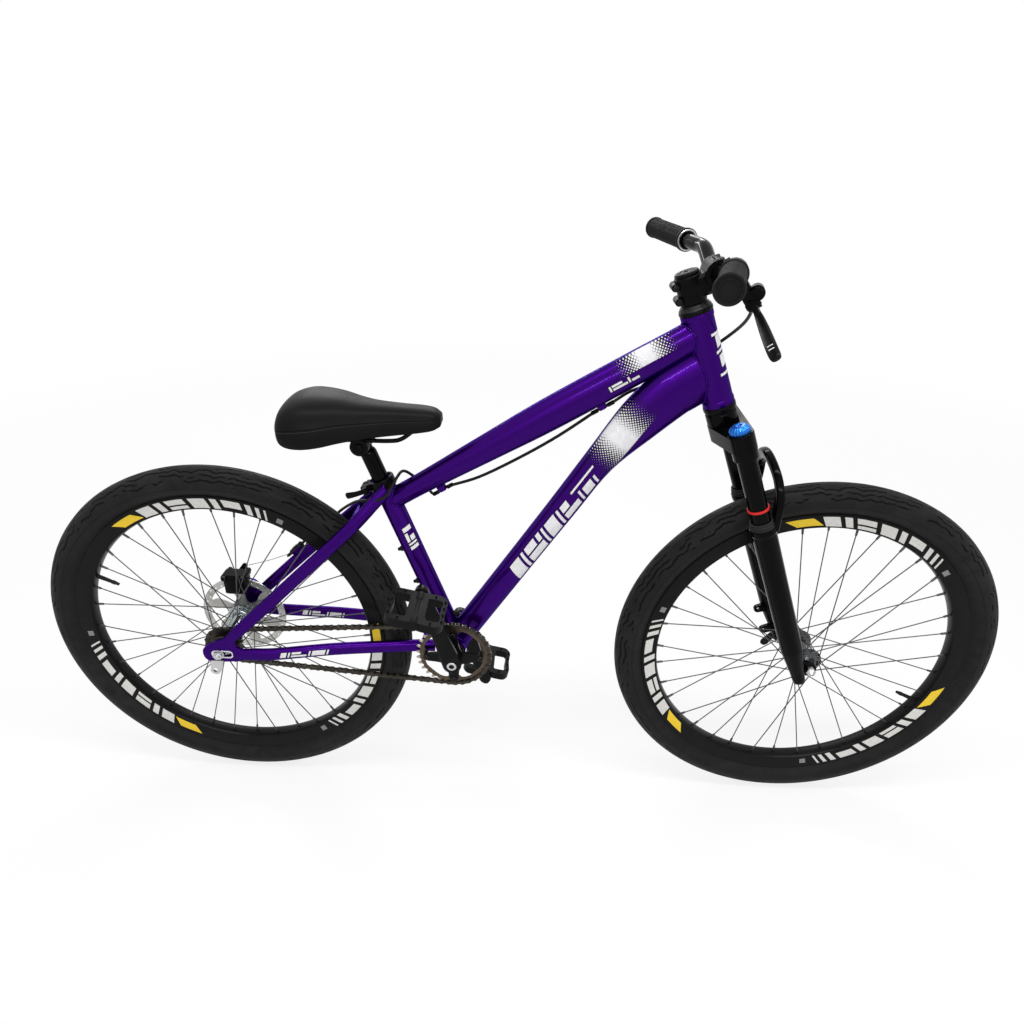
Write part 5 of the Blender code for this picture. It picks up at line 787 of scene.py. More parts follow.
lay = np.linspace(-1, 1, 9)
waist = 0.0030 + 0.0011 * lay**2
end_turn = np.linspace(-np.pi / 2, np.pi / 2, 7)[1:-1]
round_end = np.stack([PITCH / 2 + 0.0041 * np.cos(end_turn), 0.0041 * np.sin(end_turn)], -1)
edge = np.stack([lay * PITCH / 2, waist], -1)
link_outline = np.vstack([edge * (1, -1), round_end, edge[::-1], -round_end])
links = np.arange(CHAIN_LINKS)
roller_places, roller_up = chain_places(links)
next_places = chain_places(links + 1)[0]
link_ahead = unit(next_places - roller_places)
link_axes = ((roller_places + next_places) / 2, link_ahead, np.cross(link_ahead, LEFT))
groups = []
for start, near, far in ((0, 0.0017, 0.0026), (1, 0.0027, 0.0037)):
    for low, high in ((-far, -near), (near, far)):
        picked = (axes[start::2] for axes in link_axes)
        groups.append(copies(*prism(link_outline, low, high), *picked))
for radius, sides, half in ((0.0038, 10, 0.0016), (0.0017, 8, 0.0041)):
    pin = prism(circle(radius, sides), -half, half)
    groups.append(copies(*pin, roller_places, np.cross(LEFT, roller_up), roller_up))
chain_points, chain_faces, start = [], [], 0
for points, faces in groups:
    chain_points.append(points)
    chain_faces += [[i + start for i in face] for face in faces]
    start += len(points)
chain_mesh = bpy.data.meshes.new("chain_visual")
chain_mesh.from_pydata(np.vstack(chain_points), [], chain_faces)
wear(settle("chain_visual", chain_mesh, 38), chain_steel, "frame", "chain")

# Frame tubes: one weldment of drawn and formed aluminium tubes, coped onto each other, with a
# rippled weld round each joint, under metallic violet lacquer. White bars and dots are printed on.

HEAD_ANGLE, SEAT_ANGLE = math.radians(69.2), math.radians(70.35)
UP = np.array((-math.cos(HEAD_ANGLE), 0.0, math.sin(HEAD_ANGLE)))
AHEAD = np.array((math.sin(HEAD_ANGLE), 0.0, math.cos(HEAD_ANGLE)))
FOOT = FRONT_AXLE - 0.034 * AHEAD
SEAT_UP = np.array((-math.cos(SEAT_ANGLE), 0.0, math.sin(SEAT_ANGLE)))
SEAT_BACK = np.array((-math.sin(SEAT_ANGLE), 0.0, -math.cos(SEAT_ANGLE)))
# Walls that tubes end on: radius inside the wall for the tube, and at the wall for its weld
HEAD_WALL, SEAT_WALL, SHELL_WALL = (0.0212, 0.0230), (0.0158, 0.0175), (0.0186, 0.0200)


def steer(s, n=0.0, y=0.0):
    """A place s up the steering line, n ahead of it and y to the left."""
    return FOOT + s * UP + n * AHEAD + y * LEFT


def seat(s, back=0.0, y=0.0):
    """A place s up the seat tube's line, back behind it and y to the left."""
    return BB + s * SEAT_UP + back * SEAT_BACK + y * LEFT


def at(x, z, y=0.0):
    """A place x ahead of the rear axle, z above it and y to the left."""
    return REAR_AXLE + np.array((x, y, z))


def bars(finish, u, v, marks):
    """How deep inside printed bars a place is: each runs start to end along u and low to high
    along v in millimetres, and leans by a share of v."""
    depth = -1.0
    for *edges, lean in marks:
        start, end, low, high = (edge / 1000 for edge in edges)
        slid = u - v * lean
        depth = finish.most(finish.least(slid - start, end - slid, v - low, high - v), depth)
    return depth


def fading_dots(finish, u, v, start, end, low, high):
    """How deep inside a band of diamonds that fill it at its middle and shrink to its two ends."""
    size = 0.62 - abs(u - (start + end) / 2) * (0.62 / ((end - start) / 2))
    p, q = (abs((slant * 190.0) % 1.0 - 0.5) for slant in (u + v, u - v))
    return finish.least((size - finish.most(p, q)) * 0.005, v - low, high - v)


def violet(name, origin=None, along=None, marks=(), dots=()):
    """Metallic violet lacquer with flakes, orange peel and dust, and what is printed on a tube."""
    lacquer = {"Coat_Weight": 0.09, "Coat_Roughness": 0.05, "Specular_IOR_Level": 0.15}
    lacquer["Specular_Tint"] = (0.42, 0.08, 0.62, 1.0)
    made = Finish(name, (0.05, 0.004, 0.26), 0.3, 0.8, "violet_paint", **lacquer)
    flakes, peel, dust = made.noise(4200.0, 1.0), made.noise(330.0, 2.0), made.noise(34.0, 5.0)
    colour = made.mix(flakes, (0.017, 0.0003, 0.066), (0.046, 0.0006, 0.200))
    gloss, metal = 0.26 + dust * 0.12, 0.94 + dust * 0.06
    relief = made.bump(peel * 0.7 + flakes * 0.3, 0.00003, 0.35)
    if marks or dots:
        up_side = np.cross(LEFT, along)
        u, v = made.along(origin, along), made.along(origin, up_side * np.sign(up_side[2]))
        depth = bars(made, u, v, marks)
        for band in dots:
            depth = made.most(depth, fading_dots(made, u, v, *band))
        side = made.over(abs(made.along((0, 0, 0), LEFT)) - 0.0045, 0.0004)
        printed = made.over(depth, 0.00015) * side
        lined = made.over(depth + 0.0011, 0.00015) * side
        white = made.mix(made.noise(150.0, 4.0), (0.54, 0.54, 0.55), (0.72, 0.72, 0.73))
        colour = made.mix(lined, colour, (0.008, 0.006, 0.012))
        colour = made.mix(printed, colour, white)
        metal = metal * (1.0 - lined)
        gloss = gloss + lined * 0.08
        relief = made.bump(lined, 0.00004, 0.4, relief)
    made.feed(Base_Color=colour, Metallic=metal, Roughness=gloss, Normal=relief)
    return made


def coped(grid, base, axis, radius):
    """Ends an open tube on a round wall: its lines run on to the cylinder, and three smaller
    rings close it over the wall, start + t*forth at that radius from the cylinder's axis."""
    middle = grid[-1].mean(0)
    forth = unit(middle - grid[-2].mean(0))
    flat = forth - (forth @ axis) * axis
    rings = []
    for share in (1.0, 0.7, 0.35, 0.0):
        start = middle + (grid[-1] - middle) * share
        away = start - base
        away = away - (away @ axis)[:, None] * axis
        a, b, c = flat @ flat, away @ flat, (away * away).sum(1) - radius**2
        t = (-b - np.sqrt(np.maximum(b * b - a * c, 0))) / a
        rings.append(start + t[:, None] * forth)
    return np.concatenate([grid, np.stack(rings)])


def rippled(path, side, up, bead):
    """A round section on a closed path, swelling and shrinking once in four of its places."""
    turn = round_turns(8)[None, :, None]
    swell = bead * (1 + 0.13 * np.cos(np.arange(len(path)) * np.pi / 2))[:, None, None]
    return path[:, None] + swell * (np.cos(turn) * side[:, None] + np.sin(turn) * up)


def weld(grid, base, axis, radius, bead=0.0019):
    """A bead round a tube's joint with a round wall, with a ripple every few millimetres."""
    path = coped(grid, base, axis, radius)[-4]
    path = np.vstack([path, path[:1]])
    out = path - path[:-1].mean(0)
    lay = np.concatenate([[0], np.cumsum(np.linalg.norm(np.diff(path, axis=0), axis=1))])
    stations = np.linspace(0, lay[-1], int(lay[-1] / 0.0034) * 4, endpoint=False)
    place, side = (
        np.stack([np.interp(stations, lay, rows[:, k]) for k in range(3)], -1)
        for rows in (path, out)
    )
    along = unit(np.roll(place, -1, 0) - np.roll(place, 1, 0))
    side = unit(side - (side * along).sum(1, keepdims=True) * along)
    return rippled(place, side, np.cross(along, side)[:, None], bead)


def open_tube(rows):
    """A tube's open grid through rows of place (3), half height and half width."""
    run = through(rows, 5)
    return swept(run[:, :3], run[:, 3], run[:, 4], LEFT, 56, 2.15)[1:-1]


# Bars along the head tube: start, end, low and high in millimetres, and lean
HEAD_MARKS = [(-33, -29, 10, 24, 0), (-24, -6, 15, 24, 0.25), (-2, 2, 12, 24, 0.25)]
HEAD_MARKS += [(6, 24, 15, 24, 0.25), (29, 33, 10, 24, 0)]
HEAD_TUBE = [(18.5, 509.3), (24, 509.3), (24, 517.2), (23, 519), (23, 644.8), (24, 646.6)]
head_grid = turned(ring(*HEAD_TUBE, (24, 654.5), (18.5, 654.5)), FOOT, UP, 72, 0.0007)
head_violet = violet("violet_head", steer(0.589), UP, HEAD_MARKS)
piece("head_tube_visual", [head_grid], head_violet, "frame", "head_tube")

SEAT_TUBE = mm((0, 40), (13.9, 40), (13.9, 345), (17.5, 345), (17.5, 30))
SEAT_MARKS = [(211, 217, 2, 15, 0.2), (220, 223.5, 2, 15, 0.2), (226.5, 243, 2, 7, 0.2)]
SEAT_MARKS += [(226.5, 236, 9, 15, 0.2), (246, 254, 2, 15, 0.2)]
seat_free = turned(SEAT_TUBE, BB, SEAT_UP, ease=0.0006)
seat_violet = violet("violet_seat", BB, SEAT_UP, SEAT_MARKS)
seat_grid = coped(seat_free, BB, LEFT, SHELL_WALL[0])
piece("seat_tube_visual", [seat_grid], seat_violet, "frame", "seat_tube")

plain_violet = violet("violet_plain")
shell_grid = turned(ring((17.8, -34), (20, -34), (20, 34), (17.8, 34)), BB, ease=0.0006)
piece("bottom_bracket_visual", [shell_grid], plain_violet, "frame", "bottom_bracket_shell")
CUP = [(9, 30.5), (17.6, 30.5), (17.6, 37), (15, 37.3), (15, 36.2), (11.8, 36.2), (11.8, 37.1)]
cup_grids = [turned(ring(*CUP, (9, 37.1)), BB, side, 40, 0.0003) for side in (-LEFT, LEFT)]
NOTCH = mm((0, 0), (1.4, 0), (1.4, 1), (0, 1.2))
notch_places = BB + facing(np.arange(8) * 45 + 10) * 0.0134 - 0.0360 * LEFT
cup_grids += beads(notch_places, [-LEFT] * 8, NOTCH, 8)
piece("bottom_bracket_cups", cup_grids, chain_steel, "frame")

TOP_START, TOP_END = seat(0.3045), steer(0.6235)
TOP_ALONG = unit(TOP_END - TOP_START)
TOP_UP = np.cross(LEFT, TOP_ALONG) * np.sign(np.cross(LEFT, TOP_ALONG)[2])
# Share of the tube's length, half height and half width
TOP_ROWS = [(0.075, 0.0174, 0.0168), (0.14, 0.0180, 0.0175), (0.35, 0.0225, 0.0195)]
TOP_ROWS += [(0.55, 0.0262, 0.0205), (0.80, 0.0255, 0.0205), (0.915, 0.0244, 0.0202)]
TOP_MARKS = [(404, 407, -10, -1, 0), (409, 433, -10, -6.2, 0), (409, 426, -4.5, -1, 0)]
TOP_MARKS += [(435, 438, -10, -1, 0), (440, 452, -10, -6.2, 0)]
top_free = open_tube([(*(TOP_START + t * (TOP_END - TOP_START)), h, w) for t, h, w in TOP_ROWS])
top_grid = coped(top_free, FOOT, UP, HEAD_WALL[0])
top_grid = coped(top_grid[::-1], BB, SEAT_UP, SEAT_WALL[0])
top_violet = violet("violet_top", TOP_START, TOP_ALONG, TOP_MARKS, [(0.425, 0.522, 0.002, 0.040)])


def block(place, sizes, x, z, ease=0.0015):
    """A block with rounded edges about a place: sizes along x, across, and along z."""
    a, b, c = (size / 2 for size in sizes)
    outline = eased([(-a, b), (-a, -b), (a, -b), (a, b), (-a, b), (-a, -b)], ease)[1:-1]
    outline = outline[np.append(True, np.linalg.norm(np.diff(outline, axis=0), axis=1) > 1e-6)]
    inset = min(ease, c / 2)
    shrink = 1 - 2 * inset / np.array(sizes[:2])
    y = np.cross(z, x)
    rows = []
    for scale, lift in ((0, -c), (shrink, -c), (1, inset - c), (1, c - inset), (shrink, c), (0, c)):
        flat = outline * scale
        rows.append(place + flat[:, :1] * x + flat[:, 1:] * y + lift * z)
    return np.stack(rows)


def under_top(share, below):
    """A place at a share of the top tube's length and so far below its middle line."""
    return TOP_START + share * (TOP_END - TOP_START) - below * TOP_UP


CABLE_GUIDES = [under_top(0.6826, 0.0316), under_top(0.1566, 0.0269)]
top_parts = [top_grid]
for guide in CABLE_GUIDES:
    sizes = (0.0145, 0.0115, 0.0130)
    top_parts.append(block(guide + 0.0040 * TOP_UP, sizes, TOP_ALONG, TOP_UP, 0.0024))
piece("top_tube_visual", top_parts, top_violet, "frame", "top_tube")

# Distance ahead of the steering line and up it, half height and half width, in millimetres
DOWN_ROWS = [(-400, 330.5, 22.7, 22.5), (-370, 352.4, 22.7, 22.5), (-280, 418, 23.3, 22.5)]
DOWN_ROWS += [(-198, 478, 24.8, 22.5), (-121.5, 522.4, 36.2, 21.5), (-65.7, 548.5, 40.5, 20.5)]
down_rows = mm(*DOWN_ROWS, (-48, 553.8, 41.2, 20.2))
shell_row = np.array([(BB - FOOT) @ AHEAD, (BB - FOOT) @ UP, *down_rows[0, 2:]])
down_rows = np.vstack([shell_row + (down_rows[0] - shell_row) * 0.35, down_rows])
down_free = open_tube([(*steer(s, n), high, wide) for n, s, high, wide in down_rows])
down_grid = coped(down_free, FOOT, UP, HEAD_WALL[0])
down_grid = coped(down_grid[::-1], BB, LEFT, SHELL_WALL[0])
DOWN_MARKS = [(195, 221, -16, 12), (226.5, 232.5, -16, 12), (238, 280, -16, -3), (238, 265, 0, 12)]
DOWN_MARKS += [(270.5, 280, 0, 12), (285.5, 290.5, -16, 11.5), (296, 322, -16, 11)]
DOWN_MARKS += [(327.5, 333, -15.5, 10), (338.5, 376, -15.5, -5), (338.5, 356, -2, 9)]
DOWN_MARKS += [(381.5, 386, -15.5, 2), (391.5, 413, -15, 0), (418.5, 423, -15, -1)]
DOWN_MARKS = [(*edges, 0.35) for edges in [*DOWN_MARKS, (370, 430, 7.5, 10.5)]]
down_along = unit(steer(0.4780, -0.1980) - BB)
down_violet = violet("violet_down", BB, down_along, DOWN_MARKS, [(0.437, 0.556, -0.021, 0.036)])
piece("down_tube_visual", [down_grid], down_violet, "frame", "down_tube")

# Rear triangle: swaged stays with their bridges, forged dropouts with long axle slots, a steel
# hanger, and the studs and bosses of the frame. The housing ends in a barrel on the left seatstay.

# Ahead of the rear axle, above it and to the side, half height and half width, in millimetres
SEATSTAY = [(24, 30.5, 70.8, 8.5, 4.5), (34, 40.5, 70.2, 10, 6.2), (55, 61, 69, 11, 8)]
SEATSTAY += [(164.8, 165.4, 60, 11, 8), (252.5, 246.9, 45, 11, 8.5), (295, 290.5, 29, 10.8, 8.5)]
CHAINSTAY = [(26, -2, 70.5, 9, 4.5), (40, -2, 69.6, 10.8, 6.5), (60, -1.5, 68.5, 11.5, 8.2)]
CHAINSTAY += [(100, -1, 66.5, 11.5, 8.5), (201.6, 5, 54, 11.5, 8.5), (300, 5.5, 41.5, 11.5, 8.5)]
CHAINSTAY += [(352, 2, 31, 11.5, 8.5), (382, -0.4, 26.2, 11.5, 8.5)]
CHAINSTAY_MARKS = [(112, 122, -5, 5), (125, 128, -5, 5), (131, 158, -5, -1), (131, 147, 1, 5)]
CHAINSTAY_MARKS += [(161, 164, -5, 5), (167, 190, -5, 5), (193, 196, -5, 5)]
CHAINSTAY_MARKS = [(*edges, 0.4) for edges in CHAINSTAY_MARKS]
# The bridges on the left: middle, how far it reaches to the side, and how much short at the right
SEAT_BRIDGE = (at(0.2525, 0.2469), 0.0450, 0.0125)
CHAIN_BRIDGE = (at(0.362, 0.0015), 0.0293, 0.0100)
stay_along = unit(at(0.2016, 0.0050) - at(0.060, -0.0015))
stay_violet = violet("violet_chainstay", at(0.0, -0.0040), stay_along, CHAINSTAY_MARKS)
welds = []
for side, sign in (("right", -1), ("left", 1)):
    for kind, rows, bridge, finish in (
        ("seatstay", SEATSTAY, SEAT_BRIDGE, plain_violet),
        ("chainstay", CHAINSTAY, CHAIN_BRIDGE, stay_violet),
    ):
        run = through([(*at(x, z, y * sign), high, wide) for x, z, y, high, wide in mm(*rows)], 6)
        closed = swept(run[:, :3], run[:, 3], run[:, 4], LEFT, 36, 2.3)
        parts = [closed]
        if kind == "seatstay":
            parts = [coped(closed[:-1], BB, SEAT_UP, 0.0160)]
            welds.append(weld(closed[1:-1], BB, SEAT_UP, SEAT_WALL[1], 0.0015))
        if side == "left":
            place, reach, short = bridge
            span = 2 * reach - short
            tube = [(0.0, 0.0), (0.0060, 0.0), (0.0060, span), (0.0, span)]
            parts.append(turned(tube, place + (short - reach) * LEFT, steps=24))
            for end in (short - reach + 0.0018, reach - 0.0075):
                out = facing(np.arange(44) * 360 / 44)
                welds.append(rippled(place + end * LEFT + 0.0064 * out, out, LEFT, 0.0014))
        piece(f"{kind}_{side}_visual", parts, finish, "frame", f"{kind}_{side}")
for free, base, axis, wall in (
    (top_free, FOOT, UP, HEAD_WALL),
    (top_free[::-1], BB, SEAT_UP, SEAT_WALL),
    (down_free, FOOT, UP, HEAD_WALL),
    (down_free[::-1], BB, LEFT, SHELL_WALL),
    (seat_free, BB, LEFT, SHELL_WALL),
):
    welds.append(weld(free, base, axis, wall[1]))
piece("weld_beads", welds, plain_violet, "frame", rows_close=True, sharp=80)


def rounded(outline, *eases):
    """A closed outline with its corners rounded, once for each ease."""
    p = np.array(outline, float)
    for ease in eases:
        p = eased(np.vstack([p[-1], p, p[0]]), ease)[1:-1]
    return p


def slotted(radius, start=-0.0047, end=0.0187):
    """The outline round two circles of one radius, a level slot from start to end."""
    turn = np.linspace(-np.pi / 2, np.pi / 2, 20)
    half = np.stack([np.cos(turn), np.sin(turn)], -1) * radius
    return np.vstack([half + (end, 0.0), (start, 0.0) - half])


LOW_EDGE = [(-16, 20), (-28, 10), (-28, -8), (-18, -18), (20, -16), (48, -12), (48, 8)]
DROPOUTS = {
    "right": [(30, 18), (34, 30), (48, 44), (33, 53), (12, 32)],
    "left": [(30, 20), (34, 32), (46, 45), (30, 54), (22, 66), (4, 66), (-2, 26)],
}
# Painted highlight: a thin bright silver rim round each axle slot stands for the light along the
# slot's edge.
slot_rim = polished("slot_rim", (0.60, 0.60, 0.61), (0.80, 0.80, 0.81), 0.3, "silver_alloy")
for side, sign in (("right", -1), ("left", 1)):
    outlines = [rounded(mm(*LOW_EDGE, *DROPOUTS[side]), 0.006, 0.0018), slotted(0.0053)]
    place = (REAR_AXLE + sign * 0.0708 * LEFT, AHEAD_X, UP_Z)
    worn = (plain_violet, "frame", f"dropout_{side}")
    plate(f"dropout_{side}_visual", outlines, 0.0060, place, *worn, ease=0.0008)
    # The painted highlight round the slot, a polished silver ring on the dropout's outer face.
    place = (REAR_AXLE + sign * 0.0736 * LEFT, AHEAD_X, UP_Z)
    rim = [slotted(0.0082), slotted(0.0054)]
    plate(f"slot_rim_{side}", rim, 0.0009, place, slot_rim, "frame", ease=0.0002)

EYE = np.array((-0.010, -0.033))
eye_edge = polar([(0.0095, turn) for turn in np.linspace(-0.25, -np.pi + 0.15, 24)]) + EYE
hanger = [np.vstack([mm((-14, -11.5), (8, -11.5)), eye_edge]), circle(0.0045, 24, EYE)]
place = (REAR_AXLE - 0.07615 * LEFT, AHEAD_X, UP_Z)
worn = (silver, "frame", "derailleur_hanger")
plate("hanger_visual", hanger, 0.0040, place, *worn, ease=0.0006)

black_alloy = Finish(
    "satin_black_alloy", (0.014, 0.014, 0.015), 0.36, 0.0, "satin_black", Specular_IOR_Level=0.12
)
pits, smudges = black_alloy.noise(900.0, 3.0), black_alloy.noise(45.0, 4.0)
black_alloy.feed(
    Base_Color=black_alloy.mix(smudges, (0.005, 0.005, 0.006), (0.015, 0.015, 0.016)),
    Roughness=0.26 + smudges * 0.22,
    Normal=black_alloy.bump(pits, 0.00004, 0.5),
)
barrel_front, barrel_back = at(0.1290, 0.1551, 0.0590), at(0.1080, 0.1352, 0.0605)
barrel_long = 1000 * np.linalg.norm(barrel_back - barrel_front)  # In millimetres, for its profile
barrel_along = unit(barrel_back - barrel_front)
barrel_side = unit(np.cross(LEFT, barrel_along))
foot_middle = (barrel_front + barrel_back) / 2 - 0.0050 * barrel_side
foot_grid = block(foot_middle, (0.024, 0.014, 0.011), barrel_along, barrel_side)
piece("barrel_foot", [foot_grid], plain_violet, "frame")
BARREL = [(3, 0), (5.8, 0), (5.8, 5), (5, 5.6), (5, 9), (6, 9.6), (6, 21), (5.2, 21.6)]
BARREL = ring(*BARREL, (5.2, barrel_long), (3, barrel_long))
NIPPLE = ring((0.7, -2), (3.2, 0), (3, 10), (1.8, 15), (0.7, 15.2))
barrel_parts = [turned(BARREL, barrel_front, barrel_along, 28, 0.0003)]
barrel_parts.append(turned(NIPPLE, barrel_back - 0.001 * barrel_along, barrel_along))
piece("cable_barrel", barrel_parts, black_alloy, "frame")

STUD = mm((0, 0), (5, 0), (5, 4), (3.6, 4.8), (3, 9), (2, 10), (0, 10))
stud_places = [seat(0.0560, -0.0170), seat(0.2118, 0.0170), seat(0.1419, 0.0170)]
stud_grids = beads(stud_places, [-SEAT_BACK, SEAT_BACK, SEAT_BACK], STUD, 20)
piece("frame_studs", stud_grids, black_alloy, "frame")

# Suspension fork: a forged crown pressed on the steerer and the stanchions, a cast magnesium
# lower with its arch, ears and brake tabs, ridged wipers, a red travel ring and a blue knob.

LEG_N, LEG_Y = 0.0120, 0.0625


def coated(name, low, high, roughness, metallic=0.0, shine=0.11, grain=700.0, **more):
    """Paint, anodising or moulded skin: smudges shift its colour and gloss, a grain roughens it."""
    depth = more.pop("depth", 0.00003)
    made = Finish(name, high, roughness, metallic, Specular_IOR_Level=shine, **more)
    pits, smudges = made.noise(grain, 3.0), made.noise(42.0, 4.0)
    made.feed(
        Base_Color=made.mix(smudges, low, high),
        Roughness=roughness - 0.06 + smudges * 0.16,
        Normal=made.bump(pits, depth, 0.5),
    )
    return made


def hulled(*outlines):
    """The outline round several outlines."""
    points = np.vstack(outlines)
    return points[convex_hull_2d(points.tolist())]


def fluted(grid, origin, axis, count, share):
    """A turned grid with flutes: its reach times 1 - share*(1 + cos(count*turn))/2."""
    away = grid - origin
    high = (away @ axis)[..., None] * axis
    swell = 1 - share * (1 + np.cos(count * round_turns(grid.shape[1]))) / 2
    return origin + high + (away - high) * swell[None, :, None]


gloss_black = coated(
    "gloss_black", (0.0006, 0.0006, 0.0007), (0.0018, 0.0018, 0.0020), 0.12, shine=0.06
)
wiper_rubber = coated("wiper_rubber", 0.012, 0.020, 0.6, shine=0.12, slot="rubber")
blue = coated("blue_anodised", (0.010, 0.10, 0.42), (0.02, 0.20, 0.72), 0.26, 0.75, 0.5)
red = coated("red_rubber", (0.42, 0.008, 0.006), (0.62, 0.018, 0.012), 0.45, shine=0.3)

clasps = [circle(0.0196, 60, (LEG_N, y)) for y in (LEG_Y, -LEG_Y)]
crown_outline = hulled(circle(0.0246, 60), *clasps)
worn = (gloss_black, "steering", "fork_crown")
crown_place = (steer(0.4650), AHEAD, LEFT)
crown = plate("fork_crown_visual", [crown_outline], 0.0260, crown_place, *worn, ease=0.0042)
crown.modifiers["eased_edges"].segments = 4
STEERER = mm((0, 466), (24, 466), (24, 495.5), (22.2, 499), (21.5, 500), (14.3, 500))
STEERER = np.vstack([STEERER, mm((14.3, 707.5), (0, 707.5))])
SLEEVE = ring((15.2, 437), (18, 437), (19, 438.2), (19, 478.5), (18, 480), (15.2, 480))
LEGS = {side: steer(0, LEG_N, sign * LEG_Y) for side, sign in (("right", -1), ("left", 1))}
crown_parts = [turned(STEERER, FOOT, UP, 56, 0.0006)]
crown_parts += [turned(SLEEVE, line, UP, 48, 0.0004) for line in LEGS.values()]
piece("crown_sleeves", crown_parts, gloss_black, "steering")

STANCHION = mm((0, 165), (14.2, 165), (15, 166), (15, 479), (0, 479))
LEG_CAP = [(0, 487), (4, 487), (4.4, 489), (12, 489), (15.5, 486.2), (15.5, 480.3), (0, 480.3)]
for side, line in LEGS.items():
    grids = [turned(STANCHION, line, UP, 48)]
    if side == "left":
        grids.append(turned(mm(*LEG_CAP), line, UP, 40, 0.0005))
    worn = (gloss_black, "steering", f"fork_stanchion_{side}")
    piece(f"stanchion_{side}_visual", grids, *worn)
KNOB = [(0, 490.5), (4, 490.5), (4.6, 491.8), (10, 491.4), (15, 487.2), (15.5, 485.5)]
knob_grid = turned(mm(*KNOB, (15.5, 480.3), (0, 480.3)), LEGS["right"], UP, 120, 0.0005)
knob_grid[8:] = fluted(knob_grid, LEGS["right"], UP, 20, 0.07)[8:]
piece("fork_knob_visual", [knob_grid], blue, "fork_knob", "fork_knob", sharp=38)
TRAVEL_RING = ring((15.3, 346), (16.7, 346), (17, 346.4), (17, 349.6), (16.7, 350), (15.3, 350))
travel_ring = turned(TRAVEL_RING, LEGS["right"], UP, 48)
piece("travel_ring_visual", [travel_ring], red, "travel_ring", "fork_travel_ring")

LOWER_LEG = [(0, 60), (15.3, 60), (15.3, 314), (20.5, 314), (20.5, 305), (19.3, 301), (18.7, 200)]
LOWER_LEG += [(18.2, 60), (15, 33), (12.3, 10), (11.2, -6), (10.5, -14), (6, -14), (5.5, -12)]
WIPER = [(15.3, 314.2), (19.6, 314.2), (19.6, 316), (18, 316.6), (18, 318), (19, 318.8)]
WIPER += [(19, 320.6), (17.6, 321.4), (17.6, 322.8), (18.3, 323.8), (18, 325.5), (16, 326)]
# The arch from one leg to its top: up the steering line, ahead of it and to the side
ARCH = mm((305, 28, 62.5), (345, 44.5, 60), (370, 51, 52), (388, 53.5, 34), (398, 54.5, 0))
ARCH = np.vstack([ARCH, ARCH[-2::-1] * (1, 1, -1)])
arch_path = through([steer(*row) for row in ARCH], 6)
arch_high = 0.0098 + 0.0012 * np.abs(np.linspace(-1, 1, len(arch_path)))
lower_parts = [turned(mm(*LOWER_LEG, (0, -12)), line, UP, 56, 0.0008) for line in LEGS.values()]
lower_parts.append(swept(arch_path, arch_high, 0.0068, AHEAD, 32, 3.2))
piece("fork_lowers_visual", lower_parts, gloss_black, "fork_lower", "fork_lowers", sharp=34)
wiper_parts = [turned(ring(*WIPER, (15.3, 325.2)), line, UP, 48, 0.0002) for line in LEGS.values()]
piece("fork_wipers", wiper_parts, wiper_rubber, "fork_lower", sharp=34)
ear_outline = hulled(circle(0.0120, 48, (0.0340, 0.0)), circle(0.0095, 40, (0.0140, 0.0200)))
ear_outline = hulled(ear_outline, circle(0.0095, 40, (0.0130, -0.0010)))
for side, sign in (("right", -1), ("left", 1)):
    outlines = [ear_outline, circle(0.0053, 32, (0.0340, 0.0))]
    place = (steer(0, 0, sign * 0.05325), AHEAD, UP)
    plate(f"fork_ear_{side}", outlines, 0.0065, place, gloss_black, "fork_lower", ease=0.0012)
for k, s in enumerate((0.0237, 0.0736)):
    outline = hulled(circle(0.0075, 32, (-0.0136, s)), circle(0.0085, 32, (-0.0010, s)))
    outlines = [outline, circle(0.0031, 20, (-0.0136, s))]
    place = (steer(0, 0, 0.0500), AHEAD, UP)
    tab = plate(f"brake_tab_{k}", outlines, 0.0060, place, gloss_black, "fork_lower", ease=0.0009)
    # The tab's inner end is pushed out of the leg, onto a cylinder about the leg's line
    spots = np.empty(len(tab.data.vertices) * 3, np.float32)
    tab.data.vertices.foreach_get("co", spots)
    away = spots.reshape(-1, 3) - LEGS["left"]
    high = (away @ UP)[:, None] * UP
    from_leg = np.linalg.norm(away - high, axis=1, keepdims=True)
    away = high + (away - high) * np.maximum(1.0, 0.0165 / from_leg)
    spots = np.ascontiguousarray(LEGS["left"] + away, np.float32)
    tab.data.vertices.foreach_set("co", spots.ravel())
    tab.data.update()

# Headset and stem: pressed black cups and a grey cover, a forged and machined stem on the steerer
# with two rear bolts, a four-bolt faceplate and a ridged cap.

satin = coated("satin_black", (0.0012, 0.0012, 0.0014), (0.0036, 0.0036, 0.0040), 0.26, shine=0.06)
dark_grey = coated("dark_grey", (0.010, 0.010, 0.011), (0.034, 0.034, 0.036), 0.34, 0.7, 0.15)
LOW_CUP = [(14.6, 500.3), (23.8, 500.3), (24.8, 501.5), (24.8, 507.6), (24.3, 509), (14.6, 509)]
HIGH_CUP = [(14.6, 654.8), (24.3, 654.8), (24.8, 656), (24.8, 658.8), (23.8, 660), (14.6, 660)]
COVER = [(14.6, 660.3), (23.6, 660.3), (23.8, 661.8), (22.2, 663.4), (20.5, 666.4), (18.7, 667.2)]
COVER += [(18.5, 668.3), (14.6, 668.3)]
for name, profile, finish, body, node in (
    ("lower_cup_visual", LOW_CUP, satin, "frame", "headset_lower_cup"),
    ("upper_cup_visual", HIGH_CUP, satin, "frame", "headset_upper_cup"),
    ("headset_cover_visual", COVER, dark_grey, "steering", "headset_cover"),
):
    piece(name, [turned(ring(*profile), FOOT, UP, 72, 0.0006)], finish, body, node)

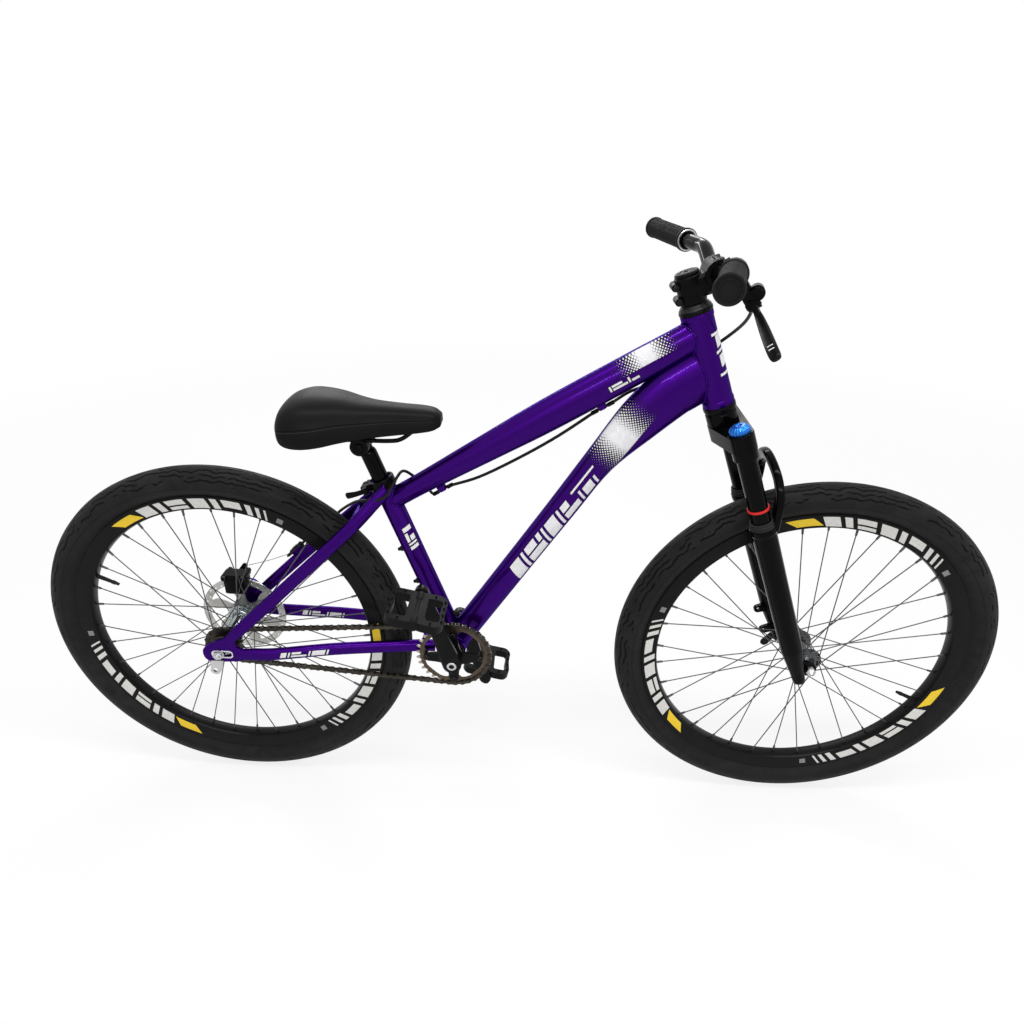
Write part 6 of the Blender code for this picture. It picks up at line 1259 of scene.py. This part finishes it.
STEM_RING = ring((14.6, 668.6), (18, 668.6), (19.5, 670.2), (19.5, 707), (18, 708.6), (14.6, 708.6))
BOSS = mm((0, -13), (5.8, -13), (5.8, 13), (0, 13))
boss_places = [steer(s, -0.0205) for s in (0.6781, 0.6991)]
stem_parts = [turned(STEM_RING, FOOT, UP, 72, 0.0008)]
stem_parts.append(block(steer(0.6906, 0.0190), (0.0380, 0.0330, 0.0320), AHEAD, UP, 0.0050))
stem_parts += [turned(BOSS, place, steps=28, ease=0.0010) for place in boss_places]
piece("stem_visual", stem_parts, satin, "steering", "stem", sharp=32)


def half_ring(start, end):
    """The outline of half a bar clamp, from one angle to another in degrees."""
    turn = np.radians(np.linspace(start, end, 40))
    out = np.stack([np.cos(turn), np.sin(turn)], -1)
    return np.vstack([out * 0.0195, out[::-1] * 0.0129])


def bolt(radius, low, high, socket, floor, fall=0.8):
    """A cap bolt's profile from its lower face to its chamfered top and down its socket, in
    millimetres."""
    head = [(0, low), (radius, low), (radius, high - fall), (radius - 0.6, high)]
    return mm(*head, (socket, high), (socket, floor), (0, floor))


BAR_MIDDLE = steer(0.6990, 0.0400)
clamp_place = (BAR_MIDDLE, AHEAD, UP)
plate("stem_jaw", [half_ring(93, 267)], 0.0440, clamp_place, satin, "steering", ease=0.0014)
worn = (satin, "steering", "stem_faceplate")
faceplate = [half_ring(-87, 87)]
plate("faceplate_visual", faceplate, 0.0440, clamp_place, *worn, ease=0.0014, slot="gloss_black")
bolt_places = [
    BAR_MIDDLE + 0.0050 * AHEAD + s * UP + y * LEFT
    for s in (-0.0158, 0.0158)
    for y in (-0.0145, 0.0145)
]
bolt_grids = beads(bolt_places, [AHEAD] * 4, bolt(4.2, -10, 6, 1.8, 3), 20)
bolt_grids += beads(boss_places, [-LEFT, -LEFT], bolt(4, 12.8, 15, 2, 13.2), 20)
piece("stem_bolts", bolt_grids, dark_grey, "steering")
CAP = [(0, 711.2), (3, 711.2), (3.2, 713.8), (5, 714.1), (9.2, 713.9), (9.6, 713.2), (10.4, 713.2)]
CAP += [(10.8, 713.9), (15, 714.1), (16.6, 713.4), (17, 712.2), (17.8, 711.8), (17.8, 708.9)]
cap_grid = turned(mm(*CAP, (0, 708.9)), FOOT, UP, 64, 0.0003)
piece("top_cap_visual", [cap_grid], satin, "steering", "stem_top_cap")

# Handlebar: a double-butted riser bar bent from one alloy tube, with ribbed rubber grips. Their
# ends are closed, and the left one is held by a silver ring.

BAR_BEND, BAR_END = np.array((-0.0033, 0.110, 0.0203)), np.array((-0.0509, 0.285, 0.0273))
# From the middle out: ahead, to the left, up and radius, in millimetres
BAR_HALF = [(0, 0, 0, 12.7), (0, 24, 0, 12.7), (0, 35, 0.3, 11.4), (-0.5, 52, 4, 11.1)]
bar_outer = [(*(BAR_BEND + t * (BAR_END - BAR_BEND)), 0.0111) for t in (0.0, 0.12, 0.50, 1.0)]
bar_half = np.vstack([mm(*BAR_HALF, (-1.2, 88, 17, 11.1)), bar_outer])
bar_rows = through(np.vstack([bar_half[:0:-1] * (1, -1, 1, 1), bar_half]), 6)
bar_grid = swept(BAR_MIDDLE + bar_rows[:, :3], bar_rows[:, 3], bar_rows[:, 3], AHEAD, 40)
worn = (gloss_black, "steering", "handlebar")
piece("handlebar_visual", [bar_grid], *worn, slot="satin_black", sharp=40)

grip_rubber = coated(
    "grip_rubber", 0.003, 0.010, 0.55, 0.0, 0.07, 1500.0, depth=0.00008, slot="rubber"
)
GRIP = [(0, 3), (9.2, 3), (9.6, 4), (11.2, 4), (11.6, 3), (14, 3.4), (15.5, 3.8), (17.2, 1.4)]
GRIP += [(17.2, -1.5), (16, -3.5)]
for rib in range(29):
    for radius, drop in ((15.4, 0), (16.1, 0.6), (16.1, 2.6), (15.4, 3.2)):
        GRIP.append((radius, -6 - 4 * rib - drop))
GRIP += [(16, -123.5), (18, -125), (18, -129.6), (17.2, -130), (11.3, -130), (11.3, -0.3)]
GRIP_LOCK = ring((14.3, -132.2), (15.8, -132.2), (16.4, -131.6), (16.4, -129.8), (14.3, -129.8))
for side, sign in (("right", -1), ("left", 1)):
    bar_out = unit((BAR_END - BAR_BEND) * (1, sign, 1))
    bar_end = BAR_MIDDLE + BAR_END * (1, sign, 1)
    grip_grid = turned(mm(*GRIP, (0, -0.3)), bar_end, bar_out)
    wave = np.sin(6 * round_turns(64))
    grip_grid[10:126] += 0.0011 * wave[None, :, None] * bar_out
    piece(f"grip_{side}_visual", [grip_grid], grip_rubber, "steering", f"grip_{side}", sharp=50)
piece("grip_ring_left", [turned(GRIP_LOCK, bar_end, bar_out, 48)], silver, "steering")

# Brake lever: a cast alloy perch clamped on the right of the bar, with a round hood, a barrel
# adjuster and a two-finger blade that turns on a pin.

RIGHT_OUT = np.array((-0.26227, -0.96422, 0.03857))
LEVER_MIDDLE = np.array((0.26844, -0.14, 1.0121))
LEVER_DROP = np.array((0.58949, -0.19173, -0.78469))
LEVER_THICK = np.array((-0.76401, 0.18306, -0.61869))
PIVOT = (0.0450, 0.0060)


def lever_at(e, b, w=0.0):
    """A place e out from the bar, b along it and w across the brake lever."""
    return LEVER_MIDDLE + e * LEVER_DROP + b * RIGHT_OUT + w * LEVER_THICK


def refined(name, finish, body, node, ease):
    """A solid's own mesh, its flat facets merged and its edges eased, in that solid's stead."""
    work = bmesh.new()
    work.from_mesh(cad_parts[node].data)
    bmesh.ops.remove_doubles(work, verts=work.verts, dist=2e-5)
    bmesh.ops.dissolve_limit(work, angle_limit=0.03, verts=work.verts, edges=work.edges)
    mesh = bpy.data.meshes.new(name)
    work.to_mesh(mesh)
    work.free()
    made = settle(name, mesh, 34)
    round_off(made, ease, 3, 34)
    return wear(made, finish, body, node)


refined("lever_body_visual", satin, "steering", "brake_lever_body", 0.0012)
HOOD_CAP = mm((0, -0.4), (9.2, -0.4), (9.8, 0.6), (9.6, 2.2), (7, 3.4), (0, 3.8))
ADJUSTER = ring((2.6, 0), (5, 0), (5, 2.2), (6.2, 2.6), (6.2, 8), (5, 8.8), (4, 12), (2.6, 12))
PIN_HEAD = [(0, -9.2), (3.8, -9.2), (4.4, -8.4), (4.4, -7.8), (2, -7.8), (2, 8), (4.2, 8)]
PIN_HEAD = mm(*PIN_HEAD, (4.2, 8.8), (3.4, 9.4), (0, 9.4))
adjuster_place = lever_at(0.0350, -0.0160, -0.0105)
adjuster = turned(ADJUSTER, adjuster_place, -RIGHT_OUT, 60, 0.0003)
adjuster[8:20] = fluted(adjuster, adjuster_place, -RIGHT_OUT, 15, 0.08)[8:20]
hood_parts = [turned(HOOD_CAP, lever_at(0.0350, 0.0100, -0.0105), RIGHT_OUT, 40, 0.0004), adjuster]
hood_parts.append(turned(PIN_HEAD, lever_at(*PIVOT), LEVER_THICK, 28))
piece("lever_hood_parts", hood_parts, gloss_black, "steering")
perch_bolt = beads([lever_at(-0.0145, 0.0)], [-LEVER_DROP], bolt(4.2, 0, 4.2, 2.2, 1.6, 0.6), 20)
piece("perch_bolt", perch_bolt, dark_grey, "steering")

# Out from the bar, along it, half thickness and half width, in millimetres
BLADE = [(48, 7, 3.4, 3.4), (52, 13, 3.4, 3.8), (60, 27, 3.3, 5.2), (70, 50, 3, 6.3)]
BLADE += [(80, 75, 2.9, 6.8), (88, 94, 3.1, 6.9), (94, 103, 3.6, 6.6), (97.2, 106.2, 3.6, 5.4)]
BLADE = mm(*BLADE, (98.4, 107.2, 2.4, 3.4))
blade_rows = through([(*lever_at(e, b), high, wide) for e, b, high, wide in BLADE], 6)
blade_black = coated(
    "lever_blade_black",
    (0.002, 0.002, 0.0025),
    (0.006, 0.006, 0.007),
    0.26,
    shine=0.07,
    slot="satin_black",
)
tip_place = blade_black.along(lever_at(0.0, 0.0940), RIGHT_OUT)
tip_across = blade_black.along(lever_at(0, 0), LEVER_THICK)
tip_mark = blade_black.over(0.0009 - abs(abs(tip_place) - 0.0032), 0.0002)
tip_mark = tip_mark * blade_black.over(0.0034 - abs(tip_across), 0.0002)
blade_black.feed(Base_Color=blade_black.mix(tip_mark, printed_on(blade_black), 0.55))
blade_grid = swept(blade_rows[:, :3], blade_rows[:, 3], blade_rows[:, 4], LEVER_THICK, 28, 2.8)
worn = (blade_black, "brake_lever")
piece("brake_blade_visual", [blade_grid], *worn, "brake_lever_blade", sharp=38)
eye_outline = hulled(circle(0.0090, 40, PIVOT), circle(0.0055, 24, (0.0560, 0.0200)))
eye_place = (lever_at(0, 0), LEVER_DROP, RIGHT_OUT)
eye_outlines = [eye_outline, circle(0.0023, 20, PIVOT)]
plate("brake_blade_eye", eye_outlines, 0.0072, eye_place, *worn, ease=0.0010)

# Cranks: forged alloy arms on a steel spindle, satin black, the right one with a four-armed
# spider that the chainring is bolted to, and a pedal axle in each arm's end.

CRANK_TURN, CRANK_REACH = math.radians(107), 0.158
CRANK_OUT = np.array((math.cos(CRANK_TURN), 0.0, math.sin(CRANK_TURN)))
crank_black = coated(
    "crank_black",
    (0.002, 0.002, 0.0025),
    (0.006, 0.006, 0.0065),
    0.17,
    shine=0.08,
    slot="satin_black",
)
SPINDLE = mm((0, -63.5), (7.8, -63.5), (8.5, -62.8), (8.5, 62.8), (7.8, 63.5), (0, 63.5))
worn = (chain_steel, "cranks", "crank_spindle")
piece("crank_spindle_visual", [turned(SPINDLE, BB, steps=40)], *worn, slot="spoke_steel")
CRANK_BOLT = mm((0, 0), (8.5, 0), (8.5, 0.8), (7.8, 1.4), (4.8, 1.4), (4.4, -1), (0, -1))
PEDAL_AXLE = [(0, -4), (7.2, -4), (7.8, 0.6), (7.8, 1.8), (5.2, 2.4), (4.5, 6), (4.5, 80)]
# The arm's outline: distance from the spindle and half width, between its two round ends
end_turn = np.linspace(0, np.pi / 2, 9)[1:-1]
end_curve = np.stack([np.cos(end_turn), np.sin(end_turn)], -1)
arm_line = mm((0, 17), (14, 16.6), (45, 14.6), (90, 12.8), (135, 12), (158, 12))
outer_end = end_curve[::-1] * 0.0120 + (CRANK_REACH, 0.0)
arm_line = np.vstack([end_curve * (-0.0170, 0.0170), arm_line, outer_end])
for side, sign, inner in (("right", -1, 49.7), ("left", 1, 56)):
    reach, out = -sign * CRANK_OUT, sign * LEFT
    arm_path = BB + 0.0710 * out + arm_line[:, :1] * reach
    boss = ring((8.6, inner), (14, inner), (15, inner + 1), (15, 67), (8.6, 67))
    grids = [swept(arm_path, 0.0070, arm_line[:, 1], np.cross(LEFT, reach), 48, 4.5)]
    grids.append(turned(boss, BB, out, 48, 0.0004))
    piece(f"crank_{side}_visual", grids, crank_black, "cranks", f"crank_{side}", sharp=40)
    bolts = beads([BB + 0.0778 * out], [out], CRANK_BOLT, 32)
    tip = BB + CRANK_REACH * reach + 0.0780 * out
    bolts.append(turned(mm(*PEDAL_AXLE, (4, 81.5), (0, 81.5)), tip, out, 28, 0.0003))
    piece(f"crank_bolts_{side}", bolts, silver, "cranks")
# One arm of the spider and the hollow after it: radius in metres and angle in radians
STAR = [(0.0512, -0.13), (0.0512, 0.13), (0.0300, 0.36), (0.0215, 0.785), (0.0300, 1.21)]
star = looped(np.vstack([polar(STAR, k * math.pi / 2) for k in range(4)]), 5)
place = (BB - 0.0522 * LEFT, AHEAD_X, UP_Z)
spider = [star, circle(0.0100, 32)]
plate("spider_visual", spider, 0.0050, place, crank_black, "cranks", ease=0.0008)
RING_BOLT = [(0, -10.8), (5, -10.8), (5, -8.8), (3.6, -8.2), (3.6, 0), (5.2, 0), (5.2, 1)]
RING_BOLT = mm(*RING_BOLT, (4.4, 1.6), (2.4, 1.6), (2.2, 0.4), (0, 0.4))
ear_places = BB + facing(np.arange(4) * 90) * 0.0489 - 0.0547 * LEFT
piece("chainring_bolts", beads(ear_places, [-LEFT] * 4, RING_BOLT, 24), dark_grey, "cranks")

# Pedals: cast black platforms with toothed cages, a bearing barrel across the middle and steel
# grip pins, each turning on its axle.

PEDAL_TILT = math.radians(12)
PEDAL_X = np.array((math.cos(PEDAL_TILT), 0.0, -math.sin(PEDAL_TILT)))
PEDAL_Z = np.array((math.sin(PEDAL_TILT), 0.0, math.cos(PEDAL_TILT)))
PEDAL_EDGE = [(-47.5, -30), (-38.5, -42.5), (-15, -42.5), (0, -39.5), (15, -42.5), (38.5, -42.5)]
PEDAL_EDGE += [(47.5, -30), (45.2, 0), (47.5, 30), (38.5, 42.5), (-38.5, 42.5), (-47.5, 30)]
WINDOW = mm((15, -29), (36, -29), (39.5, -24.5), (37.5, 0), (39.5, 24.5), (36, 29), (15, 29))
pedal_black = coated(
    "pedal_black",
    (0.003, 0.003, 0.0035),
    (0.008, 0.008, 0.0085),
    0.38,
    shine=0.07,
    grain=1100.0,
    depth=0.00008,
    slot="satin_black",
)
PIN = mm((0, -10.8), (1.4, -10.8), (1.8, -9.8), (1.8, 9.8), (1.4, 10.8), (0, 10.8))
BEARING = [(5.6, 0.2), (9.2, 0.2), (10, 1.4), (10, 20), (8.4, 23), (8.4, 64), (9.6, 67)]
BEARING = mm(*BEARING, (9.6, 83.6), (9, 84.8), (0, 84.8))
PIN_SPOTS = [(x, y) for x in (-0.0430, 0.0430) for y in (-0.0260, -0.0090, 0.0090, 0.0260)]
PIN_SPOTS += [(x, y) for x in (-0.0260, 0.0260) for y in (-0.0360, 0.0360)]
window = rounded(WINDOW, 0.003, 0.001)
cage = [rounded(mm(*PEDAL_EDGE, (-45.2, 0)), 0.006, 0.002), window, window[::-1] * (-1, 1)]
for side, sign in (("right", -1), ("left", 1)):
    start = BB - sign * CRANK_REACH * CRANK_OUT + sign * 0.0805 * LEFT
    middle = start + sign * 0.0425 * LEFT
    worn = (pedal_black, f"pedal_{side}")
    place = (middle, PEDAL_X, LEFT)
    plate(f"pedal_{side}_visual", cage, 0.0150, place, *worn, f"pedal_{side}", ease=0.0022)
    pin_places = [middle + x * PEDAL_X + y * LEFT for x, y in PIN_SPOTS]
    grids = beads(pin_places, [PEDAL_Z] * len(pin_places), PIN, 10)
    grids.append(turned(BEARING, start, sign * LEFT, 40, 0.0005))
    piece(f"pedal_pins_{side}", grids, *worn, slot="dark_grey")

# Seatpost: a drawn and polished black tube with a forged cross head. Two serrated discs on the
# head's bolt clamp the saddle's rails.

SADDLE_AXIS = seat(0.416)
POST = [(0, 160), (13, 160), (13.6, 161), (13.6, 394.5), (12.6, 398.5), (10.5, 401.5)]
POST_TOP = ring((4.2, -13.2), (11.8, -13.2), (12.5, -12.4), (12.5, 12.4), (11.8, 13.2), (4.2, 13.2))
post_grids = [turned(mm(*POST, (10.5, 410.8), (0, 410.8)), BB, SEAT_UP, 56, 0.0010)]
post_grids.append(turned(POST_TOP, SADDLE_AXIS, steps=48))
piece("seatpost_visual", post_grids, gloss_black, "seatpost", "seatpost", sharp=32)

DISC = [(4.1, 13.5), (13.8, 13.5), (15, 14.7), (15, 21), (12.8, 21.4), (12.8, 22.6), (15, 23)]
DISC = ring(*DISC, (15, 29.3), (13.8, 30.5), (8.4, 30.5), (8, 29.6), (4.1, 29.6))
CLAMP_BOLT = [(0, 0), (4, 0), (4, 29.6), (6.6, 29.6), (6.6, 31.4), (5.8, 32), (3, 32), (2.8, 30.4)]
clamp_grids = []
for out in (-LEFT, LEFT):
    disc_grid = turned(DISC, SADDLE_AXIS, out, 160, 0.0003)
    clamp_grids.append(fluted(disc_grid, SADDLE_AXIS, LEFT, 40, 0.035))
    clamp_grids.append(turned(mm(*CLAMP_BOLT, (0, 30.4)), SADDLE_AXIS, out, 28, 0.0003))
piece("saddle_clamp_visual", clamp_grids, satin, "saddle", "saddle_clamp", sharp=34)

# Saddle: foam under smooth black vinyl, pulled over a moulded base and sewn along each side, on
# two bent wire rails. Its crown swells, its sides draw in, and it stands well off its shell.

# Rows across the saddle: ahead of its axis, crown and skirt above it, and half width
SADDLE = [(-120.4, 55.2, 28.2, 53), (-113.9, 66.6, 17.2, 66), (-99.9, 75, 12.2, 73.5)]
SADDLE += [(-77.9, 80.2, 11.2, 75.5), (-52.9, 79.2, 13.2, 71), (-27.9, 76.2, 16.2, 60)]
SADDLE += [(0.1, 69.5, 18.5, 48), (27.1, 65.2, 20, 38.5), (67.1, 61.8, 23.2, 31.8)]
SADDLE += [(97.1, 59.8, 26.2, 29.2), (116.1, 56.8, 28.7, 25), (126.6, 51, 32.2, 17)]
SADDLE = mm(*SADDLE)
# Share of the half width, of the height, and what the half width gives way to below
SADDLE_SECTION = [(0.0, 1.0, 0), (0.42, 0.968, 0), (0.74, 0.850, 0), (0.925, 0.610, 0)]
SADDLE_SECTION += [(1, 0.33, 0), (0.985, 0.11, 0), (0.93, 0.0, 0), (0.93, 0.0, 1), (0.88, 0.22, 1)]


def cushion(rows):
    """Closed rings across the saddle: each control point is (share of half width, skirt plus share
    of height), carried round with a Catmull-Rom curve through them all and their mirror images."""
    x, top, skirt, half = rows.T
    inner = np.maximum(half - 0.0075, 0.004)
    right = []
    for wide, lift, inside in SADDLE_SECTION:
        y = (inner if inside else half) * wide
        z = skirt + (top - skirt) * lift + (0.0005 if inside else 0)
        right.append(np.stack([x, -y, z], -1))
    left = [points * (1, -1, 1) for points in right[:0:-1]]
    points = np.stack(right + left, 1)
    a, b, c, d = (np.roll(points, shift, 1)[:, :, None] for shift in (1, 0, -1, -2))
    t = (np.arange(5) / 5)[None, None, :, None]
    curve = 0.5 * (2 * b + (c - a) * t + (2 * a - 5 * b + 4 * c - d) * t**2)
    curve = curve + 0.5 * (3 * b - a - 3 * c + d) * t**3
    return SADDLE_AXIS + curve.reshape(len(rows), -1, 3)


saddle_grid = cushion(through(SADDLE, 5))
caps = []
for end, shift in ((saddle_grid[0], -0.0026 * AHEAD_X), (saddle_grid[-1], 0.0030 * AHEAD_X)):
    middle, shrinking = end.mean(0), ((0.86, 0.55), (0.50, 0.9), (0.0, 1.0))
    caps.append([middle + (end - middle) * share + shift * far for share, far in shrinking])
saddle_grid = np.concatenate([caps[0][::-1], saddle_grid, caps[1]])
share = np.linspace(0, 1, saddle_grid.shape[1], endpoint=False)
share = np.broadcast_to(np.minimum(share, 1 - share), saddle_grid.shape[:2])
lay_x = saddle_grid[..., 0] - SADDLE_AXIS[0]
saddle_wrap = np.stack([lay_x, share, saddle_grid[..., 1]], -1)

vinyl = Finish("saddle_vinyl", 0.012, 0.4, 0.0, "black_saddle_cover", Specular_IOR_Level=0.055)
lies = vinyl.node("Attribute", {}, 1, attribute_name="wrap")
lay_x, lay_share = (vinyl.node("SeparateXYZ", {0: lies}, axis) for axis in (0, 1))
seam_line = 0.196 + vinyl.sum("SINE", lay_x * 11.0) * -0.016
groove = 1.0 - vinyl.over(abs(lay_share - seam_line) - 0.0020, 0.0014)
stitch_row = 1.0 - vinyl.over(abs(lay_share - seam_line - 0.0075) - 0.0012, 0.0005)
stitches = stitch_row * vinyl.over(0.33 - abs((lay_x * 260.0) % 1.0 - 0.5), 0.06)
leather = vinyl.node("TexVoronoi", {"Vector": vinyl.place, "Scale": 900.0})
creases, rub = vinyl.noise(34.0, 4.0), vinyl.noise(11.0, 3.0)
skin = vinyl.bump(creases + leather * 0.1, 0.0005, 0.35)
vinyl.feed(
    Base_Color=vinyl.mix(stitches, vinyl.mix(rub, 0.003, 0.008), 0.045),
    Roughness=0.34 + rub * 0.16 + groove * 0.2,
    Normal=vinyl.bump(1.0 - groove + stitches * 0.4, 0.0016, 0.9, skin),
)
worn = (vinyl, "saddle", "saddle_cover")
cover = piece("saddle_cover_visual", [saddle_grid], *worn, sharp=60, wrap=saddle_wrap)

moulded = coated(
    "moulded_black", 0.005, 0.013, 0.5, 0.0, 0.09, 1500.0, depth=0.0001, slot="black_plastic"
)
base_rows = through(SADDLE[1:-1], 4)
base_inner = np.maximum(base_rows[:, 3] - 0.0075, 0.004) * 0.88 - 0.0014
base_path = SADDLE_AXIS + base_rows[:, :1] * AHEAD_X + (base_rows[:, 2:3] + 0.0085) * UP_Z
base_grid = swept(base_path, 0.0022, base_inner, LEFT, 40, 4.0)
piece("saddle_base_visual", [base_grid], moulded, "saddle", "saddle_base", sharp=40)
RAIL = [(-111.9, 33, 23.7), (-97.9, 31, 17.7), (-72.9, 23.5, 11), (-55.9, 22, 10), (0, 22, 10)]
RAIL = mm(*RAIL, (47.1, 22, 10), (67.1, 19, 13), (87.1, 11, 26.2), (96.1, 7, 34.2))
rail_paths = [SADDLE_AXIS + through(RAIL, 8) * (1, sign, 1) for sign in (-1, 1)]
rail_grids = [swept(path, 0.0035, 0.0035, LEFT, 16) for path in rail_paths]
piece("saddle_rails", rail_grids, satin, "saddle", sharp=40)

# Seat clamp: a split alloy collar round the seat tube's top, with ears behind, closed by a lever
# on its skewer.

refined("seat_clamp_visual", satin, "frame", "seat_clamp", 0.0008)
CLAMP_NUT = mm((0, 0), (5.8, 0), (5.8, 3.4), (4.8, 4.2), (0, 4.6))
clamp_nut = beads([seat(0.33925, 0.0270, 0.0120)], [LEFT], CLAMP_NUT, 24)
piece("seat_clamp_nut", clamp_nut, dark_grey, "frame")
LEVER_EYE = mm((0, -6), (4.4, -6), (5, -5.4), (5, 5.4), (4.4, 6), (0, 6))
# Back from the pivot, to the left and half width
LEVER_LINE = [(0, 0, 4.5), (8, -0.8, 4.3), (16, -1, 4.5), (26, 1, 5.2), (33.5, 2.8, 5.4)]
lever_line = through(mm(*LEVER_LINE, (35, 3.1, 3.4)), 5)
lever_pivot = seat(0.33925, 0.0270, -0.0173)
lever_path = lever_pivot + lever_line[:, :1] * SEAT_BACK + lever_line[:, 1:2] * LEFT
lever_grids = [swept(lever_path, 0.0023, lever_line[:, 2], SEAT_UP, 24, 2.8)]
lever_grids.append(turned(LEVER_EYE, lever_pivot, SEAT_UP, 32))
worn = (satin, "seat_clamp_lever", "seat_clamp_lever")
piece("seat_clamp_lever_visual", lever_grids, *worn, sharp=40)

# Rear brake: a mechanical caliper, two cast halves bridged over the rotor and bolted to its
# bracket, with the arm that the inner wire pulls.

caliper_grids = [
    block(at(-0.003, 0.0690, 0.0429), (0.0400, 0.0136, 0.0360), AHEAD_X, UP_Z, 0.0040),
    block(at(-0.003, 0.0690, 0.0602), (0.0420, 0.0138, 0.0360), AHEAD_X, UP_Z, 0.0040),
    block(at(-0.003, 0.0873, 0.0516), (0.0480, 0.0300, 0.0108), AHEAD_X, UP_Z, 0.0028),
]
PISTON = mm((0, 0), (15, 0), (15, 2.4), (14, 3.4), (0, 3.4))
PISTON_IN = mm((0, -0.4), (8.8, -0.4), (8.8, 5.2), (8, 5.8), (4.6, 5.8), (4.5, 11.7), (0, 11.7))
caliper_grids.append(turned(PISTON_IN, at(-0.004, 0.075, 0.0672), LEFT, 40, 0.0003))
caliper_grids.append(turned(PISTON, at(-0.003, 0.071, 0.0384), -LEFT, 96, 0.0004))
piece("brake_caliper_visual", caliper_grids, satin, "frame", "brake_caliper", sharp=32)
CALIPER_BOLT = bolt(5, -1, 3.8, 2.6, 1.2)
bolt_spots = [(-0.0200, 0.0880), (0.0150, 0.0880), (-0.0190, 0.0575)]
bolt_grids = beads([at(x, z, 0.0667) for x, z in bolt_spots], [LEFT] * 3, CALIPER_BOLT, 24)
bolt_grids += beads([at(x, z, 0.0365) for x, z in bolt_spots[:2]], [-LEFT] * 2, CALIPER_BOLT, 24)
piece("caliper_bolts", bolt_grids, dark_grey, "frame")

arm_outline = hulled(circle(0.0085, 40), circle(0.0050, 28, (0.010, 0.018)))
arm_outlines = [arm_outline, circle(0.0048, 28), circle(0.0020, 16, (0.0085, 0.0085))]
arm_place = (at(-0.004, 0.075, 0.0759), AHEAD_X, UP_Z)
worn = (dark_grey, "caliper_arm", "caliper_arm")
plate("caliper_arm_visual", arm_outlines, 0.0030, arm_place, *worn, ease=0.0006)
ANCHOR = mm((0, 0), (3.6, 0), (3.6, 1.8), (3, 2.4), (0, 2.4))
anchor = beads([at(0.006, 0.093, 0.0774)], [LEFT], ANCHOR, 6)
piece("wire_anchor", anchor, silver, "caliper_arm", sharp=25)

# Brake cable: black housing over a steel wire, from the lever's adjuster in a loop ahead of the
# head tube, under the top tube through two guides, and in an S to its barrel; then bare wire.


def hose(path, radius, sides=12):
    """A round tube along a path that turns every way, its section carried on without twist."""
    along = unit(np.gradient(path, axis=0))
    side, carried = np.cross(along[0], (0.3, 0.5, 0.8)), []
    for step in along:
        side = unit(side - (side @ step) * step)
        carried.append(side)
    side = np.array(carried)
    turn = round_turns(sides)[None, :, None]
    section = np.cos(turn) * side[:, None] + np.sin(turn) * np.cross(along, side)[:, None]
    start, end = (np.broadcast_to(path[k], (1, sides, 3)) for k in (0, -1))
    return np.concatenate([start, path[:, None] + radius * section, end])


# The housing's free places: ahead of the rear axle, to the left and above it, in millimetres
LOOP_AHEAD = [(838, -80, 627), (845, -30, 595), (839, 20, 563), (815, 45, 533), (775, 48, 505)]
LOOP_AHEAD += [(730, 36, 480), (700, 31, 468.5), (678, 13, 460.5)]
BETWEEN_GUIDES = [(590, 0, 403.5), (530, 0, 365), (465, 0, 329)]
BEHIND_SEAT = [(384, 10, 291.5), (370, 25, 298), (352, 24, 315), (338, 10, 331), (331, -12, 329)]
BEHIND_SEAT += [(318, -32, 307), (298, -34, 297), (283, -27, 293), (267, -11, 284), (250, 7, 271)]
BEHIND_SEAT += [(220, 33, 243), (184, 50, 206)]
run = [lever_at(0.0350, b, -0.0105) for b in (-0.0060, -0.0180, -0.0300)]
for guide, before in zip(CABLE_GUIDES, (LOOP_AHEAD, BETWEEN_GUIDES)):
    run += [REAR_AXLE + place for place in mm(*before)]
    run += [guide + reach * TOP_ALONG for reach in (0.0140, 0.0, -0.0140)]
run += [REAR_AXLE + place for place in mm(*BEHIND_SEAT)]
run += [barrel_front + reach * barrel_along for reach in (-0.015, -0.004, 0.006, 0.014)]
housing_black = coated("housing_black", 0.006, 0.012, 0.38, shine=0.09, slot="rubber")
housing = [hose(through(run, 5), 0.0025)]
housing = piece("brake_housing_visual", housing, housing_black, None, "brake_housing", sharp=50)
blend_start = CABLE_GUIDES[0] + 0.025 * TOP_ALONG
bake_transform(housing)
wire_start, wire_end = barrel_back + 0.002 * barrel_along, at(0.0140, 0.0945, 0.0752)
wire_path = through([wire_start, (wire_start + wire_end) / 2 - 0.002 * UP_Z, wire_end], 8)
piece("brake_wire", [hose(wire_path, 0.0008, 8)], silver, "frame", sharp=50)
FERRULE = ring((2.6, 0), (3.4, 0), (3.4, 10), (3, 11), (2.6, 11))
ferrule_axes = [TOP_ALONG, -TOP_ALONG]
ferrule_places = [guide + 0.0085 * axis for guide in CABLE_GUIDES for axis in ferrule_axes]
piece("housing_ferrules", beads(ferrule_places, ferrule_axes * 2, FERRULE, 20), satin, "frame")
